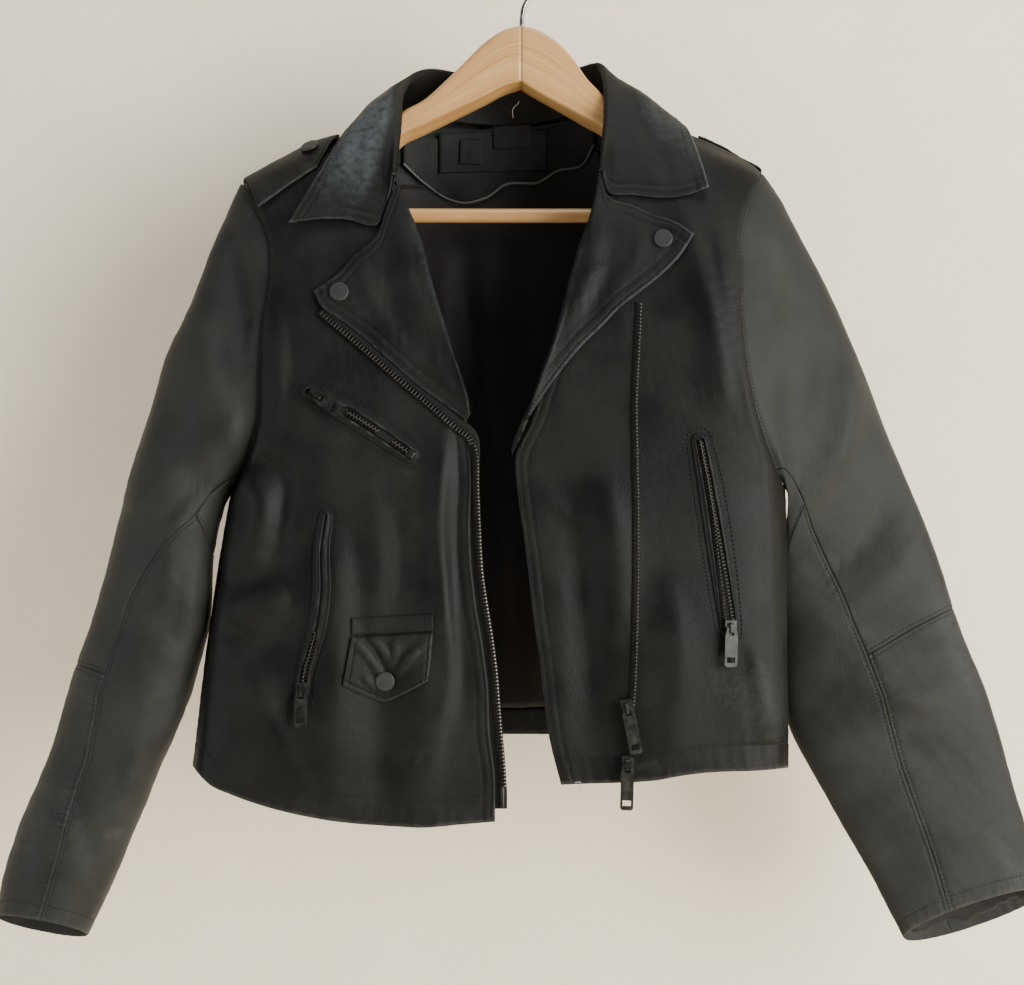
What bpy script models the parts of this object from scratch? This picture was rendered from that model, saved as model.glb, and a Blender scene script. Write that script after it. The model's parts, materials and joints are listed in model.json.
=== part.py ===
"""Leather biker jacket hanging open on a wooden hanger, as separate sewn pieces and fittings.

Tables are in millimetres. A row's across and down say where a point is seen, in the hanger's plane, by an eye
straight in front of the jacket; its depth is how far it lies behind that plane (in front is negative). The
function placed slides the point along the line of sight to its depth, which gives its true place.
"""

import math

import bmesh
import bpy
import numpy as np
from mathutils import Matrix, Vector
from mathutils.bvhtree import BVHTree

MM = 0.001

# Where the outlines are seen from: the eye, and its distance from the hanger's plane
EYE_ACROSS = -7.2
EYE_DOWN = 435.6
EYE_DISTANCE = 1100.0

# Cloth and seams
LEATHER = 1.4
DOUBLE_LEATHER = 2.2
LINING = 1.0
SEAM_GAP = 0.45
UNDERARM_GAP = 3.2
BACK_TO_BACK = 0.4
CUFF_LINING_OFF = 1.0
FACING_OFF = 1.95
TURN_UP_OFF = 0.9
LINING_OFF = 2.75
PIPING_RADIUS = 1.0
LABEL = 0.6
LABEL_TOP = 153.0

# Depth of the body: how the front and the back fall away from the shoulder's ridge
RIDGE_RADIUS = 14.0
RIDGE_FORWARD = 20.0
RIDGE_SPAN = 195.0
FRONT_FALL = 66.0
FRONT_FALL_LENGTH = 85.0
BACK_FALL = 28.0
BACK_FALL_LENGTH = 70.0
FRONT_ROUNDING = 3.0
BACK_ROUNDING = 1.8

# Grid of the main pieces
FRONT_COLUMNS = 12
SHOULDER_STRIDE = 2
NECK_COLUMNS = 6
SIDE_ROWS = 7
TOP_SLEEVE_STEPS = 8
UNDER_SLEEVE_STEPS = 4
RIDGE_CROWDING = 1.45
SLEEVE_ROWS = 15
ELBOW_ROW = 9
GUSSET_ROW = 4
ARMHOLE_REACH = 0.3

# The roll of lapels and collar
ROLL_RADIUS = 4.3
LAPEL_LIFT = 3.9
LAPEL_NARROWING = 0.13
ROLL_SHARE = 0.58
COLLAR_LIFT = 4.0
COLLAR_RIDGE_LIFT = 4.0

# Hanger
WOOD_THICKNESS = 24.0
WOOD_TAPER = 0.62
BAR_RADIUS = 5.6
HOOK_RADIUS = 19.7
HOOK_WIRE_RADIUS = 1.9

# Fittings
SNAP_RADIUS = 7.3
SNAP_HEIGHT = 2.2
TEETH_WIDTH = 5.6
TEETH_HEIGHT = 1.8
FLAP_LIFT = 0.95

COLOURS = {
    # material: (red, green, blue, roughness, metallic)
    "leather": (0.012, 0.012, 0.011, 0.42, 0.0),
    "leather_worn": (0.02, 0.022, 0.024, 0.4, 0.0),
    "lining": (0.018, 0.014, 0.011, 0.8, 0.0),
    "label": (0.03, 0.03, 0.03, 0.7, 0.0),
    "wood": (0.55, 0.38, 0.22, 0.45, 0.0),
    "steel": (0.5, 0.5, 0.5, 0.3, 1.0),
    "gunmetal": (0.08, 0.08, 0.08, 0.35, 1.0),
    "snap": (0.03, 0.03, 0.03, 0.4, 0.6),
}

# The shoulders' ridge as seen, from the viewer's left sleeve to the right one: across, down
RIDGE = (
    (-225, 190), (-222, 188), (-206, 179), (-186, 168), (-166, 158), (-143, 151.5), (-108, 139),
    (0, 100), (80, 129.5), (105, 139), (133, 148), (148, 154), (161, 160), (174, 168), (188, 175.5),
    (195, 182),
)

# Edges of the two fronts as seen, from the hem up: across, down
FRONT_EDGES = {
    "left": {
        "inner": (
            (32, 669.6), (21.6, 627.2), (16, 578.4), (9.6, 533.6), (4, 483.2), (-2.4, 438.4),
            (-5, 409.6), (0.5, 394), (8.5, 377.6), (18.6, 345.6), (29, 316.8), (41, 274.4),
            (50.6, 240), (62, 211.2), (69.5, 180), (74.5, 155), (80, 129.5),
        ),
        "side": (
            (214.4, 656, -40), (214.4, 624, -40), (213.6, 585, -40), (211.4, 524, -39),
            (210.4, 483, -38), (211, 434, -36),
        ),
        "hem": (
            (32, 669.6), (51, 668.8), (79, 668), (106, 666.4), (137, 661), (162, 659.2), (188, 658.4),
            (214.4, 656),
        ),
        "shoulder": ((80, 129.5), (105, 139), (133, 148), (161, 160), (188, 175.5), (195, 182)),
        # tip, front half down to the armpit: across, down, depth
        "armhole_front": (
            (195, 182, -20), (192, 187, -31), (184, 203, -42), (177, 226, -52), (176, 260, -62),
            (178, 304, -69), (184, 347, -71), (195, 391, -63), (205, 418, -50), (211, 434, -36),
        ),
        "armhole_back": (
            (195, 182, -20), (194, 187, -9), (190, 204, 2), (186, 230, 11), (184, 270, 19), (185, 320, 19),
            (190, 365, 10), (200, 405, -10), (211, 434, -36),
        ),
    },
    "right": {
        "inner": (
            (-20.8, 699.2), (-21.6, 649.6), (-24.8, 629.6), (-26.4, 588.8), (-32, 548), (-37.6, 513.6),
            (-40.8, 467.2), (-39.6, 420), (-42, 390), (-46.5, 362), (-53, 338.4), (-61, 315.2),
            (-68.2, 292), (-75.4, 268.8), (-80.8, 250.4), (-88.4, 225.6), (-96.6, 208.8),
            (-106.4, 185.6), (-108.4, 161), (-108, 139),
        ),
        "side": (
            (-263.2, 654.4, -50), (-260.8, 635, -50), (-257.6, 606, -50), (-252.8, 566, -50),
            (-246.4, 520, -50), (-240.8, 483, -50), (-233, 439, -50),
        ),
        "hem": (
            (-20.8, 699.2), (-49.6, 701.6), (-80, 704), (-110.4, 702.4), (-140.8, 700),
            (-171.2, 695.2), (-201.6, 688), (-232, 677.6), (-252.8, 667.2), (-263.2, 654.4),
        ),
        "shoulder": (
            (-108, 139), (-143, 151.5), (-166, 158), (-186, 168), (-206, 179), (-225, 190),
        ),
        "armhole_front": (
            (-225, 190, -27), (-221, 196, -39), (-210, 214, -48), (-202, 236, -56), (-201, 262, -63), (-207, 297, -70),
            (-210, 347, -75), (-211, 380, -74), (-220, 414, -65), (-233, 439, -50),
        ),
        "armhole_back": (
            (-225, 190, -27), (-223, 196, -15), (-218, 213, -5), (-212, 245, 6), (-210, 290, 15), (-212, 340, 12),
            (-218, 385, -8), (-226, 418, -30), (-233, 439, -50),
        ),
    },
}

# The back neck seam, from the right front's shoulder to the left one's: across, down, depth
NECKLINE = (
    (-108, 139, -6), (-99, 140, 9), (-78, 142, 23), (-46, 145, 33), (-12, 146, 38), (20, 142, 34),
    (50, 136, 24), (70, 131, 11), (80, 129.5, -3.4),
)

# The back's hem, between the side seams: across, down, depth
BACK_HEM = (
    (-263.2, 654.4, -50), (-205, 640, 4), (-110, 632, 40), (-12, 628, 46), (90, 630, 40), (170, 640, 8),
    (214.4, 656, -40),
)

# Sleeve stations from the armhole to the cuff. Outer and inner edge as seen, depth of the middle, half the
# thickness, where the front and the back seam cross (0 is the outer edge, 1 the inner), and how much the
# front rim rises and the back rim drops
SLEEVES = {
    "left": (
        # outer across, outer down, inner across, inner down, middle, half, front seam, back seam, tilt
        (195, 182, 211, 434, -26, 46, 0.95, 0.95, 0),
        (214, 212, 214, 442, -24, 39, 0.90, 0.88, 0),
        (236, 255, 213.5, 454, -19, 33, 0.84, 0.80, 0),
        (257, 298, 211, 472, -13, 28, 0.77, 0.74, 0),
        (276, 347, 209, 492, -8, 25, 0.71, 0.70, 0),
        (294, 392, 205, 515, -2, 23, 0.65, 0.68, 0),
        (311, 431, 206, 540, 0, 22, 0.60, 0.66, 0),
        (326, 466, 207, 566, 0, 21, 0.56, 0.65, 0),
        (341, 512, 209, 592, -1, 20, 0.52, 0.64, 0),
        (354, 550, 213, 618, -3, 19, 0.50, 0.64, 1),
        (369, 587, 223, 641, -5, 18, 0.52, 0.64, 2),
        (383, 630, 240, 672, -7, 17, 0.56, 0.64, 4),
        (395, 675, 262, 710, -9, 15, 0.59, 0.64, 6),
        (406, 715, 283, 747, -11, 14, 0.62, 0.65, 8),
        (418, 755, 306, 792, -13, 13, 0.67, 0.66, 9),
    ),
    "right": (
        (-225, 190, -233, 439, -32, 46, 0.95, 0.95, 0),
        (-247, 237, -237, 447, -34, 44, 0.91, 0.88, 0),
        (-266, 290, -240, 458, -36, 42, 0.85, 0.80, 0),
        (-287, 335, -243, 472, -38, 42, 0.78, 0.74, 0),
        (-303, 388, -246, 490, -39, 42, 0.68, 0.70, 0),
        (-315, 430, -247, 512, -40, 42, 0.50, 0.67, 0),
        (-326, 478, -249, 540, -40, 42, 0.32, 0.64, 0),
        (-338, 524, -255, 566, -41, 41, 0.23, 0.62, 0),
        (-350, 556, -262, 590, -42, 40, 0.25, 0.60, 0),
        (-364, 600, -272, 620, -43, 38, 0.28, 0.60, 0),
        (-376, 640, -287, 652, -44, 37, 0.32, 0.60, 0),
        (-391, 677, -301, 687, -45, 36, 0.37, 0.60, 1),
        (-403, 706, -312, 713, -46, 35, 0.42, 0.60, 2),
        (-413, 738, -325, 744, -47, 35, 0.45, 0.60, 3),
        (-420, 775, -346, 790, -48, 34, 0.47, 0.60, 4),
    ),
}

# Collar sections from the right front's gorge round the neck to the left one's. Seam, top of the roll and
# outer edge, each across, down, depth, and how far the fall bulges
COLLAR = (
    (-103, 181, -48, -99, 181, -55, -186, 219, -71, 0),
    (-102, 159, -33, -97, 158, -42, -166, 186, -60, 3),
    (-103, 142, -22, -95, 137, -29, -151, 160, -43, 5),
    (-101, 130.5, -7, -94, 117, -14, -142, 147, -23, 6),
    (-93, 133, 10, -88, 104, 2, -137, 142, 3, 7),
    (-75, 136, 23, -73, 96, 15, -124, 147, 27, 7),
    (-46, 140, 33, -46, 100, 33, -80, 165, 47, 5),
    (-12, 142, 38, -12, 110, 43, -12, 173, 51, 3),
    (20, 138, 34, 22, 104, 34, 60, 164, 46, 4),
    (48, 131, 23, 48, 94, 18, 108, 144, 27, 5),
    (66, 123, 10, 62, 93, 6, 128, 140, 3, 5),
    (72, 118.5, -6, 66, 112, -14, 135, 144, -21, 4),
    (69, 138, -24, 66, 136, -30, 139, 155, -35, 3),
    (67, 158, -38, 64, 157, -44, 145, 170, -47, 2),
    (66.5, 177, -48, 61.6, 177, -56, 150.4, 190.4, -58, 0),
)

# The leaves' lower edges, from the roll to the point, as seen: across, down
LEAF_EDGES = {
    "right": (
        (-99, 181), (-104, 194), (-107.6, 203), (-111.4, 220.6), (-124, 220.4), (-139, 216.8),
        (-153, 215.4), (-174, 218.4), (-186, 219),
    ),
    "left": (
        (61.6, 177), (66.6, 188), (71.4, 196.2), (89.6, 196.8), (108, 199.2), (121.6, 198.4),
        (140, 195.2), (150.4, 190.4),
    ),
}

# Lapels as seen: roll line and outer edge from the lower end up, and the top edge out from the roll
LAPELS = {
    "left": {
        "roll": (
            (-5.6, 397.6), (3.2, 377.6), (13.6, 345.6), (24, 316.8), (36, 274.4), (45.6, 240), (56, 211.2),
            (61.6, 179.2),
        ),
        "outer": (
            (-6.4, 405), (-2.4, 392), (8, 373.6), (29.6, 341.6), (44, 323.2), (64, 303.2), (84.8, 282.4),
            (103.2, 268.8), (123.2, 250.4), (134, 236.4), (138.4, 228),
        ),
        "top": (
            (61.6, 179.2), (70.8, 199.8), (89.6, 204.8), (108, 213.6), (121.6, 217.6), (133, 221),
            (138.4, 228),
        ),
    },
    "right": {
        "roll": (
            (-40, 373.6), (-42.4, 356.8), (-48, 338.4), (-56, 315.2), (-63.2, 292), (-70.4, 268.8),
            (-75.2, 250.4), (-82.4, 225.6), (-89.6, 208.8), (-98.4, 185.6),
        ),
        "outer": (
            (-44, 378), (-58.4, 367.2), (-82.4, 349.6), (-107.2, 328), (-132, 306.4), (-156, 288.8),
            (-165, 281), (-165.6, 273.6),
        ),
        "top": (
            (-98.4, 185.6), (-107.2, 204.8), (-111.6, 225), (-124, 234.4), (-141.6, 256), (-158.4, 268),
            (-165.6, 273.6),
        ),
    },
}

# Broad folds of the cloth as seen: start, middle and end (across, down), half width, and height towards the
# eye (a valley is negative)
BODY_FOLDS = (
    # across, down, across, down, across, down, half width, height
    (-58, 388, -64, 460, -58, 565, 9, 6),
    (-44, 400, -48, 500, -46, 590, 8, -4),
    (-218, 405, -190, 430, -192, 462, 9, -5),
    (-192, 462, -200, 500, -236, 508, 9, -5),
    (-222, 420, -206, 450, -214, 480, 12, 5),
    (-240, 538, -214, 560, -184, 540, 9, -4),
    (-238, 545, -210, 600, -184, 660, 12, 5),
    (-232, 530, -206, 522, -188, 510, 12, 6),
    (-150, 480, -148, 560, -152, 660, 22, 5),
    (-80, 560, -78, 620, -82, 680, 16, 5),
    (-110, 560, -112, 620, -106, 690, 14, -4),
    (129, 196, 146, 260, 160, 358, 12, 4),
    (150, 215, 166, 270, 184, 356, 10, 3),
    (65, 420, 76, 500, 72, 560, 16, 5),
    (36, 440, 48, 540, 58, 650, 14, -4),
    (186, 560, 196, 610, 200, 640, 14, 4),
    (120, 520, 128, 590, 118, 650, 16, 4),
)
SLEEVE_FOLDS = (
    (-240, 232, -228, 270, -222, 318, 12, -6),
    (-262, 300, -252, 350, -232, 390, 11, 5),
    (-290, 350, -270, 410, -248, 440, 12, -5),
    (-312, 430, -290, 455, -262, 462, 9, 5),
    (-345, 548, -300, 540, -262, 552, 10, -4),
    (-356, 585, -320, 600, -284, 596, 10, 4),
    (-372, 640, -345, 650, -310, 640, 9, -4),
    (-395, 700, -370, 704, -335, 695, 9, 3),
    (235, 270, 232, 330, 216, 392, 12, -5),
    (262, 330, 258, 390, 230, 440, 12, 5),
    (300, 430, 284, 470, 246, 500, 11, -4),
    (345, 545, 305, 548, 262, 540, 10, -4),
    (352, 590, 310, 600, 262, 590, 10, 4),
    (376, 640, 340, 650, 300, 640, 10, -3),
    (396, 700, 360, 706, 322, 700, 10, 3),
)
BACK_FOLDS = (
    # seen from the front, through the cloth; height is away from the eye
    (-180, 300, -120, 420, -90, 560, 24, 6),
    (-140, 240, -60, 330, -10, 480, 20, -5),
    (150, 300, 100, 420, 80, 560, 24, 6),
    (120, 240, 60, 330, 30, 480, 18, -5),
    (-40, 420, -30, 520, -40, 600, 22, 5),
    (-190, 470, -150, 500, -110, 505, 16, 4),
    (180, 450, 140, 485, 100, 490, 16, 4),
)

# Zip of each pocket: where its path runs as seen, half width of the opening with its welts, pull length
POCKETS = {
    "chest_pocket": {
        "path": ((-170, 355), (-130, 377), (-87, 406)),
        "half_width": 8.0,
        "slider": 0.08,
        "pull": 21.0,
        "pull_towards": (0.83, -0.56),
        "side": "right",
    },
    "hand_pocket_right": {
        "path": ((-156, 455), (-159.4, 480), (-159.4, 515), (-162.4, 540), (-168.4, 564), (-173, 580), (-174.6, 598)),
        "half_width": 6.0,
        "slider": 0.975,
        "pull": 26.0,
        "pull_towards": (0.0, -1.0),
        "side": "right",
    },
    "hand_pocket_left": {
        "path": ((143, 394), (149.6, 428.8), (156, 468.8), (161.6, 507.2), (166.6, 546)),
        "half_width": 7.5,
        "slider": 0.985,
        "pull": 28.5,
        "pull_towards": (-0.04, -1.0),
        "side": "left",
    },
}


# Points and curves


def placed(points):
    """True places of rows (across, down, depth), in millimetres with the height upwards."""
    points = np.asarray(points, float)
    nearer = (EYE_DISTANCE + points[..., 2]) / EYE_DISTANCE
    x = EYE_ACROSS + (points[..., 0] - EYE_ACROSS) * nearer
    z = -EYE_DOWN - (points[..., 1] - EYE_DOWN) * nearer
    return np.stack([x, points[..., 2], z], axis=-1)


def seen(places):
    """Across and down at which true places are seen."""
    nearer = (EYE_DISTANCE + places[..., 1]) / EYE_DISTANCE
    across = EYE_ACROSS + (places[..., 0] - EYE_ACROSS) / nearer
    down = EYE_DOWN - (places[..., 2] + EYE_DOWN) / nearer
    return np.stack([across, down], axis=-1)


def through(rows, where):
    """Rows read from a smooth curve through the given rows, at fractional row numbers."""
    rows = np.asarray(rows, float)
    slopes = np.gradient(rows, axis=0)
    first = np.clip(np.floor(where).astype(int), 0, len(rows) - 2)
    t = (np.asarray(where, float) - first)[:, None]
    start, end = rows[first], rows[first + 1]
    leave, arrive = slopes[first], slopes[first + 1]
    return (
        (2 * t**3 - 3 * t**2 + 1) * start
        + (t**3 - 2 * t**2 + t) * leave
        + (3 * t**2 - 2 * t**3) * end
        + (t**3 - t**2) * arrive
    )


def even(rows, shares):
    """Points at the given shares of the length of the smooth curve through the rows."""
    rows = np.asarray(rows, float)
    steps = np.linalg.norm(np.diff(rows, axis=0), axis=1)
    knots = np.concatenate([[0], np.cumsum(steps)])
    slopes = np.gradient(rows, knots, axis=0, edge_order=1)
    fine = np.linspace(0, knots[-1], 40 * len(rows))
    first = np.clip(np.searchsorted(knots, fine, side="right") - 1, 0, len(rows) - 2)
    step = (knots[first + 1] - knots[first])[:, None]
    t = (fine - knots[first])[:, None] / step
    curve = (
        (2 * t**3 - 3 * t**2 + 1) * rows[first]
        + (t**3 - 2 * t**2 + t) * step * slopes[first]
        + (3 * t**2 - 2 * t**3) * rows[first + 1]
        + (t**3 - t**2) * step * slopes[first + 1]
    )
    run = np.concatenate([[0], np.cumsum(np.linalg.norm(np.diff(curve, axis=0), axis=1))])
    return np.stack([np.interp(np.asarray(shares) * run[-1], run, c) for c in curve.T], axis=1)


def shares(count):
    return np.linspace(0, 1, count + 1)


def patch(bottom, top, start, end):
    """Grid between four edges that share their corners; bottom and top run from start to end."""
    u = shares(len(bottom) - 1)[None, :, None]
    v = shares(len(start) - 1)[:, None, None]
    along = (1 - v) * bottom[None] + v * top[None]
    across = (1 - u) * start[:, None] + u * end[:, None]
    corners = (
        (1 - u) * (1 - v) * bottom[0] + u * (1 - v) * bottom[-1] + (1 - u) * v * top[0] + u * v * top[-1]
    )
    return along + across - corners


def ridge_down(across):
    """How far down the shoulder's ridge is seen at each place across."""
    ridge = np.array(RIDGE, float)
    return np.interp(across, ridge[:, 0], ridge[:, 1])


def ridge_depth(across):
    return -RIDGE_FORWARD * (np.asarray(across) / RIDGE_SPAN) ** 2


def rounding(below):
    """Share of the ridge's radius by which cloth stands off, this far below the ridge."""
    near = np.clip(below / RIDGE_RADIUS, 0, 1)
    return np.sqrt(1 - (1 - near) ** 2)


def front_depth(across, down):
    below = np.maximum(down - ridge_down(across), 0)
    fall = FRONT_FALL * (1 - np.exp(-below / FRONT_FALL_LENGTH))
    return ridge_depth(across) - RIDGE_RADIUS * rounding(below) - fall


def back_depth(across, down):
    below = np.maximum(down - ridge_down(across), 0)
    fall = BACK_FALL * (1 - np.exp(-below / BACK_FALL_LENGTH))
    return ridge_depth(across) + RIDGE_RADIUS * rounding(below) + fall


def turned(share, power):
    """Nought in the middle of a panel, rising to one at its side like a rounded corner."""
    return 1 - (1 - np.clip(share, 0, 1) ** power) ** (1 / power)


# Grids of the main pieces, in true places


def armhole(side):
    """The front and the back half of an armhole, each from the shoulder's tip to the armpit."""
    table = FRONT_EDGES[side]
    top = 0.92 * shares(TOP_SLEEVE_STEPS) ** RIDGE_CROWDING
    under = 0.92 + 0.08 * shares(UNDER_SLEEVE_STEPS)[1:]
    where = np.concatenate([top, under])
    return even(table["armhole_front"], where), even(table["armhole_back"], where)


def front_grid(side):
    """A front, from its hem up and from its open edge out to the side seam and armhole."""
    table = FRONT_EDGES[side]
    arm = armhole(side)[0][::-1]
    seam = even(table["side"], shares(SIDE_ROWS))
    outer = np.concatenate([seam[:-1], arm])
    rows = len(outer) - 1
    toward_side = 1 - (1 - shares(FRONT_COLUMNS)) ** 1.35
    inner = even(table["inner"], 1 - (1 - shares(rows)) ** 1.2)
    flat = patch(
        even(table["hem"], toward_side), even(table["shoulder"], toward_side), inner, outer[:, :2]
    )
    across, down = flat[..., 0], flat[..., 1]
    depth = front_depth(across, down)
    share = (across - across[:, :1]) / (across[:, -1:] - across[:, :1])
    depth = depth + (outer[:, 2] - depth[:, -1])[:, None] * turned(share, FRONT_ROUNDING)
    grid = placed(np.stack([across, down, depth], axis=-1))
    # the back has every second of the shoulder's points, so the others lie straight between those
    grid[-1, 1::SHOULDER_STRIDE] = (grid[-1, :-1:SHOULDER_STRIDE] + grid[-1, 2::SHOULDER_STRIDE]) / 2
    return grid if side == "left" else grid[:, ::-1]


def back_grid():
    """The back, from its hem up and from the left side seam to the right one."""
    halves = {}
    for side in ("left", "right"):
        seam = even(FRONT_EDGES[side]["side"], shares(SIDE_ROWS))
        halves[side] = placed(np.concatenate([seam[:-1], armhole(side)[1][::-1]]))
    shoulders = {
        side: front_grid(side)[-1][:: SHOULDER_STRIDE if side == "left" else -SHOULDER_STRIDE]
        for side in ("left", "right")
    }
    neck = placed(even(NECKLINE, shares(NECK_COLUMNS)))
    top = np.concatenate([shoulders["left"][::-1], neck[::-1][1:-1], shoulders["right"]])
    hem = placed(even(BACK_HEM, shares(len(top) - 1)))[::-1]
    grid = patch(hem, top, halves["left"], halves["right"])
    view = seen(grid)
    depth = back_depth(view[..., 0], view[..., 1])
    off_top = top[:, 1] - depth[-1]
    rows = shares(len(grid) - 1)[:, None]
    depth = depth + off_top[None] * rows**5
    columns = shares(len(top) - 1)
    for edge, half in ((1 - 2 * columns, halves["left"]), (2 * columns - 1, halves["right"])):
        end = 0 if half is halves["left"] else -1
        depth = depth + (half[:, 1] - depth[:, end])[:, None] * turned(edge, BACK_ROUNDING)[None]
    grid[..., 1] = depth
    return grid


def sleeve_grid(side):
    """A sleeve from armhole to cuff; columns run from the top round the front to the armpit and back."""
    stations = through(SLEEVES[side], np.linspace(0, len(SLEEVES[side]) - 1, SLEEVE_ROWS + 1))
    hole_front, hole_back = (placed(half) for half in armhole(side))
    rows = []
    for station in stations:
        outer, inner, middle, half, tilt = station[:2], station[2:4], station[4], station[5], station[8]
        angles = {}
        for which, share in (("front", station[6]), ("back", station[7])):
            seam = math.acos(np.clip(1 - 2 * share, -1, 1))
            over = seam * shares(TOP_SLEEVE_STEPS)
            under = seam + (math.pi - seam) * shares(UNDER_SLEEVE_STEPS)[1:]
            angles[which] = np.concatenate([over, under])
        loop = []
        for which, sign in (("front", -1), ("back", 1)):
            angle = angles[which]
            share = (1 - np.cos(angle))[:, None] / 2
            flat = outer + (inner - outer) * share
            depth = middle + sign * half * np.sin(angle) ** 0.85
            flat[:, 1] += sign * tilt * np.sin(angle)
            loop.append(placed(np.column_stack([flat, depth])))
        rows.append(np.concatenate([loop[0], loop[1][::-1][1:-1]]))
    grid = np.array(rows)
    hole = np.concatenate([hole_front, hole_back[::-1][1:-1]])
    fade = np.clip(1 - shares(SLEEVE_ROWS) / ARMHOLE_REACH, 0, 1) ** 1.5
    return grid + (hole - grid[0])[None] * fade[:, None, None]


def sleeve_pieces(side):
    """The sleeve's grid cut at its seams, by piece; each keeps the columns' order round the arm."""
    grid = sleeve_grid(side)
    count = TOP_SLEEVE_STEPS + UNDER_SLEEVE_STEPS
    under = np.arange(TOP_SLEEVE_STEPS, 2 * count - TOP_SLEEVE_STEPS + 1)
    over = np.arange(-TOP_SLEEVE_STEPS, TOP_SLEEVE_STEPS + 1)
    order = 1 if side == "left" else -1
    pieces = {
        f"top_sleeve_upper_{side}": grid[: ELBOW_ROW + 1, over],
        f"top_sleeve_forearm_{side}": grid[ELBOW_ROW:, over],
        f"underarm_gusset_{side}": grid[: GUSSET_ROW + 1, under],
        f"under_sleeve_{side}": grid[GUSSET_ROW:, under],
    }
    return {name: piece[:, ::order] for name, piece in pieces.items()}


# Normals, folds and walls


def grid_normals(grid):
    """Outward normals: the way along a row crossed with the way along a column."""
    columns = np.gradient(grid, axis=1)
    rows = np.gradient(grid, axis=0)
    normals = np.cross(columns, rows)
    length = np.linalg.norm(normals, axis=-1, keepdims=True)
    return normals / np.maximum(length, 1e-9)


def shared_normals(grids):
    """Normals of several grids, made equal wherever their points coincide."""
    points = np.concatenate([grid.reshape(-1, 3) for grid in grids.values()])
    normals = np.concatenate([grid_normals(grid).reshape(-1, 3) for grid in grids.values()])
    _, index = np.unique(np.round(points, 2), axis=0, return_inverse=True)
    total = np.zeros((index.max() + 1, 3))
    np.add.at(total, index.reshape(-1), normals)
    merged = total[index.reshape(-1)]
    merged /= np.maximum(np.linalg.norm(merged, axis=1, keepdims=True), 1e-9)
    # where two pieces meet back to back, as at the armpit, each keeps its own normal
    apart = (merged * normals).sum(axis=1) < BACK_TO_BACK
    merged[apart] = normals[apart]
    result, start = {}, 0
    for name, grid in grids.items():
        size = grid.shape[0] * grid.shape[1]
        result[name] = merged[start : start + size].reshape(grid.shape)
        start += size
    return result


def fold_height(view, folds):
    """Height of the folds at points as seen: a soft ridge along each curve, dying away at both ends."""
    height = np.zeros(view.shape[:-1])
    for fold in folds:
        curve = even(np.array(fold[:6]).reshape(3, 2), shares(24))
        away = np.linalg.norm(view[..., None, :] - curve, axis=-1)
        nearest = away.argmin(axis=-1) / 24
        fade = np.sin(math.pi * np.clip(0.08 + 0.84 * nearest, 0, 1)) ** 0.7
        height += fold[7] * np.exp(-((away.min(axis=-1) / fold[6]) ** 2)) * fade
    return height


def folded(grids):
    """The grids with the broad folds raised along their normals; seams between pieces stay shared."""
    normals = shared_normals(grids)
    result = {}
    for name, grid in grids.items():
        normal = normals[name]
        view = seen(grid)
        if name.startswith("front"):
            height = fold_height(view, BODY_FOLDS) * np.clip(-1.6 * normal[..., 1], 0, 1)
        elif name == "back":
            height = fold_height(view, BACK_FOLDS) * np.clip(1.6 * normal[..., 1], 0, 1)
        else:
            height = fold_height(view, SLEEVE_FOLDS) * np.clip(-1.6 * normal[..., 1], 0, 1)
        if name.startswith(("front", "back")):
            height[:, 0] = height[:, -1] = 0
            height[-1] = 0
        elif name.startswith(("top_sleeve_upper", "underarm")):
            height[0] = 0
        result[name] = grid + normal * height[..., None]
    return result


def inset(grid, gap):
    """The grid with its border drawn in by half the seam's gap."""
    grid = grid.copy()
    for border, inside in (
        ((0, slice(None)), (1, slice(None))),
        ((-1, slice(None)), (-2, slice(None))),
        ((slice(None), 0), (slice(None), 1)),
        ((slice(None), -1), (slice(None), -2)),
    ):
        way = grid[inside] - grid[border]
        way /= np.maximum(np.linalg.norm(way, axis=-1, keepdims=True), 1e-9)
        grid[border] = grid[border] + way * gap / 2
    return grid


def shell(outer, inner):
    """Vertices and faces of the closed wall between two grids of one shape."""
    rows, columns = outer.shape[:2]
    points = np.concatenate([outer.reshape(-1, 3), inner.reshape(-1, 3)])
    index = np.arange(rows * columns).reshape(rows, columns)
    other = index + rows * columns
    quads = [
        np.stack([index[:-1, :-1], index[:-1, 1:], index[1:, 1:], index[1:, :-1]], axis=-1),
        np.stack([other[:-1, :-1], other[1:, :-1], other[1:, 1:], other[:-1, 1:]], axis=-1),
    ]
    ring = np.concatenate([index[0, :-1], index[:-1, -1], index[-1, :0:-1], index[:0:-1, 0]])
    after = np.roll(ring, -1)
    below = ring + rows * columns
    quads.append(np.stack([after, ring, below, np.roll(below, -1)], axis=-1))
    return points, halved(quads)


def halved(quads):
    """Triangles of quads, each cut from its first corner to its third."""
    quads = np.concatenate([quad.reshape(-1, 4) for quad in quads])
    return np.concatenate([quads[:, [0, 1, 2]], quads[:, [0, 2, 3]]])


def material(name):
    found = bpy.data.materials.get(name)
    if found:
        return found
    made = bpy.data.materials.new(name)
    made.use_nodes = True
    red, green, blue, roughness, metallic = COLOURS[name]
    shader = made.node_tree.nodes["Principled BSDF"]
    shader.inputs["Base Color"].default_value = (red, green, blue, 1)
    shader.inputs["Roughness"].default_value = roughness
    shader.inputs["Metallic"].default_value = metallic
    return made


def make(name, points, faces, finish, at=None, smooth=True):
    """A mesh object from points in millimetres, with its origin at the given true place."""
    origin = np.zeros(3) if at is None else np.asarray(at, float)
    mesh = bpy.data.meshes.new(name)
    mesh.from_pydata(((points - origin) * MM).tolist(), [], [list(map(int, face)) for face in faces])
    mesh.materials.append(material(finish))
    made = bpy.data.objects.new(name, mesh)
    made.location = Vector(origin * MM)
    bpy.context.scene.collection.objects.link(made)
    if smooth:
        mesh.shade_smooth()
        mesh.set_sharp_from_angle(angle=math.radians(40))
    return made


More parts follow.
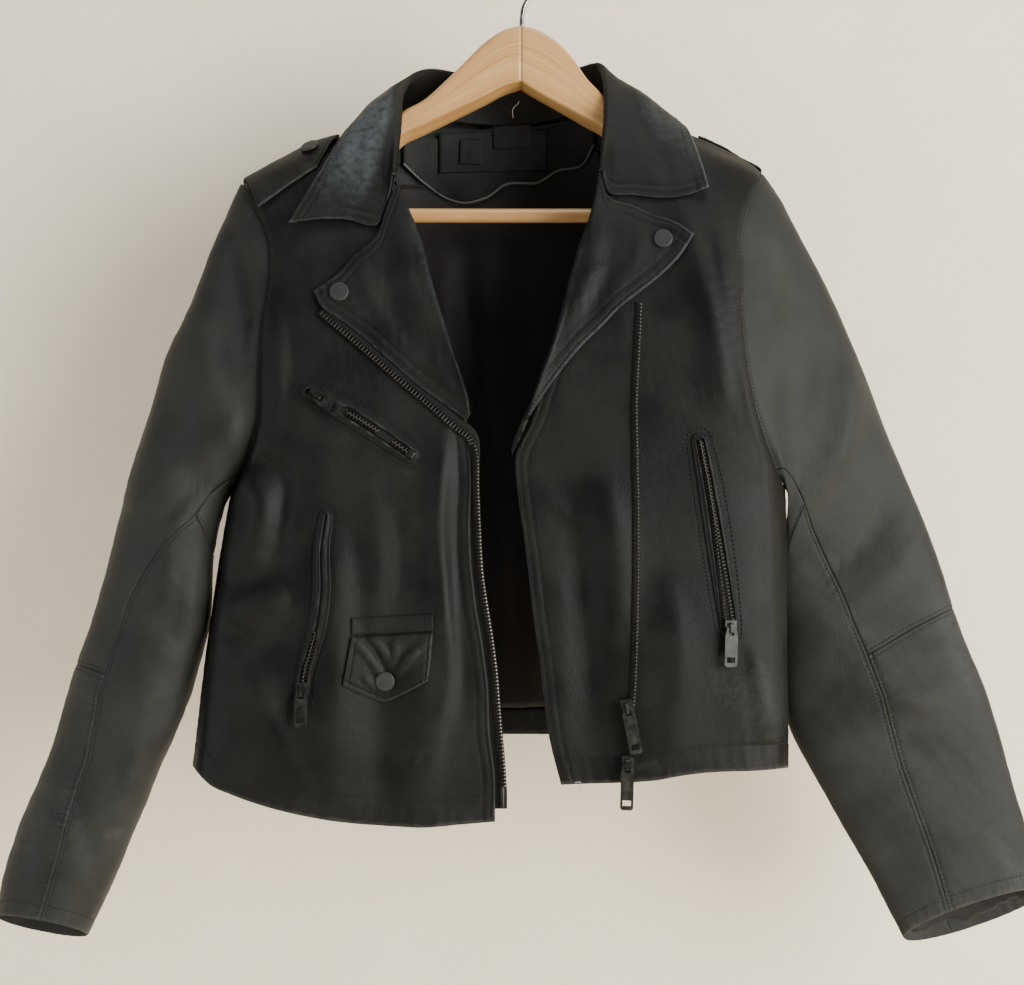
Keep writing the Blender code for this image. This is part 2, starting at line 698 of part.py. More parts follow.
def wall(name, grid, normals, thickness, finish, gap=SEAM_GAP):
    """A piece of cloth: the grid is its outer face, and the wall lies behind it."""
    drawn = inset(grid, gap)
    return make(name, *shell(drawn, drawn - normals * thickness), finish)


def layer(name, grid, thickness, finish, inward=False):
    """A wall with normals of its own, outwards from the grid, or inwards for what lies inside.

    The thickness is one number, or one for each row.
    """
    normals = grid_normals(grid)
    thickness = np.reshape(thickness, (-1, 1, 1))
    if inward:
        return make(name, *shell(grid, grid - normals * thickness), finish)
    return make(name, *shell(grid + normals * thickness, grid), finish)


# What lies on a panel


class Ground:
    """A panel's outer face, found along the line of sight."""

    def __init__(self, grid):
        rows, columns = grid.shape[:2]
        index = np.arange(rows * columns).reshape(rows, columns)
        quads = np.stack([index[:-1, :-1], index[:-1, 1:], index[1:, 1:], index[1:, :-1]], axis=-1)
        self.tree = BVHTree.FromPolygons(grid.reshape(-1, 3).tolist(), halved([quads]).tolist())

    def depth(self, points):
        """Depth of the panel at points as seen, or of the plain front where there is no panel."""
        eye = Vector((EYE_ACROSS, -EYE_DISTANCE, -EYE_DOWN))
        flat = np.asarray(points, float)
        depths = front_depth(flat[..., 0], flat[..., 1]).reshape(-1)
        for i, point in enumerate(flat.reshape(-1, 2)):
            aim = Vector((point[0], 0, -point[1])) - eye
            place, _, _, _ = self.tree.ray_cast(eye, aim.normalized())
            if place is not None:
                depths[i] = min(depths[i], place.y)
        return depths.reshape(flat.shape[:-1])

    def under(self, points, lift):
        """True places of points as seen, raised off the panel along its normal."""
        eye = Vector((EYE_ACROSS, -EYE_DISTANCE, -EYE_DOWN))
        flat = np.asarray(points, float)
        lifts = np.broadcast_to(lift, flat.shape[:-1]).reshape(-1)
        places = []
        for point, raised in zip(flat.reshape(-1, 2), lifts):
            aim = Vector((point[0], 0, -point[1])) - eye
            place, normal, _, _ = self.tree.ray_cast(eye, aim.normalized())
            if place is None:
                place, normal, _, _ = self.tree.find_nearest(
                    Vector(placed([point[0], point[1], front_depth(point[0], point[1])]))
                )
            if normal.y > 0:
                normal = -normal
            places.append(place + normal * raised)
        return np.array(places).reshape(flat.shape[:-1] + (3,))


def band(path, widths, count, across):
    """Grid as seen of a strip along a path: from one side to the other, at its own widths."""
    line = even(path, shares(count))
    way = np.gradient(line, axis=0)
    way /= np.linalg.norm(way, axis=1, keepdims=True)
    side = np.stack([-way[:, 1], way[:, 0]], axis=1)
    offsets = np.linspace(-1, 1, across + 1)
    return line[:, None] + side[:, None] * offsets[None, :, None] * np.broadcast_to(
        widths, (count + 1,)
    )[:, None, None]


def facing_eye(grid):
    """The grid with its columns turned round where its normals would face away from the eye."""
    return grid[:, ::-1] if grid_normals(grid)[..., 1].mean() > 0 else grid


def slab(name, under, thickness, finish):
    """A flat piece on a panel: its underside's grid, raised by the thickness towards the eye."""
    return layer(name, facing_eye(under), thickness, finish)


def snap(name, centre, normal, finish="snap"):
    """A snap's domed cap, turned from a profile round the panel's normal."""
    profile = (
        # radius, height
        (0.0, SNAP_HEIGHT), (0.5, SNAP_HEIGHT - 0.15), (0.82, SNAP_HEIGHT - 0.55), (1.0, SNAP_HEIGHT - 1.3),
        (1.0, 0.0),
    )
    turns = 14
    bm = bmesh.new()
    rings = []
    for radius, height in profile[1:]:
        ring = [
            bm.verts.new((SNAP_RADIUS * radius * math.cos(a), SNAP_RADIUS * radius * math.sin(a), height))
            for a in np.linspace(0, 2 * math.pi, turns, endpoint=False)
        ]
        rings.append(ring)
    crown = bm.verts.new((0, 0, profile[0][1]))
    for first, second in zip(rings, rings[1:]):
        for i in range(turns):
            bm.faces.new((first[i], second[i], second[(i + 1) % turns], first[(i + 1) % turns]))
    for i in range(turns):
        bm.faces.new((crown, rings[0][i], rings[0][(i + 1) % turns]))
    bm.faces.new(rings[-1][::-1])
    turn = Vector((0, 0, 1)).rotation_difference(Vector(normal)).to_matrix().to_4x4()
    return solid(name, bm, Matrix.Translation(Vector(centre)) @ turn, finish)


def solid(name, bm, place, finish, origin=None):
    """An object from a bmesh in millimetres, moved to its true place, with its origin where asked."""
    bm.transform(place)
    bmesh.ops.recalc_face_normals(bm, faces=bm.faces)
    bm.verts.index_update()
    points = np.array([vert.co[:] for vert in bm.verts])
    faces = [[vert.index for vert in face.verts] for face in bm.faces]
    bm.free()
    return make(name, points, faces, finish, at=origin)


# Cloth


def cloth():
    """Back, fronts and sleeves, which share their seams. Returns their folded grids."""
    grids = {"front_left": front_grid("left"), "front_right": front_grid("right"), "back": back_grid()}
    for side in ("left", "right"):
        grids.update(sleeve_pieces(side))
    grids = folded(grids)
    normals = shared_normals(grids)
    for name in ("front_left", "front_right", "back"):
        top = grids[name][-1]
        along = np.gradient(top, axis=0)
        along[:, 1] = 0
        up = np.stack([-along[:, 2], np.zeros(len(top)), along[:, 0]], axis=1)
        up *= np.sign(up[:, 2:3])
        up /= np.linalg.norm(up, axis=1, keepdims=True)
        if name != "back":
            up[1::2] = (up[:-1:2] + up[2::2]) / 2
        neck = np.zeros(len(top), bool)
        if name == "back":
            shoulder = FRONT_COLUMNS // SHOULDER_STRIDE
            neck[shoulder + 1 : -shoulder - 1] = True
        normals[name][-1][~neck] = up[~neck]
    for name, grid in grids.items():
        wall(name, grid, normals[name], LEATHER, "leather", UNDERARM_GAP if "gusset" in name else SEAM_GAP)
    return grids


def lapel(side, ground):
    """A lapel: from under the roll, round it, and out over the front to its edge."""
    table = LAPELS[side]
    rows, columns = 11, 5
    roll = even(table["roll"], shares(rows))
    outer = even(table["outer"], shares(rows))
    top = even(table["top"], shares(columns))
    bottom = np.linspace(roll[0], outer[0], columns + 1)
    flat = patch(bottom, top, roll, outer)
    out = flat[:, -1] - flat[:, 0]
    out /= np.linalg.norm(out, axis=1, keepdims=True)
    room = np.linalg.norm(flat[:, -1] - flat[:, 0], axis=1)
    radius = np.minimum(ROLL_RADIUS, 0.42 * room)
    turns = []
    for angle in np.radians((68, 20, -30, -65)):
        place = roll + out * (radius * (1 - math.cos(angle)))[:, None]
        depth = front_depth(roll[:, 0], roll[:, 1]) - 2.8 + radius * math.sin(angle)
        turns.append(np.column_stack([place, depth]))
    past_roll = (ROLL_SHARE * radius + 1) / room
    share = past_roll[:, None] + (1 - past_roll[:, None]) * shares(columns)[None, 1:]
    over = np.stack([through(row, at * columns) for row, at in zip(flat, share)])
    lift = LAPEL_LIFT + (2.8 + ROLL_RADIUS - LAPEL_LIFT) * (1 - share) ** 1.5
    depth = ground.depth(over) - lift
    grid = np.concatenate([np.stack(turns, axis=1), np.dstack([over, depth])], axis=1)
    grid = placed(grid)
    if side == "right":
        grid = grid[:, ::-1]
    thin = np.clip(LAPEL_NARROWING * room, LEATHER / 2, DOUBLE_LEATHER)
    layer(f"lapel_{side}", grid, thin, "leather_worn", inward=True)
    return grid


def collar(grounds):
    """The collar: stand, roll and fall in one sheet round the neck, with a pointed leaf at each front."""
    stations = 24
    rows = through(COLLAR, np.linspace(0, len(COLLAR) - 1, stations + 1))
    seam, roll, edge = placed(rows[:, 0:3]), placed(rows[:, 3:6]), placed(rows[:, 6:9])
    out = edge - roll
    out[:, 2] *= 0.25
    out /= np.linalg.norm(out, axis=1, keepdims=True)
    along = np.gradient(roll, axis=0)
    crown = np.cross(out, along)
    crown /= np.linalg.norm(crown, axis=1, keepdims=True)
    crown *= np.sign((crown * (roll - edge)).sum(axis=1, keepdims=True) + 1e-9)
    radius = 4.2
    columns = [
        seam,
        seam * 0.45 + (roll - out * 0.2 - crown * radius) * 0.55,
        roll - out * 0.2 - crown * radius * 0.9,
        roll + out * radius * 0.3 - crown * radius * 0.15,
        roll + out * radius,
    ]
    fall = 5
    leaf = {0: even(LEAF_EDGES["right"], shares(fall)), stations: even(LEAF_EDGES["left"], shares(fall))}
    for step in range(1, fall + 1):
        share = step / fall
        place = columns[4] * (1 - share) + edge * share
        bulge = rows[:, 9:10] * 4 * share * (1 - share)
        place = place + crown * bulge
        for end, line in leaf.items():
            flat = seen(place)
            drop = line[step] - flat[end]
            fade = np.clip(1 - np.abs(np.arange(stations + 1) - end) / 5, 0, 1) ** 1.4
            moved = np.column_stack([flat + drop * fade[:, None], place[:, 1]])
            place = placed(moved)
        flat = seen(place)
        for ground, half in ((grounds["right"], rows[:, 6] < 0), (grounds["left"], rows[:, 6] > 0)):
            ahead = half & (place[:, 1] < 4)
            below = np.maximum(flat[ahead][:, 1] - ridge_down(flat[ahead][:, 0]), 0)
            clear = ground.depth(flat[ahead]) - COLLAR_LIFT - COLLAR_RIDGE_LIFT * np.exp(-below / 12)
            place[ahead] = placed(np.column_stack([flat[ahead], np.minimum(place[ahead, 1], clear)]))
        for _ in range(2):
            place[1:-1] = 0.25 * place[:-2] + 0.5 * place[1:-1] + 0.25 * place[2:]
        columns.append(place)
    grid = np.stack(columns, axis=1)
    if grid_normals(grid)[len(grid) // 2, -2, 1] < 0:
        grid = grid[:, ::-1]
    layer("collar", grid, DOUBLE_LEATHER, "leather_worn", inward=True)
    return grid


# Inside of the back


def inside(back, rows, across, lower, upper, off):
    """Grid inside the back between two lines as seen, held off its inner face."""
    low, high = np.interp(across, *lower), np.interp(across, *upper)
    down = low[None] + (high - low)[None] * shares(rows)[:, None]
    flat = np.dstack([np.broadcast_to(across, down.shape), down])
    return back.under(flat, LEATHER + off)


FACING_EDGE = ((-98, -78, -58, -43, -31, -11, 13, 31, 49, 61), (172, 189, 202, 204, 201, 189, 188, 178, 174, 157))
FACING_TOP = ((-98, -58, -12, 20, 61), (148, 154, 155, 150, 140))
LINING_HEM = ((-215, -60, 0, 60, 180), (598, 606, 607, 603, 594))
TURN_UP_HEM = ((-215, -60, 0, 60, 180), (622, 626, 627, 626, 622))


def lining(back):
    """Neck facing, its piping, the lining below it, and the turned-up hem of the back."""
    reach = (-96, 60)
    neck = np.linspace(*reach, 14)
    whole = np.concatenate([np.linspace(-172, -112, 4), neck, np.linspace(76, 146, 4)])
    facing = inside(back, 3, neck, FACING_EDGE, FACING_TOP, FACING_OFF)
    slab("neck_facing", facing, LEATHER, "leather")
    lower = (FACING_EDGE[0], tuple(down + 1.2 for down in FACING_EDGE[1]))
    panel_top = ((-175, -130, -98) + FACING_EDGE[0][1:-1] + (61, 100, 150), (300, 250, 190) + lower[1][1:-1]
                 + (162, 230, 300))
    panel = inside(back, 12, whole, LINING_HEM, panel_top, LINING_OFF)
    slab("back_lining", panel, LINING, "lining")
    turn_up_top = (LINING_HEM[0], tuple(down + 1.2 for down in LINING_HEM[1]))
    turn_up = inside(back, 1, whole, TURN_UP_HEM, turn_up_top, TURN_UP_OFF)
    slab("back_hem_turn_up", turn_up, LEATHER, "leather")
    edge = np.column_stack(FACING_EDGE).astype(float)
    edge[0, 0], edge[-1, 0] = reach
    path = even(edge, shares(22)) + (0, 0.6)
    line = back.under(path, LEATHER + LINING_OFF + LINING + PIPING_RADIUS + 0.5)
    tube("facing_piping", line, PIPING_RADIUS, 6, "leather")
    for name, middle, half, tilt in (
        ("neck_label_wide", (-23, 164), (44, 16), -0.02),
        ("neck_label_small", (-41, 164), (9, 10), 0.02),
        ("neck_label_main", (-7, 152.5), (16, 9), -0.05),
    ):
        off = 2 * LEATHER + FACING_OFF + (0.7 if name.endswith("wide") else 2.2)
        u = np.linspace(-half[0], half[0], 9 if name.endswith("wide") else 4)[None]
        v = np.linspace(-half[1], half[1], 4)[:, None]
        flat = np.dstack([middle[0] + u - tilt * v, middle[1] + v + tilt * u])
        held = flat.copy()
        if name.endswith("main"):
            held[..., 1] = np.maximum(held[..., 1], LABEL_TOP)
        places = back.under(held, off)
        places[..., 2] += held[..., 1] - flat[..., 1]
        slab(name, places, LABEL, "label")


def cuff_lining(side):
    """A short tube of lining a little way inside the cuff."""
    grid = sleeve_grid(side)[-4:]
    order = 1 if side == "left" else -1
    closed = np.concatenate([grid, grid[:, :1]], axis=1)[:, ::order]
    normals = grid_normals(closed)
    normals[:, 0] = normals[:, -1] = (normals[:, 1] + normals[:, -2]) / 2
    height = fold_height(seen(closed), SLEEVE_FOLDS) * np.clip(-1.6 * normals[..., 1], 0, 1)
    outer = closed + normals * (height[..., None] - LEATHER - CUFF_LINING_OFF)
    outer = outer[:-1] * 0.6 + outer[1:] * 0.4
    inner = outer - normals[:-1] * LINING
    points, faces = tube_shell(outer[:, :-1], inner[:, :-1])
    make(f"cuff_lining_{side}", points, faces, "lining")


def tube_shell(outer, inner):
    """Closed wall between two grids whose columns run round a tube."""
    rows, columns = outer.shape[:2]
    points = np.concatenate([outer.reshape(-1, 3), inner.reshape(-1, 3)])
    index = np.arange(rows * columns).reshape(rows, columns)
    after = np.roll(index, -1, axis=1)
    size = rows * columns
    quads = [
        np.stack([index[:-1], after[:-1], after[1:], index[1:]], axis=-1),
        np.stack([index[:-1], index[1:], after[1:], after[:-1]], axis=-1) + size,
        np.stack([after[0], index[0], index[0] + size, after[0] + size], axis=-1),
        np.stack([index[-1], after[-1], after[-1] + size, index[-1] + size], axis=-1),
    ]
    return points, halved(quads)


def tube(name, line, radius, sides, finish):
    """A round rod along a line of true places, with flat ends."""
    way = np.gradient(line, axis=0)
    way /= np.linalg.norm(way, axis=1, keepdims=True)
    first = np.cross(way, (0.0, 0.3, 1.0))
    first /= np.linalg.norm(first, axis=1, keepdims=True)
    second = np.cross(way, first)
    angle = np.linspace(0, 2 * math.pi, sides, endpoint=False)
    grid = line[:, None] + radius * (
        first[:, None] * np.cos(angle)[None, :, None] + second[:, None] * np.sin(angle)[None, :, None]
    )
    rows = len(line)
    index = np.arange(rows * sides).reshape(rows, sides)
    after = np.roll(index, -1, axis=1)
    quads = np.stack([index[:-1], after[:-1], after[1:], index[1:]], axis=-1).reshape(-1, 4).tolist()
    bm = bmesh.new()
    verts = [bm.verts.new(place) for place in grid.reshape(-1, 3)]
    for face in quads + [index[0].tolist(), index[-1].tolist()]:
        bm.faces.new([verts[i] for i in face])
    return solid(name, bm, Matrix.Identity(4), finish)


# Hanger

# Each wooden arm from the mitre out: across, down of its upper line, height in front, and how much
# lower its underside lies behind
ARMS = {
    "right": ((0, 64, 45.5, 1.5), (-10, 66, 46, 1.9), (-31, 79, 43.3, 2.4), (-42, 90, 37.4, 2.9),
              (-60, 108, 27.7, 3.8), (-78, 124, 20.2, 4.5), (-94, 133.5, 18.7, 4.9), (-101, 142, 17.5, 4.5),
              (-110, 150, 17.5, 4), (-143, 164, 20, 3), (-166, 172, 30, 3), (-182, 183, 43, 3)),
    "left": ((0, 64, 45.5, 1.5), (10, 66, 50, 1), (25, 74, 50.5, 1.2), (41, 90, 43.2, 1.8), (53, 107, 32.5, 2.7),
             (64.5, 119.5, 26.2, 3.2), (69, 127.5, 22, 3.4), (75, 136, 20, 3.2), (88, 145, 19, 3),
             (105, 152, 19, 3), (133, 162, 22, 3), (161, 174, 33, 3), (182, 187, 41, 3)),
}


def arm(side):
    """Half of the hanger: a rounded section carried out from the mitre along the shoulder's line."""
    rows = even(ARMS[side], shares(15))
    rows[0, 0] = 0.2 if side == "left" else -0.2
    half = WOOD_THICKNESS / 2
    section = (
        # share of the thickness from front to back, share of the height, rounding, share of the slant
        (-1.0, 0, 6.3, 0), (-0.88, 0, 2.9, 0), (-0.6, 0, 0.75, 0), (0, 0, 0, 0), (0.6, 0, 0.75, 0),
        (0.88, 0, 2.9, 0), (1.0, 0, 6.3, 0), (1.0, 0.96, 0, 0.9), (0.9, 1.0, 0, 1), (-0.9, 1.0, 0, 0.05),
        (-1.0, 0.95, 0, 0),
    )
    taper = np.linspace(1, WOOD_TAPER, len(rows))
    rings = []
    for (across, down, height, slant), narrow in zip(rows, taper):
        depth = float(ridge_depth(across))
        rings.append([
            (across, down + share * height + drop + tilted * slant, depth + side_share * half * narrow)
            for side_share, share, drop, tilted in section
        ])
    flat = np.array(rings)
    grid = np.stack([flat[..., 0], flat[..., 2], -flat[..., 1]], axis=-1)
    bm = bmesh.new()
    verts = [[bm.verts.new(place) for place in ring] for ring in grid]
    sides = len(section)
    for first, second in zip(verts, verts[1:]):
        for i in range(sides):
            bm.faces.new((first[i], first[(i + 1) % sides], second[(i + 1) % sides], second[i]))
    bm.faces.new(verts[0])
    bm.faces.new(verts[-1])
    return solid(f"hanger_arm_{side}", bm, Matrix.Identity(4), "wood")


def hanger():
    """Both arms, the trouser bar between their ends, and the wire hook."""
    arm("right")
    arm("left")
    bar_across, bar_down, bar_depth = 170.0, 216.5, float(ridge_depth(170))
    steps = np.linspace(-1, 1, 9)
    line = np.column_stack([
        steps * bar_across, bar_depth + 4.0 * (1 - steps**2), np.full(9, -bar_down)
    ])
    tube("trouser_bar", line, BAR_RADIUS, 12, "wood")
    for side in ("left", "right"):
        bore(bpy.data.objects[f"hanger_arm_{side}"], line)
    centre = np.array([0.0, 0.0, -(HOOK_RADIUS - HOOK_WIRE_RADIUS)])
    turns = np.radians(np.linspace(-120, 118, 22))
    arc = centre + HOOK_RADIUS * np.column_stack([np.sin(turns), np.zeros(22), np.cos(turns)])
    stem = ((6.6, 0, -39.5), (2.4, 0, -47.0), (0.8, 0, -55.0), (0.5, 0, -63.4))
    line = even(np.concatenate([arc, stem]), shares(28))
    tube("hanger_hook", line, HOOK_WIRE_RADIUS, 8, "steel")


def bore(arm_object, line):
    """A hole in the arm for the trouser bar, 0.3 mm wider all round."""
    cutter = tube("bar_cutter_" + arm_object.name, line, BAR_RADIUS + 0.35, 12, "wood")
    cutter.hide_render = True
    cutter.display_type = "WIRE"
    cut = arm_object.modifiers.new("bar_hole", "BOOLEAN")
    cut.operation = "DIFFERENCE"
    cut.object = cutter


# Fittings on the fronts


def frame_at(centre, normal, hang):
    """Axes of a fitting: across, away from the eye, and up, where the pull hangs along hang."""
    out = Vector(normal).normalized()
    up = -Vector(hang)
    up = (up - out * up.dot(out)).normalized()
    across = (-out).cross(up)
    place = Matrix((across, -out, up)).transposed().to_4x4()
    place.translation = Vector(centre)
    return place


# Slider, in its own axes with the pull's hinge at the origin: half width, half length, depths
SLIDER_HALF_WIDTH = 4.4
SLIDER_HALF_LENGTH = 6.2
SLIDER_NEAR = 1.3
SLIDER_FAR = 4.0
BAIL_HALF_WIDTH = 1.2
BAIL_REACH = 2.4
BAIL_WALL = 1.1
BAIL_HALF_LENGTH = 3.9
PULL_WIRE = 0.75


def slider(name, place):
    """A slider's body with its bail: an outline in profile, carried across."""
    profile_body = (
        # away from the eye, up
        (SLIDER_FAR, -SLIDER_HALF_LENGTH), (SLIDER_FAR, SLIDER_HALF_LENGTH),
        (SLIDER_NEAR + 0.5, SLIDER_HALF_LENGTH), (SLIDER_NEAR, SLIDER_HALF_LENGTH - 0.8),
        (SLIDER_NEAR, -SLIDER_HALF_LENGTH + 0.8), (SLIDER_NEAR + 0.5, -SLIDER_HALF_LENGTH),
    )
    bm = bmesh.new()
    extrude(bm, profile_body, -SLIDER_HALF_WIDTH, SLIDER_HALF_WIDTH)
    body = solid(name, bm, place, "gunmetal")
    low, high = -BAIL_HALF_LENGTH, BAIL_HALF_LENGTH
    profile_bail = (
        (SLIDER_NEAR + 0.9, low), (-BAIL_REACH + 0.8, low), (-BAIL_REACH, low + 1.0),
        (-BAIL_REACH, high - 1.0), (-BAIL_REACH + 0.8, high), (SLIDER_NEAR + 0.9, high),
        (SLIDER_NEAR + 0.9, high - BAIL_WALL), (-BAIL_REACH + BAIL_WALL, high - BAIL_WALL),
        (-BAIL_REACH + BAIL_WALL, low + BAIL_WALL), (SLIDER_NEAR + 0.9, low + BAIL_WALL),
    )
    bm = bmesh.new()
    extrude(bm, profile_bail, -BAIL_HALF_WIDTH, BAIL_HALF_WIDTH)
    bail = solid("bail_" + name, bm, place, "gunmetal")
    bail.hide_render = True
    bail.display_type = "WIRE"
    join = body.modifiers.new("bail", "BOOLEAN")
    join.operation = "UNION"
    join.object = bail
    return body


def extrude(bm, outline, low, high):
    """A prism from an outline (away, up), carried from low to high across."""
    near = [bm.verts.new((low, y, z)) for y, z in outline]
    far = [bm.verts.new((high, y, z)) for y, z in outline]
    count = len(outline)
    for i in range(count):
        bm.faces.new((near[i], near[(i + 1) % count], far[(i + 1) % count], far[i]))
    bm.faces.new(near)
    bm.faces.new(far)


def pull(name, place, length, half_width=4.8):
    """A pull tab: a crossbar under the bail, two cheeks, and a plate with a window near its end."""
    rail = BAIL_HALF_WIDTH + 0.7
    start, wall_width, window_height = -5.4, 1.7, 4.2
    outline = (
        (-rail - 1.4, PULL_WIRE), (rail + 1.4, PULL_WIRE), (half_width, -6.0), (half_width, -length + 1.5),
        (half_width - 1.5, -length), (-half_width + 1.5, -length), (-half_width, -length + 1.5),
        (-half_width, -6.0),
    )
    ring = (
        (-rail, -PULL_WIRE), (rail, -PULL_WIRE), (rail, start), (-rail, start),
    )
    window_bottom = -length + 3.0
    window_top = window_bottom + window_height
    window_half = half_width - wall_width
    window = (
        (-window_half, window_top), (window_half, window_top), (window_half, window_bottom),
        (-window_half, window_bottom),
    )
    bm = bmesh.new()
    loops = []
    for points in (outline, ring, window):
        loops.append([bm.verts.new((x, -PULL_WIRE, z)) for x, z in points])
    edges = []
    for loop in loops:
        edges += [bm.edges.new((loop[i], loop[(i + 1) % len(loop)])) for i in range(len(loop))]
    bmesh.ops.triangle_fill(bm, use_beauty=True, edges=edges)
    faces = list(bm.faces)
    grown = bmesh.ops.extrude_face_region(bm, geom=faces)
    verts = [item for item in grown["geom"] if isinstance(item, bmesh.types.BMVert)]
    bmesh.ops.translate(bm, vec=(0, 2 * PULL_WIRE, 0), verts=verts)
    return solid(name, bm, place, "gunmetal", origin=place.translation)


def fitted(name, ground, at, hang, length, finish_lift):
    """A slider and its pull, standing on what lies at a point as seen."""
    flat = np.array(at, float)
    step = 3.0
    here, right, below = (ground.under(flat + move, 0.0) for move in ((0, 0), (step, 0), (0, step)))
    normal = np.cross(right - here, here - below)
    normal /= np.linalg.norm(normal)
    if normal[1] > 0:
        normal = -normal
    centre = here + normal * (finish_lift + SLIDER_FAR + 0.3)
    place = frame_at(centre, normal, (hang[0], 0.0, hang[1]))
    slider(name + "_slider", place)
    pull(name + "_pull", place, length)
    return place


def pocket(name, ground):
    """A zipped pocket: a raised welt round the opening, the zip in it, its slider and pull."""
    table = POCKETS[name]
    steps = 10
    path = even(table["path"], shares(steps))
    taper = np.sin(np.linspace(0.35, math.pi - 0.35, steps + 1)) ** 0.35
    zip_half = 3.4
    strip = band(path, zip_half, steps, 1)
    slab(name + "_zip", ground.under(strip, 0.5), 0.9, "gunmetal")
    outer = band(path, table["half_width"] * taper + 1.5, steps, 2)
    inner = band(path, zip_half + 0.5, steps, 2)
    way = (path[-1] - path[-2]) / np.linalg.norm(path[-1] - path[-2])
    start_way = (path[0] - path[1]) / np.linalg.norm(path[0] - path[1])
    ring_outer = np.concatenate([
        outer[:, 0], [path[-1] + way * 6.5], outer[::-1, 2], [path[0] + start_way * 6.5]
    ])
    ring_inner = np.concatenate([
        inner[:, 0], [path[-1] + way * 2.2], inner[::-1, 2], [path[0] + start_way * 2.2]
    ])
    ring = np.stack([ring_inner, ring_outer])
    low = ground.under(ring, 0.6)
    high = ground.under(ring, np.array([2.0, 1.2])[:, None])
    points, faces = tube_shell(high, low)
    volume = np.einsum("ij,ij->i", points[faces[:, 0]], np.cross(points[faces[:, 1]], points[faces[:, 2]]))
    if volume.sum() < 0:
        faces = faces[:, ::-1]
    make(name + "_welt", points, faces, "leather")
    at = even(table["path"], [table["slider"]])[0]
    return fitted(name, ground, at, table["pull_towards"], table["pull"], 2.3)


def coin_pocket(ground):
    """The coin pocket's flap, the stitched band above it, and its snap."""
    columns, rows = 12, 5
    u = np.linspace(-1, 1, columns + 1)
    top = np.column_stack([-103 + 33 * u, 549.5 - 1.6 * u])
    depth_below = 53 - 14.5 * np.abs(u) ** 1.3
    flat = top[None] + np.dstack([
        np.broadcast_to(-5.7 + 1.3 * u, (rows + 1, columns + 1)) * shares(rows)[:, None],
        depth_below[None] * shares(rows)[:, None],
    ])
    slab("coin_pocket_flap", ground.under(flat, FLAP_LIFT), DOUBLE_LEATHER, "leather")
    band_flat = top[None] + np.array([0, -1.0])[None, None] * (1.4 + 13.5 * shares(2))[:, None, None]
    slab("coin_pocket_band", ground.under(band_flat, FLAP_LIFT), 0.9, "leather")
    on_panel("coin_pocket_snap", ground, (-108.8, 586), FLAP_LIFT + DOUBLE_LEATHER + 0.75)


def on_panel(name, ground, at, lift):
    """A snap standing on what lies at a point as seen."""
    spread = SNAP_RADIUS * 0.8
    ring = np.array([(0, 0), (spread, 0), (0, spread), (-spread, 0), (0, -spread)]) + at
    places = ground.under(ring, 0.0)
    normal = np.cross(places[1] - places[3], places[4] - places[2])
    normal /= np.linalg.norm(normal)
    if normal[1] > 0:
        normal = -normal
    middle = places.mean(axis=0)
    stand = ((places - middle) @ normal).max()
    snap(name, middle + normal * (lift + stand), normal)


def main_zip(grounds):
    """The main zip's two halves, the end pin, and the two sliders kept on the left front."""
    left = ((94.6, 283), (93, 320), (91, 361.6), (91.4, 402.4), (92, 443.2), (92, 483.2), (91.6, 524),
            (89.6, 594.4), (87, 625), (85.6, 658))
    strip = band(left, TEETH_WIDTH / 2, 22, 1)
    slab("main_zip_left", grounds["left"].under(strip, 0.6), TEETH_HEIGHT, "gunmetal")
    lapel_run = ((-161, 290.5), (-144, 305), (-120.4, 325), (-96, 346.4), (-71, 367.2), (-51.5, 384))
    free_run = ((-37.2, 404), (-36, 431), (-34.6, 467), (-32.6, 500), (-28.6, 528), (-24.8, 552),
                (-21.4, 578.4), (-19, 608.8), (-17.4, 629.6), (-15.6, 649.6), (-14.2, 671))
    line = even(lapel_run + ((-41, 392),) + free_run, shares(34))
    flat = band(line, TEETH_WIDTH / 2, 34, 1)
    lift = np.interp(line[:, 1], (400, 450), (1.0, 0.1))[:, None]
    depth = grounds["right"].depth(flat) - lift
    slab("main_zip_right", placed(np.dstack([flat, depth])), TEETH_HEIGHT, "gunmetal")
    pin = placed(np.column_stack([
        np.full(4, -14.6), np.linspace(671.8, 687, 4), front_depth(np.full(4, -14.6), np.full(4, 680.0)) - 0.9
    ]))
    tube("main_zip_pin", pin, 1.4, 8, "gunmetal")
    for name, at, lean, length in (
        ("main_zip_upper", (85.2, 607), 0.2, 34.0), ("main_zip_lower", (85.4, 652), -0.03, 33.3)
    ):
        fitted(name, grounds["left"], at, (lean, -1.0), length, 1.1 + TEETH_HEIGHT)


# Each strap round the ridge: its two ends across, and how far its edges reach in front and behind there
EPAULETTES = {
    # across, reach in front, shift of the front corner, reach behind
    "right": ((-221, 35.0, 11.0, -8.0), (-144.5, 28.0, -18.5, -8.0)),
    "left": ((191, -5.0, 0.0, -38.0), (141, -5.0, 0.0, -34.0)),
}


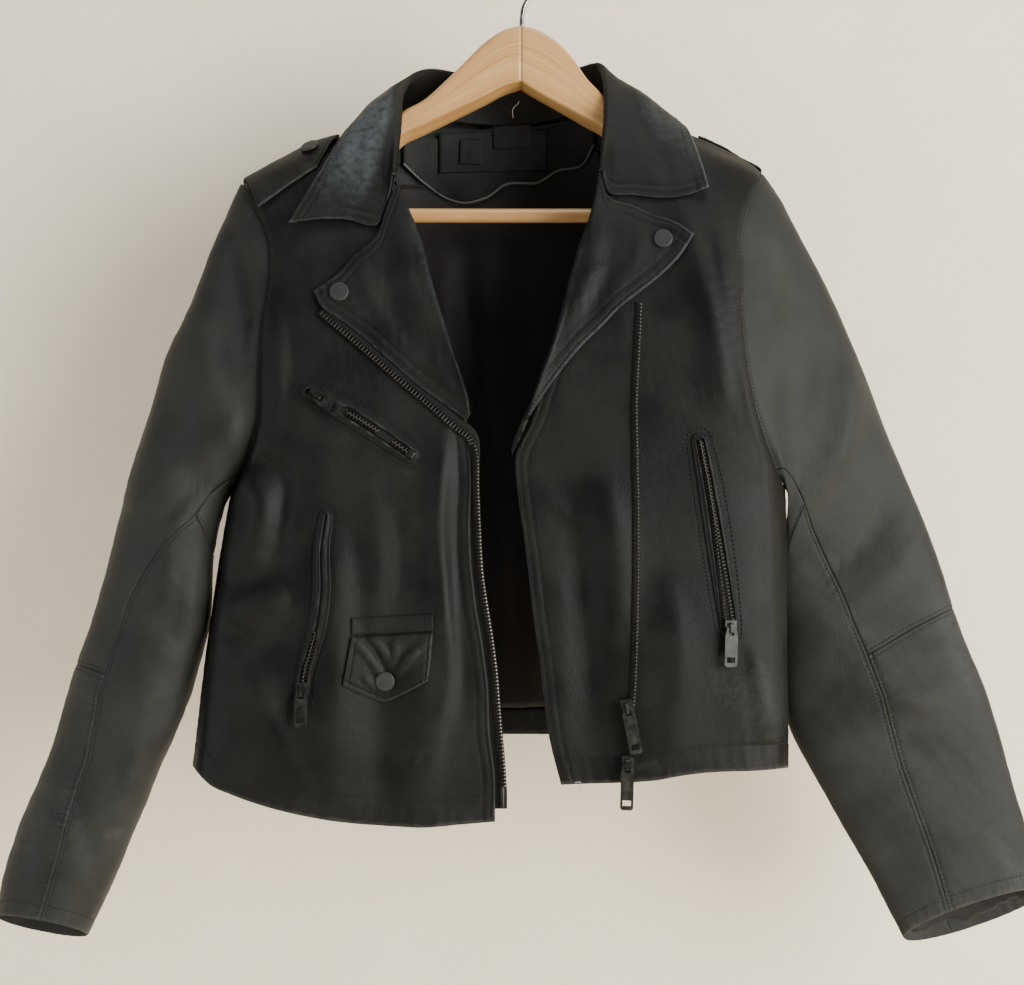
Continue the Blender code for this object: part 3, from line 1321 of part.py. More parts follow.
def epaulette(side):
    """A shoulder strap over the ridge, from the sleeve seam to its snapped end near the collar."""
    long, wide = 8, 6
    rows = np.array(EPAULETTES[side], float)
    run = rows[0] + (rows[1] - rows[0]) * shares(long)[:, None]
    around = run[:, 3:4] + (run[:, 1:2] - run[:, 3:4]) * shares(wide)[None]
    across = run[:, :1] + run[:, 2:3] * np.maximum(around / np.abs(run[:, 1:2]), 0)
    angle = np.clip(np.abs(around) / RIDGE_RADIUS, 0, math.pi / 2)
    below = RIDGE_RADIUS * (1 - np.cos(angle)) + np.maximum(np.abs(around) - RIDGE_RADIUS * math.pi / 2, 0)
    down = ridge_down(across) + below
    depth = np.where(around > 0, front_depth(across, down), back_depth(across, down))
    grid = placed(np.dstack([across, down, depth]))
    normals = grid_normals(grid)
    if normals[long // 2, wide // 2, 2] < 0:
        grid = grid[:, ::-1]
        normals = grid_normals(grid)
    lift = 0.5 + 0.5 * shares(long)[:, None, None] ** 2
    layer(f"epaulette_{side}", grid + normals * lift, DOUBLE_LEATHER, "leather")
    spot = grid[-3, wide // 2] + normals[-3, wide // 2] * (lift[-3, 0, 0] + DOUBLE_LEATHER + 0.5)
    snap(f"epaulette_snap_{side}", spot, normals[-3, wide // 2])


def clear_scene():
    for item in list(bpy.data.objects):
        bpy.data.objects.remove(item, do_unlink=True)


def main():
    clear_scene()
    hanger()
    grids = cloth()
    grounds = {
        "left": Ground(grids["front_left"]),
        "right": Ground(grids["front_right"]),
        "back": Ground(grids["back"]),
    }
    lining(grounds["back"])
    collar(grounds)
    lapels = {side: Ground(lapel(side, grounds[side])) for side in ("left", "right")}
    on_panel("lapel_snap_left", lapels["left"], (113.6, 232.8), 0.6)
    on_panel("lapel_snap_right", lapels["right"], (-145.6, 275.2), 0.45)
    for side in ("left", "right"):
        cuff_lining(side)
        epaulette(side)
    pocket("chest_pocket", grounds["right"])
    pocket("hand_pocket_right", grounds["right"])
    pocket("hand_pocket_left", grounds["left"])
    coin_pocket(grounds["right"])
    main_zip(grounds)


main()
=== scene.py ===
"""Looks of a leather biker jacket that hangs open on a wooden hanger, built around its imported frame.

The file is laid out as an add-on: sizes and colours are properties, each group of pieces is an operator, and
main runs them in order. Tables are in millimetres. A row's across and down say where a point is seen, in the
hanger's plane, by an eye straight in front of the jacket; its depth is how far it lies behind that plane (in
front is negative). The function placed slides the point along the line of sight to its depth.
"""

import functools
import json
import math

import bpy
import numpy as np
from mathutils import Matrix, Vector


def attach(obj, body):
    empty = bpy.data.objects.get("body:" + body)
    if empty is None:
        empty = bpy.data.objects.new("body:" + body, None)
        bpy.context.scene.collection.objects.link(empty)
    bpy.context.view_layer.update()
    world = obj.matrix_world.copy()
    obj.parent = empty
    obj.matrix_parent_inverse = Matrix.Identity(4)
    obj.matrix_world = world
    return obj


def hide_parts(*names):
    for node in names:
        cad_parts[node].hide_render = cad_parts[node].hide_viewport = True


bl_info = {
    "name": "Leather jacket on a hanger",
    "version": (1, 0, 0),
    "blender": (4, 5, 0),
    "location": "View3D > Sidebar > Jacket",
    "description": "Builds the cloth, fittings and hanger of a biker jacket around its frame",
    "category": "Object",
}

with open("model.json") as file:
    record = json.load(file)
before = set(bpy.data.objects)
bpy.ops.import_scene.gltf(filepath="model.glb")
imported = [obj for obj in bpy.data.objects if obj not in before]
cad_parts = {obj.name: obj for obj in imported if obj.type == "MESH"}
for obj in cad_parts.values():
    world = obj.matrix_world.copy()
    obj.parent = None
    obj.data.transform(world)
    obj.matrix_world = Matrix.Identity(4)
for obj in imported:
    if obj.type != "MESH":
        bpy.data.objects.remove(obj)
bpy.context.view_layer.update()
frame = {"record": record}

MM = 0.001
BODY = "garment"

# Where the outlines are seen from: the eye, and its distance from the hanger's plane
EYE_ACROSS = -7.2
EYE_DOWN = 435.6
EYE_DISTANCE = 1100.0
# Width of the picture in the hanger's plane, and its camera's sensor
PICTURE_WIDTH = 819.2
SENSOR_WIDTH = 36.0

# Depth of the body: how the front and the back fall away from the shoulder's ridge
RIDGE_RADIUS = 14.0
RIDGE_FORWARD = 20.0
RIDGE_SPAN = 195.0
FRONT_FALL = 66.0
FRONT_FALL_LENGTH = 85.0
BACK_FALL = 28.0
BACK_FALL_LENGTH = 70.0
FRONT_ROUNDING = 3.0
BACK_ROUNDING = 1.8

# Control grid of the main pieces, as the frame has it
FRONT_COLUMNS = 12
SHOULDER_STRIDE = 2
NECK_COLUMNS = 6
SIDE_ROWS = 7
TOP_SLEEVE_STEPS = 8
UNDER_SLEEVE_STEPS = 4
RIDGE_CROWDING = 1.45
SLEEVE_ROWS = 15
ELBOW_ROW = 9
GUSSET_ROW = 4
ARMHOLE_REACH = 0.3

# The roll of lapels and collar
ROLL_RADIUS = 4.3
ROLL_SHARE = 0.58
LAPEL_LIFT = 3.9
COLLAR_LIFT = 4.0
COLLAR_RIDGE_LIFT = 4.0

# The shoulders' ridge as seen, from the viewer's left sleeve to the right one: across, down
RIDGE = (
    (-225, 190), (-222, 188), (-206, 179), (-186, 168), (-166, 158), (-143, 151.5), (-108, 139),
    (0, 100), (80, 129.5), (105, 139), (133, 148), (148, 154), (161, 160), (174, 168), (188, 175.5),
    (195, 182),
)

# Edges of the two fronts as seen, from the hem up: across, down
FRONT_EDGES = {
    "left": {
        "inner": (
            (32, 669.6), (21.6, 627.2), (16, 578.4), (9.6, 533.6), (4, 483.2), (-2.4, 438.4),
            (-5, 409.6), (0.5, 394), (8.5, 377.6), (18.6, 345.6), (29, 316.8), (41, 274.4),
            (50.6, 240), (62, 211.2), (69.5, 180), (74.5, 155), (80, 129.5),
        ),
        "side": (
            (214.4, 656, -40), (214.4, 624, -40), (213.6, 585, -40), (213.2, 524, -39),
            (213.4, 483, -38), (212, 434, -36),
        ),
        "hem": (
            (32, 669.6), (51, 668.8), (79, 668), (106, 666.4), (137, 661), (162, 659.2), (188, 658.4),
            (214.4, 656),
        ),
        "shoulder": ((80, 129.5), (105, 139), (133, 148), (161, 160), (188, 175.5), (195, 182)),
        # tip, front half down to the armpit: across, down, depth
        "armhole_front": (
            (195, 182, -20), (192, 187, -31), (184, 203, -42), (177, 226, -52), (176, 260, -62),
            (178, 304, -69), (184, 347, -71), (195, 391, -63), (205, 418, -50), (212, 434, -36),
        ),
        "armhole_back": (
            (195, 182, -20), (194, 187, -9), (190, 204, 2), (186, 230, 11), (184, 270, 19), (185, 320, 19),
            (190, 365, 10), (200, 405, -10), (212, 434, -36),
        ),
    },
    "right": {
        "inner": (
            (-20.8, 699.2), (-21.6, 649.6), (-24.8, 629.6), (-26.4, 588.8), (-32, 548), (-37.6, 513.6),
            (-40.8, 467.2), (-39.6, 420), (-42, 390), (-46.5, 362), (-53, 338.4), (-61, 315.2),
            (-68.2, 292), (-75.4, 268.8), (-80.8, 250.4), (-88.4, 225.6), (-96.6, 208.8),
            (-106.4, 185.6), (-108.4, 161), (-108, 139),
        ),
        "side": (
            (-263.2, 654.4, -50), (-260.8, 635, -50), (-257.6, 606, -50), (-252.8, 566, -50),
            (-246.4, 520, -50), (-240.8, 483, -50), (-233, 439, -50),
        ),
        "hem": (
            (-20.8, 699.2), (-49.6, 701.6), (-80, 704), (-110.4, 702.4), (-140.8, 700),
            (-171.2, 695.2), (-201.6, 688), (-232, 677.6), (-252.8, 667.2), (-263.2, 654.4),
        ),
        "shoulder": (
            (-108, 139), (-143, 151.5), (-166, 158), (-186, 168), (-206, 179), (-225, 190),
        ),
        "armhole_front": (
            (-225, 190, -27), (-221, 196, -39), (-210, 214, -48), (-202, 236, -56), (-201, 262, -63),
            (-207, 297, -70), (-210, 347, -75), (-211, 380, -74), (-220, 414, -65), (-233, 439, -50),
        ),
        "armhole_back": (
            (-225, 190, -27), (-223, 196, -15), (-218, 213, -5), (-212, 245, 6), (-210, 290, 15),
            (-212, 340, 12), (-218, 385, -8), (-226, 418, -30), (-233, 439, -50),
        ),
    },
}

# The back neck seam, from the right front's shoulder to the left one's: across, down, depth
NECKLINE = (
    (-108, 139, -6), (-99, 140, 9), (-78, 142, 23), (-46, 145, 33), (-12, 146, 38), (20, 142, 34),
    (50, 136, 24), (70, 131, 11), (80, 129.5, -3.4),
)

# The back's hem, between the side seams: across, down, depth
BACK_HEM = (
    (-263.2, 654.4, -50), (-205, 640, 4), (-110, 632, 40), (-12, 628, 46), (90, 630, 40), (170, 640, 8),
    (214.4, 656, -40),
)

# Sleeve stations from the armhole to the cuff. Outer and inner edge as seen, depth of the middle, half the
# thickness, where the front and the back seam cross (0 is the outer edge, 1 the inner), and how much the
# front rim rises and the back rim drops
SLEEVES = {
    "left": (
        # outer across, outer down, inner across, inner down, middle, half, front seam, back seam, tilt
        (195, 182, 211, 434, -26, 46, 0.95, 0.95, 0),
        (214, 212, 214, 442, -24, 39, 0.90, 0.88, 0),
        (236, 255, 213.5, 454, -19, 33, 0.84, 0.80, 0),
        (257, 298, 211, 472, -13, 28, 0.77, 0.74, 0),
        (276, 347, 209, 492, -8, 25, 0.71, 0.70, 0),
        (294, 392, 205, 515, -2, 23, 0.65, 0.68, 0),
        (311, 431, 206, 540, 0, 22, 0.60, 0.66, 0),
        (326, 466, 207, 566, 0, 21, 0.56, 0.65, 0),
        (341, 512, 209, 592, -1, 20, 0.52, 0.64, 0),
        (354, 550, 213, 618, -3, 19, 0.50, 0.64, 1),
        (369, 587, 223, 641, -5, 18, 0.52, 0.64, 2),
        (383, 630, 240, 672, -7, 17, 0.56, 0.64, 4),
        (395, 675, 262, 710, -9, 15, 0.59, 0.64, 6),
        (406, 715, 283, 747, -11, 14, 0.62, 0.65, 8),
        (418, 755, 306, 792, -13, 13, 0.67, 0.66, 9),
    ),
    "right": (
        (-225, 190, -233, 439, -32, 46, 0.95, 0.95, 0),
        (-247, 237, -237, 447, -34, 44, 0.91, 0.88, 0),
        (-266, 290, -240, 458, -36, 42, 0.85, 0.80, 0),
        (-287, 335, -243, 472, -38, 42, 0.78, 0.74, 0),
        (-303, 388, -246, 490, -39, 42, 0.68, 0.70, 0),
        (-315, 430, -247, 512, -40, 42, 0.50, 0.67, 0),
        (-326, 478, -249, 540, -40, 42, 0.32, 0.64, 0),
        (-338, 524, -255, 566, -41, 41, 0.23, 0.62, 0),
        (-350, 556, -262, 590, -42, 40, 0.25, 0.60, 0),
        (-364, 600, -272, 620, -43, 38, 0.28, 0.60, 0),
        (-376, 640, -287, 652, -44, 37, 0.32, 0.60, 0),
        (-391, 677, -301, 687, -45, 36, 0.37, 0.60, 1),
        (-403, 706, -312, 713, -46, 35, 0.42, 0.60, 2),
        (-413, 738, -325, 744, -47, 35, 0.45, 0.60, 3),
        (-420, 775, -346, 790, -48, 34, 0.47, 0.60, 4),
    ),
}

# Collar sections from the right front's gorge round the neck to the left one's. Seam, top of the roll and
# outer edge, each across, down, depth, and how far the fall bulges
COLLAR = (
    (-103, 181, -48, -99, 181, -55, -186, 219, -71, 0),
    (-102, 159, -33, -97, 158, -42, -166, 186, -60, 3),
    (-103, 142, -22, -95, 137, -29, -151, 160, -43, 5),
    (-101, 130.5, -7, -94, 117, -14, -142, 147, -23, 6),
    (-93, 133, 10, -88, 104, 2, -137, 142, 3, 7),
    (-75, 136, 23, -73, 96, 15, -124, 147, 27, 7),
    (-46, 140, 33, -46, 100, 33, -80, 165, 47, 5),
    (-12, 142, 38, -12, 110, 43, -12, 173, 51, 3),
    (20, 138, 34, 22, 104, 34, 60, 164, 46, 4),
    (48, 131, 23, 48, 94, 18, 108, 144, 27, 5),
    (66, 123, 10, 62, 93, 6, 128, 140, 3, 5),
    (72, 118.5, -6, 66, 112, -14, 135, 144, -21, 4),
    (69, 138, -24, 66, 136, -30, 139, 155, -35, 3),
    (67, 158, -38, 64, 157, -44, 145, 170, -47, 2),
    (66.5, 177, -48, 61.6, 177, -56, 150.4, 190.4, -58, 0),
)

# The leaves' lower edges, from the roll to the point, as seen: across, down
LEAF_EDGES = {
    "right": (
        (-99, 181), (-104, 194), (-107.6, 203), (-111.4, 220.6), (-124, 220.4), (-139, 216.8),
        (-153, 215.4), (-174, 218.4), (-186, 219),
    ),
    "left": (
        (61.6, 177), (66.6, 188), (71.4, 196.2), (89.6, 196.8), (108, 199.2), (121.6, 198.4),
        (140, 195.2), (150.4, 190.4),
    ),
}

# Lapels as seen: roll line and outer edge from the lower end up, and the top edge out from the roll
LAPELS = {
    "left": {
        "roll": (
            (-5.6, 397.6), (3.2, 377.6), (13.6, 345.6), (24, 316.8), (36, 274.4), (45.6, 240), (56, 211.2),
            (61.6, 179.2),
        ),
        "outer": (
            (-6.4, 405), (-2.4, 392), (8, 373.6), (29.6, 341.6), (44, 323.2), (64, 303.2), (84.8, 282.4),
            (103.2, 268.8), (123.2, 250.4), (134, 236.4), (138.4, 228),
        ),
        "top": (
            (61.6, 179.2), (70.8, 199.8), (89.6, 204.8), (108, 213.6), (121.6, 217.6), (133, 221),
            (138.4, 228),
        ),
    },
    "right": {
        "roll": (
            (-40, 373.6), (-42.4, 356.8), (-48, 338.4), (-56, 315.2), (-63.2, 292), (-70.4, 268.8),
            (-75.2, 250.4), (-82.4, 225.6), (-89.6, 208.8), (-98.4, 185.6),
        ),
        "outer": (
            (-44, 378), (-58.4, 367.2), (-82.4, 349.6), (-107.2, 328), (-132, 306.4), (-156, 288.8),
            (-165, 281), (-165.6, 273.6),
        ),
        "top": (
            (-98.4, 185.6), (-107.2, 204.8), (-111.6, 225), (-124, 234.4), (-141.6, 256), (-158.4, 268),
            (-165.6, 273.6),
        ),
    },
}

# Broad folds of the cloth as seen: start, middle and end (across, down), half width, and height towards the
# eye (a valley is negative)
BODY_FOLDS = (
    # across, down, across, down, across, down, half width, height
    (-58, 388, -64, 460, -58, 565, 9, 6),
    (-44, 400, -48, 500, -46, 590, 8, -4),
    (-218, 405, -190, 430, -192, 462, 9, -5),
    (-192, 462, -200, 500, -236, 508, 9, -5),
    (-222, 420, -206, 450, -214, 480, 12, 5),
    (-240, 538, -214, 560, -184, 540, 9, -4),
    (-238, 545, -210, 600, -184, 660, 12, 5),
    (-232, 530, -206, 522, -188, 510, 12, 6),
    (-150, 480, -148, 560, -152, 660, 22, 5),
    (-80, 560, -78, 620, -82, 680, 16, 5),
    (-110, 560, -112, 620, -106, 690, 14, -4),
    (129, 196, 146, 260, 160, 358, 12, 4),
    (150, 215, 166, 270, 184, 356, 10, 3),
    (65, 420, 76, 500, 72, 560, 16, 5),
    (36, 440, 48, 540, 58, 650, 14, -4),
    (186, 560, 196, 610, 200, 640, 14, 4),
    (120, 520, 128, 590, 118, 650, 16, 4),
)
SLEEVE_FOLDS = (
    (-240, 232, -228, 270, -222, 318, 12, -6),
    (-262, 300, -252, 350, -232, 390, 11, 5),
    (-290, 350, -270, 410, -248, 440, 12, -5),
    (-312, 430, -290, 455, -262, 462, 9, 5),
    (-345, 548, -300, 540, -262, 552, 10, -4),
    (-356, 585, -320, 600, -284, 596, 10, 4),
    (-372, 640, -345, 650, -310, 640, 9, -4),
    (-395, 700, -370, 704, -335, 695, 9, 3),
    (235, 270, 232, 330, 216, 392, 12, -5),
    (262, 330, 258, 390, 230, 440, 12, 5),
    (300, 430, 284, 470, 246, 500, 11, -4),
    (345, 545, 305, 548, 262, 540, 10, -4),
    (352, 590, 310, 600, 262, 590, 10, 4),
    (376, 640, 340, 650, 300, 640, 10, -3),
    (396, 700, 360, 706, 322, 700, 10, 3),
)
BACK_FOLDS = (
    # seen from the front, through the cloth; height is away from the eye
    (-180, 300, -120, 420, -90, 560, 24, 6),
    (-140, 240, -60, 330, -10, 480, 20, -5),
    (150, 300, 100, 420, 80, 560, 24, 6),
    (120, 240, 60, 330, 30, 480, 18, -5),
    (-40, 420, -30, 520, -40, 600, 22, 5),
    (-190, 470, -150, 500, -110, 505, 16, 4),
    (180, 450, 140, 485, 100, 490, 16, 4),
)

# Zip of each pocket: where its path runs as seen, half width of the opening with its welts, and where its
# slider stands as a share of the path
POCKETS = {
    "chest_pocket": {
        "path": ((-170, 355), (-130, 377), (-87, 406)),
        "half_width": 8.0,
        "slider": 0.08,
        "side": "right",
    },
    "hand_pocket_right": {
        "path": (
            (-156, 455), (-159.4, 480), (-159.4, 515), (-162.4, 540), (-168.4, 564), (-173, 580),
            (-174.6, 598),
        ),
        "half_width": 6.0,
        "slider": 0.975,
        "side": "right",
    },
    "hand_pocket_left": {
        "path": ((143, 394), (149.6, 428.8), (156, 468.8), (161.6, 507.2), (166.6, 546)),
        "half_width": 7.5,
        "slider": 0.985,
        "side": "left",
    },
}


# Points and curves


def placed(points):
    """True places of rows (across, down, depth), in millimetres with the height upwards."""
    points = np.asarray(points, float)
    nearer = (EYE_DISTANCE + points[..., 2]) / EYE_DISTANCE
    x = EYE_ACROSS + (points[..., 0] - EYE_ACROSS) * nearer
    z = -EYE_DOWN - (points[..., 1] - EYE_DOWN) * nearer
    return np.stack([x, points[..., 2], z], axis=-1)


def seen(places):
    """Across and down at which true places are seen."""
    nearer = (EYE_DISTANCE + places[..., 1]) / EYE_DISTANCE
    across = EYE_ACROSS + (places[..., 0] - EYE_ACROSS) / nearer
    down = EYE_DOWN - (places[..., 2] + EYE_DOWN) / nearer
    return np.stack([across, down], axis=-1)


def unit(vectors):
    """The vectors made one millimetre long."""
    return vectors / np.maximum(np.linalg.norm(vectors, axis=-1, keepdims=True), 1e-9)


def run_along(lines, axis=0):
    """Length from the start of each line to its points; the lines run along the given axis."""
    steps = np.linalg.norm(np.diff(lines, axis=axis), axis=-1)
    return np.concatenate([0 * steps.take([0], axis), steps.cumsum(axis)], axis)


def hermite(t, start, end, leave, arrive):
    """Smooth curve from start to end, with the slopes that it has on leaving and on arriving."""
    return (
        (2 * t**3 - 3 * t**2 + 1) * start + (t**3 - 2 * t**2 + t) * leave
        + (3 * t**2 - 2 * t**3) * end + (t**3 - t**2) * arrive
    )


def through(rows, where):
    """Rows read from a smooth curve through the given rows, at fractional row numbers."""
    rows = np.asarray(rows, float)
    slopes = np.gradient(rows, axis=0)
    first = np.clip(np.floor(where).astype(int), 0, len(rows) - 2)
    t = (np.asarray(where, float) - first)[:, None]
    return hermite(t, rows[first], rows[first + 1], slopes[first], slopes[first + 1])


def even(rows, shares):
    """Points at the given shares of the length of the smooth curve through the rows."""
    rows = np.asarray(rows, float)
    knots = run_along(rows)
    slopes = np.gradient(rows, knots, axis=0, edge_order=1)
    fine = np.linspace(0, knots[-1], 40 * len(rows))
    first = np.clip(np.searchsorted(knots, fine, side="right") - 1, 0, len(rows) - 2)
    step = (knots[first + 1] - knots[first])[:, None]
    t = (fine - knots[first])[:, None] / step
    curve = hermite(t, rows[first], rows[first + 1], step * slopes[first], step * slopes[first + 1])
    run = run_along(curve)
    return np.stack([np.interp(np.asarray(shares) * run[-1], run, part) for part in curve.T], axis=1)


def shares(count):
    return np.linspace(0, 1, count + 1)


def patch(bottom, top, start, end):
    """Grid between four edges that share their corners; bottom and top run from start to end."""
    u = shares(len(bottom) - 1)[None, :, None]
    v = shares(len(start) - 1)[:, None, None]
    along = (1 - v) * bottom[None] + v * top[None]
    across = (1 - u) * start[:, None] + u * end[:, None]
    lower = (1 - u) * bottom[0] + u * bottom[-1]
    upper = (1 - u) * top[0] + u * top[-1]
    return along + across - (1 - v) * lower - v * upper


def ridge_down(across):
    """How far down the shoulder's ridge is seen at each place across."""
    ridge = np.array(RIDGE, float)
    return np.interp(across, ridge[:, 0], ridge[:, 1])


def ridge_depth(across):
    return -RIDGE_FORWARD * (np.asarray(across) / RIDGE_SPAN) ** 2


def off_ridge(across, down, fall, fall_length):
    """How far cloth stands off the ridge's depth: round the ridge itself, then falling away below it."""
    below = np.maximum(down - ridge_down(across), 0)
    near = np.clip(below / RIDGE_RADIUS, 0, 1)
    return RIDGE_RADIUS * np.sqrt(1 - (1 - near) ** 2) + fall * (1 - np.exp(-below / fall_length))


def front_depth(across, down):
    return ridge_depth(across) - off_ridge(across, down, FRONT_FALL, FRONT_FALL_LENGTH)


def back_depth(across, down):
    return ridge_depth(across) + off_ridge(across, down, BACK_FALL, BACK_FALL_LENGTH)


def turned(share, power):
    """Nought in the middle of a panel, rising to one at its side like a rounded corner."""
    return 1 - (1 - np.clip(share, 0, 1) ** power) ** (1 / power)


# Control grids of the main pieces, in true places


def armhole(side):
    """The front and the back half of an armhole, each from the shoulder's tip to the armpit."""
    top = 0.92 * shares(TOP_SLEEVE_STEPS) ** RIDGE_CROWDING
    under = 0.92 + 0.08 * shares(UNDER_SLEEVE_STEPS)[1:]
    where = np.concatenate([top, under])
    return [even(FRONT_EDGES[side]["armhole_" + half], where) for half in ("front", "back")]


def front_grid(side):
    """A front, from its hem up and from its open edge out to the side seam and armhole."""
    table = FRONT_EDGES[side]
    outer = np.concatenate([even(table["side"], shares(SIDE_ROWS))[:-1], armhole(side)[0][::-1]])
    toward_side = 1 - (1 - shares(FRONT_COLUMNS)) ** 1.35
    inner = even(table["inner"], 1 - (1 - shares(len(outer) - 1)) ** 1.2)
    flat = patch(
        even(table["hem"], toward_side), even(table["shoulder"], toward_side), inner, outer[:, :2]
    )
    across, down = flat[..., 0], flat[..., 1]
    depth = front_depth(across, down)
    share = (across - across[:, :1]) / (across[:, -1:] - across[:, :1])
    depth = depth + (outer[:, 2] - depth[:, -1])[:, None] * turned(share, FRONT_ROUNDING)
    grid = placed(np.dstack([across, down, depth]))
    return grid if side == "left" else grid[:, ::-1]


def back_grid():
    """The back, from its hem up and from the left side seam to the right one."""
    halves, shoulders = {}, {}
    for side, stride in (("left", SHOULDER_STRIDE), ("right", -SHOULDER_STRIDE)):
        seam = even(FRONT_EDGES[side]["side"], shares(SIDE_ROWS))
        halves[side] = placed(np.concatenate([seam[:-1], armhole(side)[1][::-1]]))
        shoulders[side] = front_grid(side)[-1][::stride]
    neck = placed(even(NECKLINE, shares(NECK_COLUMNS)))
    top = np.concatenate([shoulders["left"][::-1], neck[::-1][1:-1], shoulders["right"]])
    hem = placed(even(BACK_HEM, shares(len(top) - 1)))[::-1]
    grid = patch(hem, top, halves["left"], halves["right"])
    view = seen(grid)
    depth = back_depth(view[..., 0], view[..., 1])
    depth = depth + (top[:, 1] - depth[-1])[None] * shares(len(grid) - 1)[:, None] ** 5
    columns = shares(len(top) - 1)
    for side, end, edge in (("left", 0, 1 - 2 * columns), ("right", -1, 2 * columns - 1)):
        depth = depth + (halves[side][:, 1] - depth[:, end])[:, None] * turned(edge, BACK_ROUNDING)[None]
    grid[..., 1] = depth
    return grid


def sleeve_grid(side):
    """A sleeve from armhole to cuff; columns run from the top round the front to the armpit and back."""
    stations = through(SLEEVES[side], np.linspace(0, len(SLEEVES[side]) - 1, SLEEVE_ROWS + 1))
    hole_front, hole_back = (placed(half) for half in armhole(side))
    rows = []
    for station in stations:
        outer, inner, middle, half, tilt = station[:2], station[2:4], station[4], station[5], station[8]
        loop = []
        for seam_at, sign in ((station[6], -1), (station[7], 1)):
            seam = math.acos(np.clip(1 - 2 * seam_at, -1, 1))
            under = seam + (math.pi - seam) * shares(UNDER_SLEEVE_STEPS)[1:]
            angle = np.concatenate([seam * shares(TOP_SLEEVE_STEPS), under])
            flat = outer + (inner - outer) * (1 - np.cos(angle))[:, None] / 2
            flat[:, 1] += sign * tilt * np.sin(angle)
            loop.append(placed(np.column_stack([flat, middle + sign * half * np.sin(angle) ** 0.85])))
        rows.append(np.concatenate([loop[0], loop[1][::-1][1:-1]]))
    grid = np.array(rows)
    hole = np.concatenate([hole_front, hole_back[::-1][1:-1]])
    fade = np.clip(1 - shares(SLEEVE_ROWS) / ARMHOLE_REACH, 0, 1) ** 1.5
    return grid + (hole - grid[0])[None] * fade[:, None, None]


# Dense grids, creases and walls


def grid_normals(grid):
    """Outward normals: the way along a row crossed with the way along a column."""
    return unit(np.cross(np.gradient(grid, axis=1), np.gradient(grid, axis=0)))


def toward_eye(grid):
    """The grid with its columns turned round where its normals would face away from the eye."""
    return grid[:, ::-1] if grid_normals(grid)[..., 1].mean() > 0 else grid


def dense(grid, rows, columns):
    """The grid read at more rows and columns, along smooth curves through its points."""
    for count in (rows, columns):
        lines = through(grid.reshape(len(grid), -1), np.linspace(0, len(grid) - 1, count + 1))
        grid = lines.reshape((count + 1,) + grid.shape[1:]).swapaxes(0, 1)
    return grid


def spaced(grid, axis, start, end, count):
    """The grid cut anew along one axis: at set distances from both its ends, and evenly between those."""
    lines = np.moveaxis(grid, axis, 0)
    run = run_along(lines)
    whole = run[-1]
    start, end = np.array(start, float), np.array(end, float)
    tight = np.minimum(1, 0.8 * whole / (start[-1] + end[-1] + 1e-9))
    first, last = start[-1] * tight, whole - end[-1] * tight
    wanted = np.concatenate([
        start[:, None] * tight,
        first + (last - first) * shares(count)[1:-1, None],
        whole - end[::-1, None] * tight,
    ])
    made = np.empty(wanted.shape + (3,))
    for line in range(lines.shape[1]):
        for part in range(3):
            made[:, line, part] = np.interp(wanted[:, line], run[:, line], lines[:, line, part])
    return np.moveaxis(made, 0, axis)


def borders(grid):
    """For each border, how far every point is from it along the cloth, and how far along it that is."""
    across, up = run_along(grid, 1), run_along(grid)
    return {
        "left": (across, up[:, :1] + 0 * across),
        "right": (across[:, -1:] - across, up[:, -1:] + 0 * across),
        "bottom": (up, across[:1] + 0 * up),
        "top": (up[-1:] - up, across[-1:] + 0 * up),
    }


def wave(x, seed, parts=4):
    """An uneven wave between about -1 and 1: sines whose lengths and starts come from the seed."""
    chance = np.random.default_rng(seed)
    total = 0 * x
    for _ in range(parts):
        total = total + np.sin(x * chance.uniform(0.45, 1.8) + chance.uniform(0, 2 * math.pi))
    return total / (0.62 * parts)


def dapple(view, length, seed, parts=7):
    """Slow unevenness over the cloth: crossing waves of about the given length, each with its own way."""
    chance = np.random.default_rng(seed)
    total = np.zeros(view.shape[:-1])
    for _ in range(parts):
        turn = chance.uniform(0, math.pi)
        pace = 2 * math.pi / (length * chance.uniform(0.6, 1.7))
        way = view[..., 0] * math.cos(turn) + view[..., 1] * math.sin(turn)
        total += np.sin(way * pace + chance.uniform(0, 2 * math.pi))
    return total / (0.7 * parts)


def bell(away, width):
    return np.exp(-((away / width) ** 2))


def creased(view, rows):
    """Height of creases: a ridge along each row's curve, crisper than a bell, that dies away at both ends.

    A row is the half width, the height, and the points (across, down) that the crease runs through.
    """
    height = np.zeros(view.shape[:-1])
    for half, tall, *points in rows:
        points = np.reshape(points, (-1, 2)).astype(float)
        count = int(max(24, run_along(points)[-1] / (0.3 * half)))
        line = even(points, shares(count))
        reach = 3.2 * half
        near = ((view > line.min(axis=0) - reach) & (view < line.max(axis=0) + reach)).all(axis=-1)
        if not near.any():
            continue
        away = np.linalg.norm(view[near][:, None] - line[None], axis=-1)
        along = away.argmin(axis=1) / count
        fade = np.sin(math.pi * np.clip(0.05 + 0.9 * along, 0, 1)) ** 0.6
        soft = np.sqrt(away.min(axis=1) ** 2 + (0.3 * half) ** 2) - 0.3 * half
        height[near] += tall * np.exp(-((soft / half) ** 1.5)) * fade
    return height


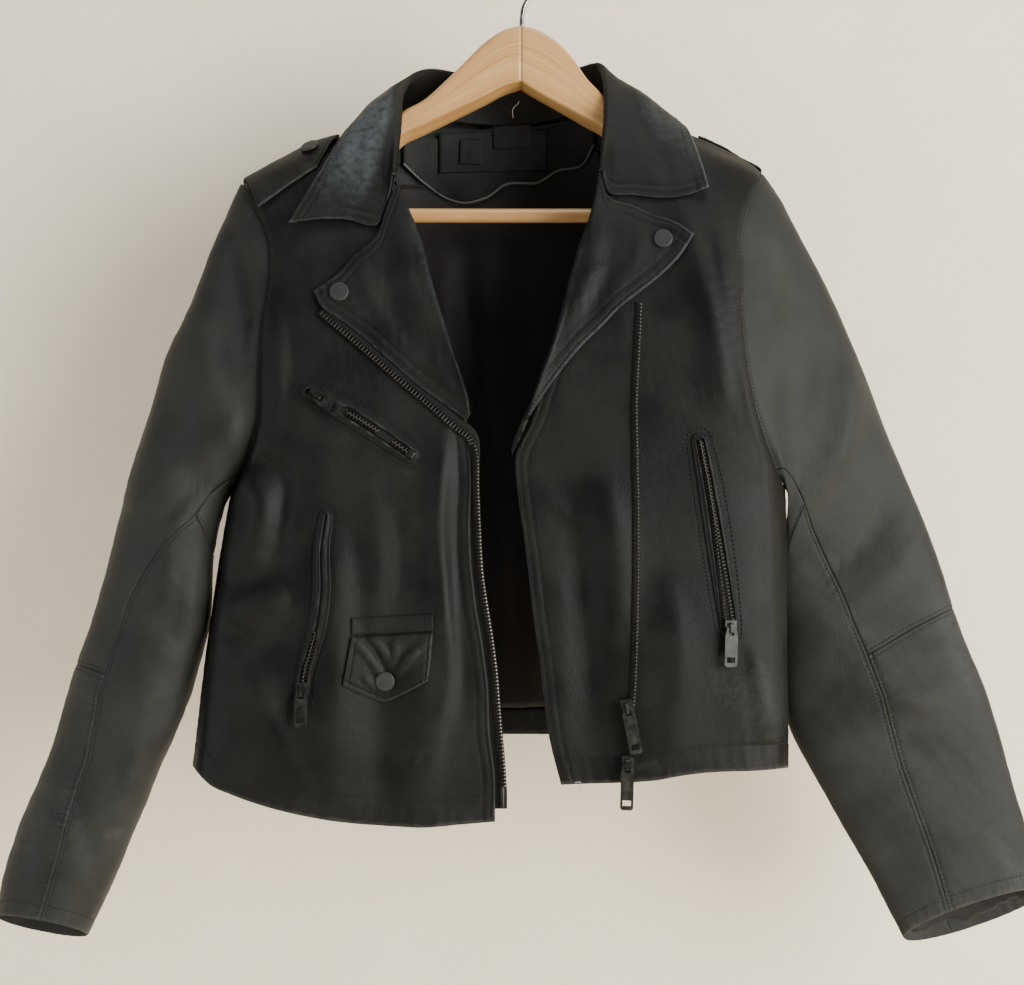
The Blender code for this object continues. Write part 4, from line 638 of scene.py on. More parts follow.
def sewn(frames, rows):
    """Height along topstitched borders: a groove at each line, and puckers across the sewn strip.

    A row is the border, its lines, a seed, and the puckers' height, the groove's depth, the puckers' length
    and the strip's reach. The puckers are a wave along the border whose strength and pace wander, strongest
    within the strip.
    """
    height = 0.0
    for border, lines, seed, pucker, groove, length, reach in rows:
        away, along = frames[border]
        for line in lines:
            height = height - groove * bell(away - line, 0.9)
        strength = 0.45 * pucker * np.clip(0.55 + 0.6 * wave(along / 23, seed), 0.05, 1.2)
        phase = along / length * 2 * math.pi + 1.6 * wave(along / 14, seed + 1)
        shape = np.abs(np.sin(phase / 2)) * 2 - 1.2
        height = height + strength * shape * bell(away - 0.45 * reach, 0.62 * reach)
    return height


def fade_in(frames, names, length):
    """Nought at the named borders, rising smoothly to one at the given distance from them."""
    held = 1.0
    for name in names:
        share = np.clip(frames[name][0] / length, 0, 1)
        held = held * share * share * (3 - 2 * share)
    return held


def raised(grid, height):
    return grid + grid_normals(grid) * height[..., None]


def numbered(rows, columns):
    return np.arange(rows * columns).reshape(rows, columns)


def shell_faces(rows, columns):
    """Four-cornered faces of a closed wall: outer grid, inner grid, and the rim round both."""
    index = numbered(rows, columns)
    other = index + rows * columns
    ring = np.concatenate([index[0, :-1], index[:-1, -1], index[-1, :0:-1], index[:0:-1, 0]])
    below = ring + rows * columns
    return np.concatenate([
        np.stack([index[:-1, :-1], index[:-1, 1:], index[1:, 1:], index[1:, :-1]], axis=-1).reshape(-1, 4),
        np.stack([other[:-1, :-1], other[1:, :-1], other[1:, 1:], other[:-1, 1:]], axis=-1).reshape(-1, 4),
        np.stack([np.roll(ring, -1), ring, below, np.roll(below, -1)], axis=-1),
    ])


def ring_faces(index):
    """Four-cornered faces between rows of point numbers, each row closed into a ring."""
    after = np.roll(index, -1, axis=1)
    return np.stack([index[:-1], after[:-1], after[1:], index[1:]], axis=-1).reshape(-1, 4)


def outward(points, faces):
    """The faces, turned round where together they would hold a volume below nought."""
    first = points[faces[:, 0]]
    volume = sum(
        np.einsum("ij,ij->i", first, np.cross(points[faces[:, at]], points[faces[:, at + 1]])).sum()
        for at in (1, 2)
    )
    return faces if volume > 0 else faces[:, ::-1]


def closed_wall(outer, inner):
    """Points and faces of a tube's wall: both grids' columns run round, and rims close its two ends."""
    rows, columns = outer.shape[:2]
    points = np.concatenate([outer, inner[::-1]]).reshape(-1, 3)
    index = numbered(2 * rows, columns)
    return points, outward(points, ring_faces(np.concatenate([index, index[:1]])))


def capped(grid):
    """Points and faces of a rod: each row of the grid is a ring, and flat faces close its two ends."""
    points, index = grid.reshape(-1, 3), numbered(*grid.shape[:2])
    plain = ring_faces(index)
    faces = outward(points, plain)
    caps = [index[0][::-1].tolist(), index[-1].tolist()]
    return points, faces.tolist() + (caps if faces is plain else [face[::-1] for face in caps])


def mesh_piece(name, points, faces, look, slot, nodes=(), marks=None, flat_map=None):
    """A piece from points in millimetres; marks are numbers per point, flat_map places on the cut cloth."""
    mesh = bpy.data.meshes.new(name)
    faces = faces if isinstance(faces, list) else faces.tolist()
    mesh.from_pydata((points * MM).tolist(), [], faces)
    mesh.materials.append(finish(look))
    for mark, values in (marks or {}).items():
        layer = mesh.attributes.new(mark, "FLOAT", "POINT")
        layer.data.foreach_set("value", np.asarray(values, np.float32))
    if flat_map is not None:
        corners = np.empty(len(mesh.loops), np.int32)
        mesh.loops.foreach_get("vertex_index", corners)
        layer = mesh.uv_layers.new(name="cut")
        layer.data.foreach_set("uv", (flat_map[corners] * MM).astype(np.float32).ravel())
    mesh.shade_smooth()
    made = bpy.data.objects.new(name, mesh)
    bpy.context.scene.collection.objects.link(made)
    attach(made, BODY)
    if nodes:
        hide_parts(*nodes)
    return made


def wall(name, grid, thickness, look, slot, nodes=(), rub=None, drop=0.7, inward=True):
    """A piece of cloth: the grid is its outer face, its edges are rounded, and the wall lies behind it."""
    normals = grid_normals(grid)
    frames = borders(grid)
    edge = drop * bell(np.minimum.reduce([away for away, _ in frames.values()]), 0.75)
    outer = grid - normals * edge[..., None]
    inner = grid - normals * (thickness - 0.4 * edge)[..., None]
    if not inward:
        outer, inner = outer + normals * thickness, inner + normals * thickness
    points = np.concatenate([outer.reshape(-1, 3), inner.reshape(-1, 3)])
    rub = np.zeros(grid.shape[:2]) if rub is None else np.clip(rub, 0, 1)
    lengths = np.stack([frames["left"][0], frames["bottom"][0]], axis=-1).reshape(-1, 2)
    made = mesh_piece(
        name, points, shell_faces(*grid.shape[:2]), look, slot, nodes,
        marks={"rub": np.concatenate([rub.ravel(), 0.4 * rub.ravel()])},
        flat_map=np.concatenate([lengths, lengths]),
    )
    return made, outer, normals


def slab(name, under, thickness, look, slot, nodes=(), rub=None, drop=0.3):
    """A flat piece on a panel: its underside's grid, with the thickness raised towards the eye."""
    turned_round = toward_eye(under)
    rub = rub if rub is None or turned_round is under else rub[:, ::-1]
    made, outer, normals = wall(name, turned_round, thickness, look, slot, nodes, rub, drop, inward=False)
    return made, outer, normals, turned_round


def declare(grid):
    """Works out the width, length and area, in metres, of the cut that its grid is made from, and does not
    keep them.
    """
    frames = borders(grid)
    width, length = frames["left"][0].max() * MM, frames["bottom"][0].max() * MM
    first = np.cross(grid[:-1, 1:] - grid[:-1, :-1], grid[1:, :-1] - grid[:-1, :-1])
    second = np.cross(grid[1:, :-1] - grid[1:, 1:], grid[:-1, 1:] - grid[1:, 1:])
    area = (np.linalg.norm(first, axis=-1) + np.linalg.norm(second, axis=-1)).sum() / 2 * MM * MM
    area = float(np.clip(area, 0.3 * width * length, width * length))


def panel(name, grid, thickness, look, slot, rub, seams, group, drop=0.7, trim=4.0, inward=True):
    """A leather piece in its node's place: its wall and its rows of stitches; its flat size is worked out but
    not kept.

    A row of stitches is a border, a grid line, and where it isn't sewn all along, which of its points it has.
    """
    made, outer, normals = wall(name + "_leather", grid, thickness, look, slot, [name], rub, drop, inward)
    for border, line, *sewn_part in seams:
        places, ways = run_at(outer, normals, border, line)
        part = sewn_part[0] if sewn_part else slice(None)
        thread(places[part], ways[part], group, trim)
    declare(grid)


class Ground:
    """A panel's outer face, found from where its points are seen."""

    def __init__(self, grid, facing=-1.0):
        self.grid = grid
        self.normals = grid_normals(grid)
        self.view = seen(grid)
        self.facing = facing

    def locate(self, points):
        """Row and column, with fractions, at which points as seen lie, and how far off the nearest is.

        The start is the nearest of every few points, and Newton's steps on the cell's own corners follow.
        """
        flat = np.asarray(points, float).reshape(-1, 2)
        stride = 5
        coarse = self.view[::stride, ::stride]
        away = np.where(self.normals[::stride, ::stride, 1] * self.facing > 0.05, 0.0, 400.0)
        rows, columns = self.view.shape[:2]
        start = np.empty(len(flat), int)
        for part in np.array_split(np.arange(len(flat)), max(1, len(flat) // 4000)):
            gap = np.linalg.norm(flat[part][:, None] - coarse.reshape(-1, 2)[None], axis=-1)
            start[part] = (gap + away.ravel()[None]).argmin(axis=1)
        row = (start // coarse.shape[1] * stride).astype(float)
        column = (start % coarse.shape[1] * stride).astype(float)
        for _ in range(14):
            (low, right, up, far), r, c = self.corners(self.view, row, column)
            miss = flat - (low * (1 - c) + right * c) * (1 - r) - (up * (1 - c) + far * c) * r
            by_row = (up - low) * (1 - c) + (far - right) * c
            by_column = (right - low) * (1 - r) + (far - up) * r
            size = by_row[:, 0] * by_column[:, 1] - by_row[:, 1] * by_column[:, 0]
            size = np.where(np.abs(size) < 1e-9, 1e-9, size)
            move_row = (miss[:, 0] * by_column[:, 1] - miss[:, 1] * by_column[:, 0]) / size
            move_column = (by_row[:, 0] * miss[:, 1] - by_row[:, 1] * miss[:, 0]) / size
            row = np.clip(row + np.clip(move_row, -4, 4), 0, rows - 1)
            column = np.clip(column + np.clip(move_column, -4, 4), 0, columns - 1)
        return row, column, np.linalg.norm(flat - self.read(self.view, row, column), axis=-1)

    @staticmethod
    def corners(layer, row, column):
        rows, columns = layer.shape[:2]
        first = np.clip(np.floor(row).astype(int), 0, rows - 2)
        second = np.clip(np.floor(column).astype(int), 0, columns - 2)
        four = [layer[first + up, second + right] for up in (0, 1) for right in (0, 1)]
        return four, (row - first)[:, None], (column - second)[:, None]

    def read(self, layer, row, column):
        (low, right, up, far), r, c = self.corners(layer, row, column)
        return (low * (1 - c) + right * c) * (1 - r) + (up * (1 - c) + far * c) * r

    def depth(self, points):
        """Depth of the panel at points as seen, or of the plain front where there is no panel."""
        points = np.asarray(points, float)
        row, column, miss = self.locate(points)
        plain = front_depth(points[..., 0], points[..., 1]).reshape(-1)
        found = self.read(self.grid, row, column)[:, 1]
        return np.where(miss < 0.6, np.minimum(plain, found), plain).reshape(points.shape[:-1])

    def under(self, points, lift):
        """True places of points as seen, raised off the panel along its normal towards the eye."""
        points = np.asarray(points, float)
        row, column, _ = self.locate(points)
        normal = self.read(self.normals, row, column)
        normal = unit(normal * np.where(normal[:, 1:2] > 0, -1.0, 1.0))
        lifts = np.broadcast_to(lift, points.shape[:-1]).reshape(-1, 1)
        place = self.read(self.grid, row, column) + normal * lifts
        return place.reshape(points.shape[:-1] + (3,))

    def normal(self, points):
        return self.under(points, 1.0) - self.under(points, 0.0)


# Where thread shows: runs of places and normals, filled as the cloth is made and sewn at the end
SEAMS = []


def thread(places, normals, group, trim=4.0):
    """Keeps a run of topstitching for the sewing, short of the cloth's edges by the trim."""
    SEAMS.append((np.asarray(places), np.asarray(normals), group, trim))


def run_at(outer, normals, border, index):
    """The row or column of the cloth that lies this many lines in from a border."""
    pick = {
        "left": (slice(None), index), "right": (slice(None), -1 - index),
        "bottom": (index, slice(None)), "top": (-1 - index, slice(None)),
    }[border]
    return outer[pick], normals[pick]


def band(path, widths, count, across):
    """Grid as seen of a strip along a path: from one side to the other, at its own half widths."""
    line = even(path, shares(count))
    way = unit(np.gradient(line, axis=0))
    side = np.stack([-way[:, 1], way[:, 0]], axis=1)[:, None]
    reach = np.broadcast_to(widths, (count + 1,))[:, None, None]
    return line[:, None] + side * np.linspace(-1, 1, across + 1)[None, :, None] * reach


# Finishes


def colour(code):
    """Linear red, green, blue and alpha of an sRGB hex colour."""
    parts = [int(code[place : place + 2], 16) / 255 for place in (1, 3, 5)]
    linear = [part / 12.92 if part <= 0.04045 else ((part + 0.055) / 1.055) ** 2.4 for part in parts]
    return (*linear, 1.0)


def swatch(key):
    """A colour from its sRGB hex code, or from the name of one of the panel's colours."""
    return colour(key) if key.startswith("#") else tuple(getattr(bpy.context.scene.jacket_colours, key))


def add(tree, kind, inputs=None, **settings):
    """A new node with its settings and its inputs."""
    made = tree.nodes.new("ShaderNode" + kind)
    for setting, value in settings.items():
        setattr(made, setting, value)
    feed(tree, made, inputs or {})
    return made


def feed(tree, node, inputs):
    """Sets a node's sockets to values, or links them to other nodes' sockets."""
    for socket, value in inputs.items():
        if isinstance(value, bpy.types.NodeSocket):
            tree.links.new(value, node.inputs[socket])
        else:
            node.inputs[socket].default_value = value


def noise(tree, vector, scale, detail, **more):
    return add(tree, "TexNoise", {"Vector": vector, "Scale": scale, "Detail": detail, **more}).outputs["Fac"]


def cells(tree, vector, size, feature):
    settings = {"Vector": vector, "Scale": per_metre(size)}
    return add(tree, "TexVoronoi", settings, feature=feature).outputs["Distance"]


def maths(tree, operation, *values):
    return add(tree, "Math", dict(enumerate(values)), operation=operation).outputs[0]


def spread(tree, value, low, high, to_low=0.0, to_high=1.0):
    """A value from one range carried over to another, and kept within it."""
    limits = {"From Min": low, "From Max": high, "To Min": to_low, "To Max": to_high}
    return add(tree, "MapRange", {"Value": value, **limits}).outputs["Result"]


def mixed(tree, share, first, second):
    # the colour sockets of a Mix node stand behind its number sockets of the same name
    return add(tree, "Mix", {"Factor": share, 6: first, 7: second}, data_type="RGBA").outputs[2]


def bumped(tree, height, strength, depth):
    """A bump of the given strength, and depth in millimetres."""
    inputs = {"Height": height, "Strength": strength, "Distance": depth * MM}
    return add(tree, "Bump", inputs).outputs["Normal"]


def ramp(tree, value, stops):
    """A colour ramp through stops of (place, colour)."""
    made = add(tree, "ValToRGB", {"Fac": value})
    elements = made.color_ramp.elements
    elements[0].position, elements[0].color = stops[0]
    elements[1].position, elements[1].color = stops[-1]
    for place, tint in stops[1:-1]:
        elements.new(place).color = tint
    return made.outputs["Color"]


def finish_named(name, **shader):
    """A new material with its tree, and the numbers that are the same all over set on the shader itself."""
    made = bpy.data.materials.new(name)
    made.use_nodes = True
    principled = made.node_tree.nodes["Principled BSDF"]
    for socket, value in shader.items():
        principled.inputs[socket.replace("_", " ")].default_value = value
    return made, made.node_tree, principled


def per_metre(size):
    """A texture's scale, for detail of the given size in millimetres."""
    return 1000.0 / size


def leather(name, base, light, worn, roughness, pebble, crackle):
    """Black cowhide, drum dyed, satin finished: fine pebbles, a soft sheen, and grey where it has rubbed."""
    made, tree, shader = finish_named(name, IOR=1.48, Specular_IOR_Level=0.17)
    place = add(tree, "TexCoord").outputs["Object"]
    rub = add(tree, "Attribute", attribute_name="rub").outputs["Fac"]
    pebbles = cells(tree, place, pebble, "F1")
    lines = cells(tree, place, 3.4 * pebble, "DISTANCE_TO_EDGE")
    fine = noise(tree, place, per_metre(5.0), 6.0)
    broad = noise(tree, place, per_metre(46.0), 4.0)
    # what is rubbed shows on the crests of the pebbles first
    uneven = maths(tree, "MULTIPLY", rub, maths(tree, "MULTIPLY", fine, 1.7))
    ground = mixed(tree, spread(tree, broad, 0.36, 0.64), swatch(base), swatch(light))
    relief = maths(tree, "MULTIPLY", pebbles, -0.45)
    cracks = maths(tree, "MULTIPLY", spread(tree, lines, 0.0, 0.09), crackle)
    grain = maths(tree, "MULTIPLY", fine, 0.35)
    height = maths(tree, "ADD", maths(tree, "ADD", relief, cracks), grain)
    feed(tree, shader, {
        "Base Color": mixed(tree, spread(tree, uneven, 0.12, 0.85), ground, swatch(worn)),
        "Roughness": spread(tree, broad, 0.3, 0.7, roughness - 0.08, roughness + 0.1),
        "Normal": bumped(tree, height, 0.6, 0.5),
    })
    return made


def woven(name, tint, light, spacing, roughness, sheen):
    """Plain weave: two sets of threads crossing on the cut cloth, at the spacing given in millimetres."""
    made, tree, shader = finish_named(
        name, Roughness=roughness, Sheen_Weight=sheen, Sheen_Roughness=0.45, Specular_IOR_Level=0.2
    )
    cut = add(tree, "UVMap", uv_map="cut").outputs["UV"]
    threads = {"Vector": cut, "Scale": per_metre(spacing) / 6.283, "Distortion": 0.6}
    ways = [add(tree, "TexWave", threads, bands_direction=way).outputs["Fac"] for way in ("X", "Y")]
    cloud = noise(tree, cut, per_metre(38.0), 3.0)
    feed(tree, shader, {
        "Base Color": ramp(tree, cloud, ((0.3, swatch(tint)), (0.75, swatch(light)))),
        "Normal": bumped(tree, maths(tree, "MULTIPLY", *ways), 0.14, 0.3),
    })
    return made


def timber(name, flecks):
    """Beech, planed and lacquered: fibres drawn out along the cut, broad bands, pores, a thin clear coat."""
    made, tree, shader = finish_named(name, Coat_Weight=0.35, Coat_Roughness=0.22, Roughness=0.46)
    cut = add(tree, "UVMap", uv_map="cut").outputs["UV"]

    def drawn_out(along, across):
        return add(tree, "Mapping", {"Vector": cut, "Scale": (along, across, 1.0)}).outputs["Vector"]

    # fibres are about 1 mm wide and 60 mm long, and the yearly bands 6 mm apart
    fibre = noise(tree, drawn_out(18.0, 420.0), 1.0, 7.0, Roughness=0.6)
    bands = noise(tree, drawn_out(6.0, 90.0), 1.0, 3.0, Distortion=0.7)
    wood = ramp(tree, maths(tree, "MULTIPLY_ADD", fibre, 0.45, bands), (
        (0.45, swatch("wood_dark")), (0.72, swatch("wood")), (0.95, swatch("wood_light")),
    ))
    pores = noise(tree, drawn_out(75.0, 620.0), 1.0, 2.0)
    dark = spread(tree, pores, 0.70 - flecks, 0.80 - flecks, to_high=0.6)
    feed(tree, shader, {
        "Base Color": mixed(tree, dark, wood, colour("#8a5f3a")),
        "Normal": bumped(tree, fibre, 0.25, 0.3),
    })
    return made


def metal(name, tint, scuffed, roughness, metallic=1.0, polish_and_glint_colour="#8d8b84"):
    """Die-cast or drawn metal with a plated or painted face: fine scuffs, and paler where it has worn and
    where a glint is painted.
    """
    made, tree, shader = finish_named(name, Metallic=metallic)
    scuff = noise(tree, add(tree, "TexCoord").outputs["Object"], per_metre(5.0), 4.0)
    # what stands proud, as the heads of the teeth, is polished by use, and is painted paler as a glint as
    # well
    polish_and_glint_mask = add(tree, "Attribute", attribute_name="rub").outputs["Fac"]
    plate = ramp(tree, scuff, ((0.42, colour(tint)), (0.68, colour(scuffed))))
    feed(tree, shader, {
        "Base Color": mixed(tree, polish_and_glint_mask, plate, colour(polish_and_glint_colour)),
        "Roughness": spread(tree, scuff, 0.3, 0.7, roughness, roughness + 0.18),
        "Normal": bumped(tree, scuff, 0.06, 0.2),
    })
    return made


# Each finish: how it is made, and what that takes. Leather: base and paler colour, worn colour, roughness,
# size of its pebbles in millimetres, depth of its cracks. Cloth: two colours, spacing of its threads in
# millimetres, roughness, sheen. Metal: two colours, roughness, how metallic it is, and its polished colour,
# which also paints the glints on the teeth
FINISHES = {
    "body": (leather, "cowhide_body", "leather", "leather_light", "worn", 0.57, 1.5, 0.03),
    # the sleeves are the body's hide, painted lighter grey: a painted sheen of the side light
    "sleeve": (leather, "cowhide_sleeves", "sleeve", "sleeve_light", "worn", 0.60, 1.5, 0.02),
    # the collar's worn colour is blue-grey: wear, and a painted sheen along the roll
    "collar": (leather, "cowhide_collar_worn", "leather", "leather_light", "collar_worn", 0.53, 1.5, 0.10),
    # the same hide, skived thin and pressed round a cord, so that it is smoother and shinier. Its grey
    # colours are a painted highlight along the cord
    "piping": (leather, "cowhide_piping", "worn", "#545552", "worn", 0.34, 1.2, 0.0),
    # viscose lining, woven at 0.3 mm, drawn three times as coarse to show
    "lining": (woven, "viscose_lining", "lining", "lining_light", 0.9, 0.62, 0.25),
    "tape": (woven, "polyester_zip_tape", "#0e0e0d", "#141413", 0.9, 0.8, 0.05),
    # satin, woven finer than the lining and left without words
    "label": (woven, "satin_label", "#0b0a09", "#11100e", 0.7, 0.65, 0.0),
    "thread": (woven, "bonded_thread", "#0c0c0b", "#131312", 0.6, 0.7, 0.05),
    "pale_thread": (woven, "waste_thread", "#a8a49c", "#c4c0b8", 0.6, 0.7, 0.3),
    "beech": (timber, "beech_plain", 0.0),
    "flecked_beech": (timber, "beech_flecked", 0.045),
    "gunmetal": (metal, "gunmetal_plate", "#353634", "#464744", 0.38),
    "painted": (metal, "painted_zinc", "#161615", "#242422", 0.4, 0.6),
    # the teeth's polished colour is also a painted glint on their heads
    "teeth": (metal, "gunmetal_teeth", "#222220", "#302f2d", 0.34, 1.0, "#8f8b81"),
    "stop": (metal, "worn_stop", "#2b2b29", "#3b3a37", 0.42),
    "enamel": (metal, "matt_black_enamel", "#111211", "#1a1b1a", 0.55, 0.0),
    "wire": (metal, "drawn_steel_wire", "#8c8d8e", "#b9babb", 0.2),
}


@functools.cache
def finish(key):
    maker, *settings = FINISHES[key]
    return maker(*settings)


# Cloth panels

# Thickness of the leather, and of pieces made of two layers pressed together
LEATHER = 1.4
DOUBLED = 2.2

# Distances of grid lines from an edge: free edges with two rows of stitches, hems, cuffs, sewn seams, plain
# borders. Beside each, where its rows of stitches lie, and which of its grid lines those are
TWIN_EDGE = (0, 0.7, 1.6, 2.4, 3.2, 4.0, 5.4, 7.0, 8.6, 9.4, 10.2, 12.0)
TWIN_LINES, TWIN_AT = (3.2, 9.4), (4, 9)
TWIN_REACH = 1.1 * TWIN_LINES[-1]
HEM_EDGE = (0, 0.7, 1.8, 3.6, 6.0, 9.0, 12.0, 15.0, 17.4, 18.3, 19.2, 20.1, 22.0)
HEM_LINES, HEM_AT = (19.2,), 10
CUFF_EDGE = (0, 0.7, 1.8, 3.6, 5.6, 7.6, 9.4, 10.3, 11.2, 12.1, 14.0)
CUFF_LINES, CUFF_AT = (11.2,), 8
STITCHED_SEAM = (0, 0.7, 1.6, 2.4, 3.2, 4.0, 5.6)
SEAM_LINES, SEAM_AT = (3.2,), 4
PLAIN_SEAM = (0, 0.7, 1.6)

# Creases of the leather, finer than the frame's broad folds: half width, height, then across and down of
# the points that each runs through
FRONT_CREASES = {
    "right": (
        (5, 1.9, -59, 386, -66, 430, -66, 459, -61, 500, -58, 545, -56, 580, -66, 630, -73, 662),
        (7, -1.3, -47, 400, -53, 450, -52, 510, -48, 560, -47, 610),
        (7, -2.2, -218, 404, -190, 419, -191, 452, -198, 480, -212, 500, -240, 509),
        (6, 1.6, -214, 398, -183, 412, -182, 452, -188, 476),
        (8, 1.4, -228, 424, -210, 440, -212, 470, -226, 486),
        (7, -1.8, -243, 534, -228, 548, -206, 555, -188, 545, -181, 512),
        (6, 1.5, -243, 526, -226, 539, -206, 545, -193, 536),
        (8, 1.4, -236, 548, -212, 596, -192, 640, -178, 668),
        (8, -1.8, -230, 566, -206, 620, -186, 668),
        (9, 2.2, -151, 470, -148, 540, -150, 600, -152, 672),
        (7, -1.6, -134, 470, -128, 540, -130, 560),
        (8, 1.2, -82, 632, -62, 606, -58, 580),
        (6, 1.2, -196, 300, -192, 340, -196, 380),
        (5, -1.4, -190, 280, -184, 320, -188, 366),
        (7, 1.6, -120, 430, -114, 480, -118, 536),
        (4, -0.9, -100, 450, -96, 490, -99, 530),
        (5, 1.1, -240, 600, -214, 606, -190, 600),
        (4, -0.8, -244, 622, -220, 630, -196, 640),
    ),
    "left": (
        (9, 2.6, 126, 196, 137, 230, 146, 262, 156, 300, 165, 352),
        (6, -2.2, 140, 206, 150, 240, 160, 280, 170, 330, 176, 366),
        (8, 2.2, 152, 216, 166, 242, 178, 272, 186, 308, 196, 352),
        (9, 1.8, 66, 420, 74, 470, 78, 512, 74, 546),
        (7, -1.4, 40, 430, 50, 500, 56, 560, 60, 640),
        (8, 1.4, 28, 470, 34, 540, 40, 610),
        (6, 1.6, 186, 560, 196, 600, 202, 640),
        (5, -1.0, 176, 560, 184, 610, 190, 650),
        (7, 1.2, 118, 500, 126, 560, 120, 640),
        (5, 0.9, 20, 440, 44, 455, 70, 450),
        (5, -0.8, 60, 600, 90, 610, 120, 600),
    ),
}
BACK_CREASES = (
    (12, 3.5, -176, 300, -130, 400, -100, 520, -92, 600),
    (9, -2.5, -150, 250, -90, 330, -40, 430, -16, 520),
    (12, 3.0, 148, 300, 110, 400, 84, 520, 78, 600),
    (9, -2.5, 124, 250, 74, 330, 36, 430, 20, 500),
    (10, 2.4, -44, 420, -30, 500, -40, 610),
    (8, 2.2, -196, 470, -156, 496, -110, 504),
    (7, -1.8, -200, 486, -160, 516, -120, 524),
    (8, 2.2, 186, 450, 146, 480, 100, 488),
    (7, -1.8, 190, 470, 150, 500, 108, 508),
    (7, 1.6, -30, 200, 0, 214, 40, 200),
    (6, 1.4, -90, 180, -60, 196, -40, 214),
    (8, -1.6, 60, 560, 66, 600, 60, 630),
)
SLEEVE_CREASES = {
    "right": (
        (7, -3.6, -236, 214, -232, 244, -226, 284, -218, 322),
        (8, 2.4, -252, 280, -248, 330, -234, 372),
        (7, 2.0, -228, 378, -250, 398, -286, 424, -313, 462, -321, 500, -325, 548),
        (6, -1.8, -222, 404, -246, 420, -276, 448, -296, 484),
        (6, 1.6, -262, 438, -280, 470, -288, 512),
        (6, -1.4, -258, 470, -272, 510, -280, 560),
        (7, 1.6, -332, 470, -338, 520, -346, 560),
        (5, 1.2, -372, 600, -352, 606, -334, 602),
        (5, -1.0, -276, 580, -300, 592, -322, 590),
        (6, 1.4, -300, 600, -310, 650, -322, 700),
        (5, 1.0, -380, 690, -366, 700, -350, 704),
        (6, -1.0, -392, 640, -384, 680, -392, 730),
    ),
    "left": (
        (8, -2.6, 212, 214, 216, 260, 214, 320, 208, 372),
        (9, 2.2, 236, 240, 240, 300, 234, 360, 222, 404),
        (8, 1.8, 262, 330, 262, 380, 244, 430),
        (7, -1.4, 292, 400, 286, 446, 266, 480),
        (8, 1.6, 318, 470, 300, 500, 262, 520),
        (6, -1.2, 322, 500, 292, 524, 262, 540),
        (6, 1.2, 352, 600, 326, 608, 296, 600),
        (6, 1.0, 376, 640, 350, 650, 322, 646),
        (6, -0.9, 390, 690, 366, 700, 340, 698),
        (7, 1.0, 398, 640, 412, 690, 420, 730),
    ),
}
# The same kind of creases round the hidden side of each sleeve
SLEEVE_CREASES_BEHIND = {
    "right": (
        (9, -2.6, -232, 240, -240, 290, -236, 350), (9, 2.4, -262, 330, -256, 390, -240, 430),
        (8, -2.0, -322, 520, -296, 540, -264, 536), (8, 2.2, -336, 552, -306, 570, -272, 560),
        (7, -1.6, -352, 600, -326, 606, -296, 596), (9, 1.8, -300, 440, -286, 480, -262, 500),
        (7, 1.4, -384, 660, -362, 672, -340, 664),
    ),
    "left": (
        (9, -2.6, 222, 240, 232, 300, 228, 360), (9, 2.4, 250, 320, 250, 380, 236, 420),
        (8, -2.0, 322, 520, 292, 536, 262, 526), (8, 2.2, 336, 548, 300, 566, 268, 552),
        (7, -1.6, 354, 604, 324, 610, 296, 596), (9, 1.8, 300, 430, 284, 470, 262, 492),
        (7, 1.4, 384, 660, 362, 676, 336, 664),
    ),
}

# Where the finish has rubbed: half width, strength, then across and down of points
FRONT_RUBS = {
    "right": (
        (9, 0.35, -148, 384, -140, 392, -132, 398), (5, 0.4, -96, 416, -90, 420, -83, 421),
        (12, 0.30, -250, 590, -240, 620, -226, 645), (14, 0.25, -120, 650, -80, 655, -50, 640),
        (6, 0.35, -60, 500, -58, 545, -57, 570), (10, 0.22, -110, 630, -90, 640, -66, 640),
    ),
    "left": (
        (16, 0.55, 186, 568, 194, 600, 200, 626), (9, 0.35, 150, 560, 160, 590, 176, 610),
        (10, 0.3, 58, 540, 72, 546, 76, 560), (7, 0.35, 96, 648, 104, 652, 112, 652),
        (8, 0.25, 30, 470, 34, 500, 40, 530), (14, 0.22, 100, 600, 140, 620, 190, 630),
    ),
}
SLEEVE_RUBS = {
    "right": (
        (5, 0.35, -334, 708, -322, 708, -311, 707), (3, 0.4, -331, 709, -330, 710, -329, 711),
        (12, 0.4, -384, 640, -392, 690, -400, 730), (8, 0.4, -360, 680, -352, 720, -344, 750),
        (16, 0.25, -330, 540, -345, 580, -360, 620),
    ),
    "left": (
        (12, 0.35, 330, 500, 350, 560, 372, 610), (10, 0.35, 372, 700, 390, 730, 402, 760),
        (14, 0.25, 260, 300, 290, 380, 310, 430),
    ),
}


def bent(view, rows):
    """Height of the broad folds that the frame has too."""
    return creased(view, [(row[6] * 1.1, row[7], *row[:6]) for row in rows])


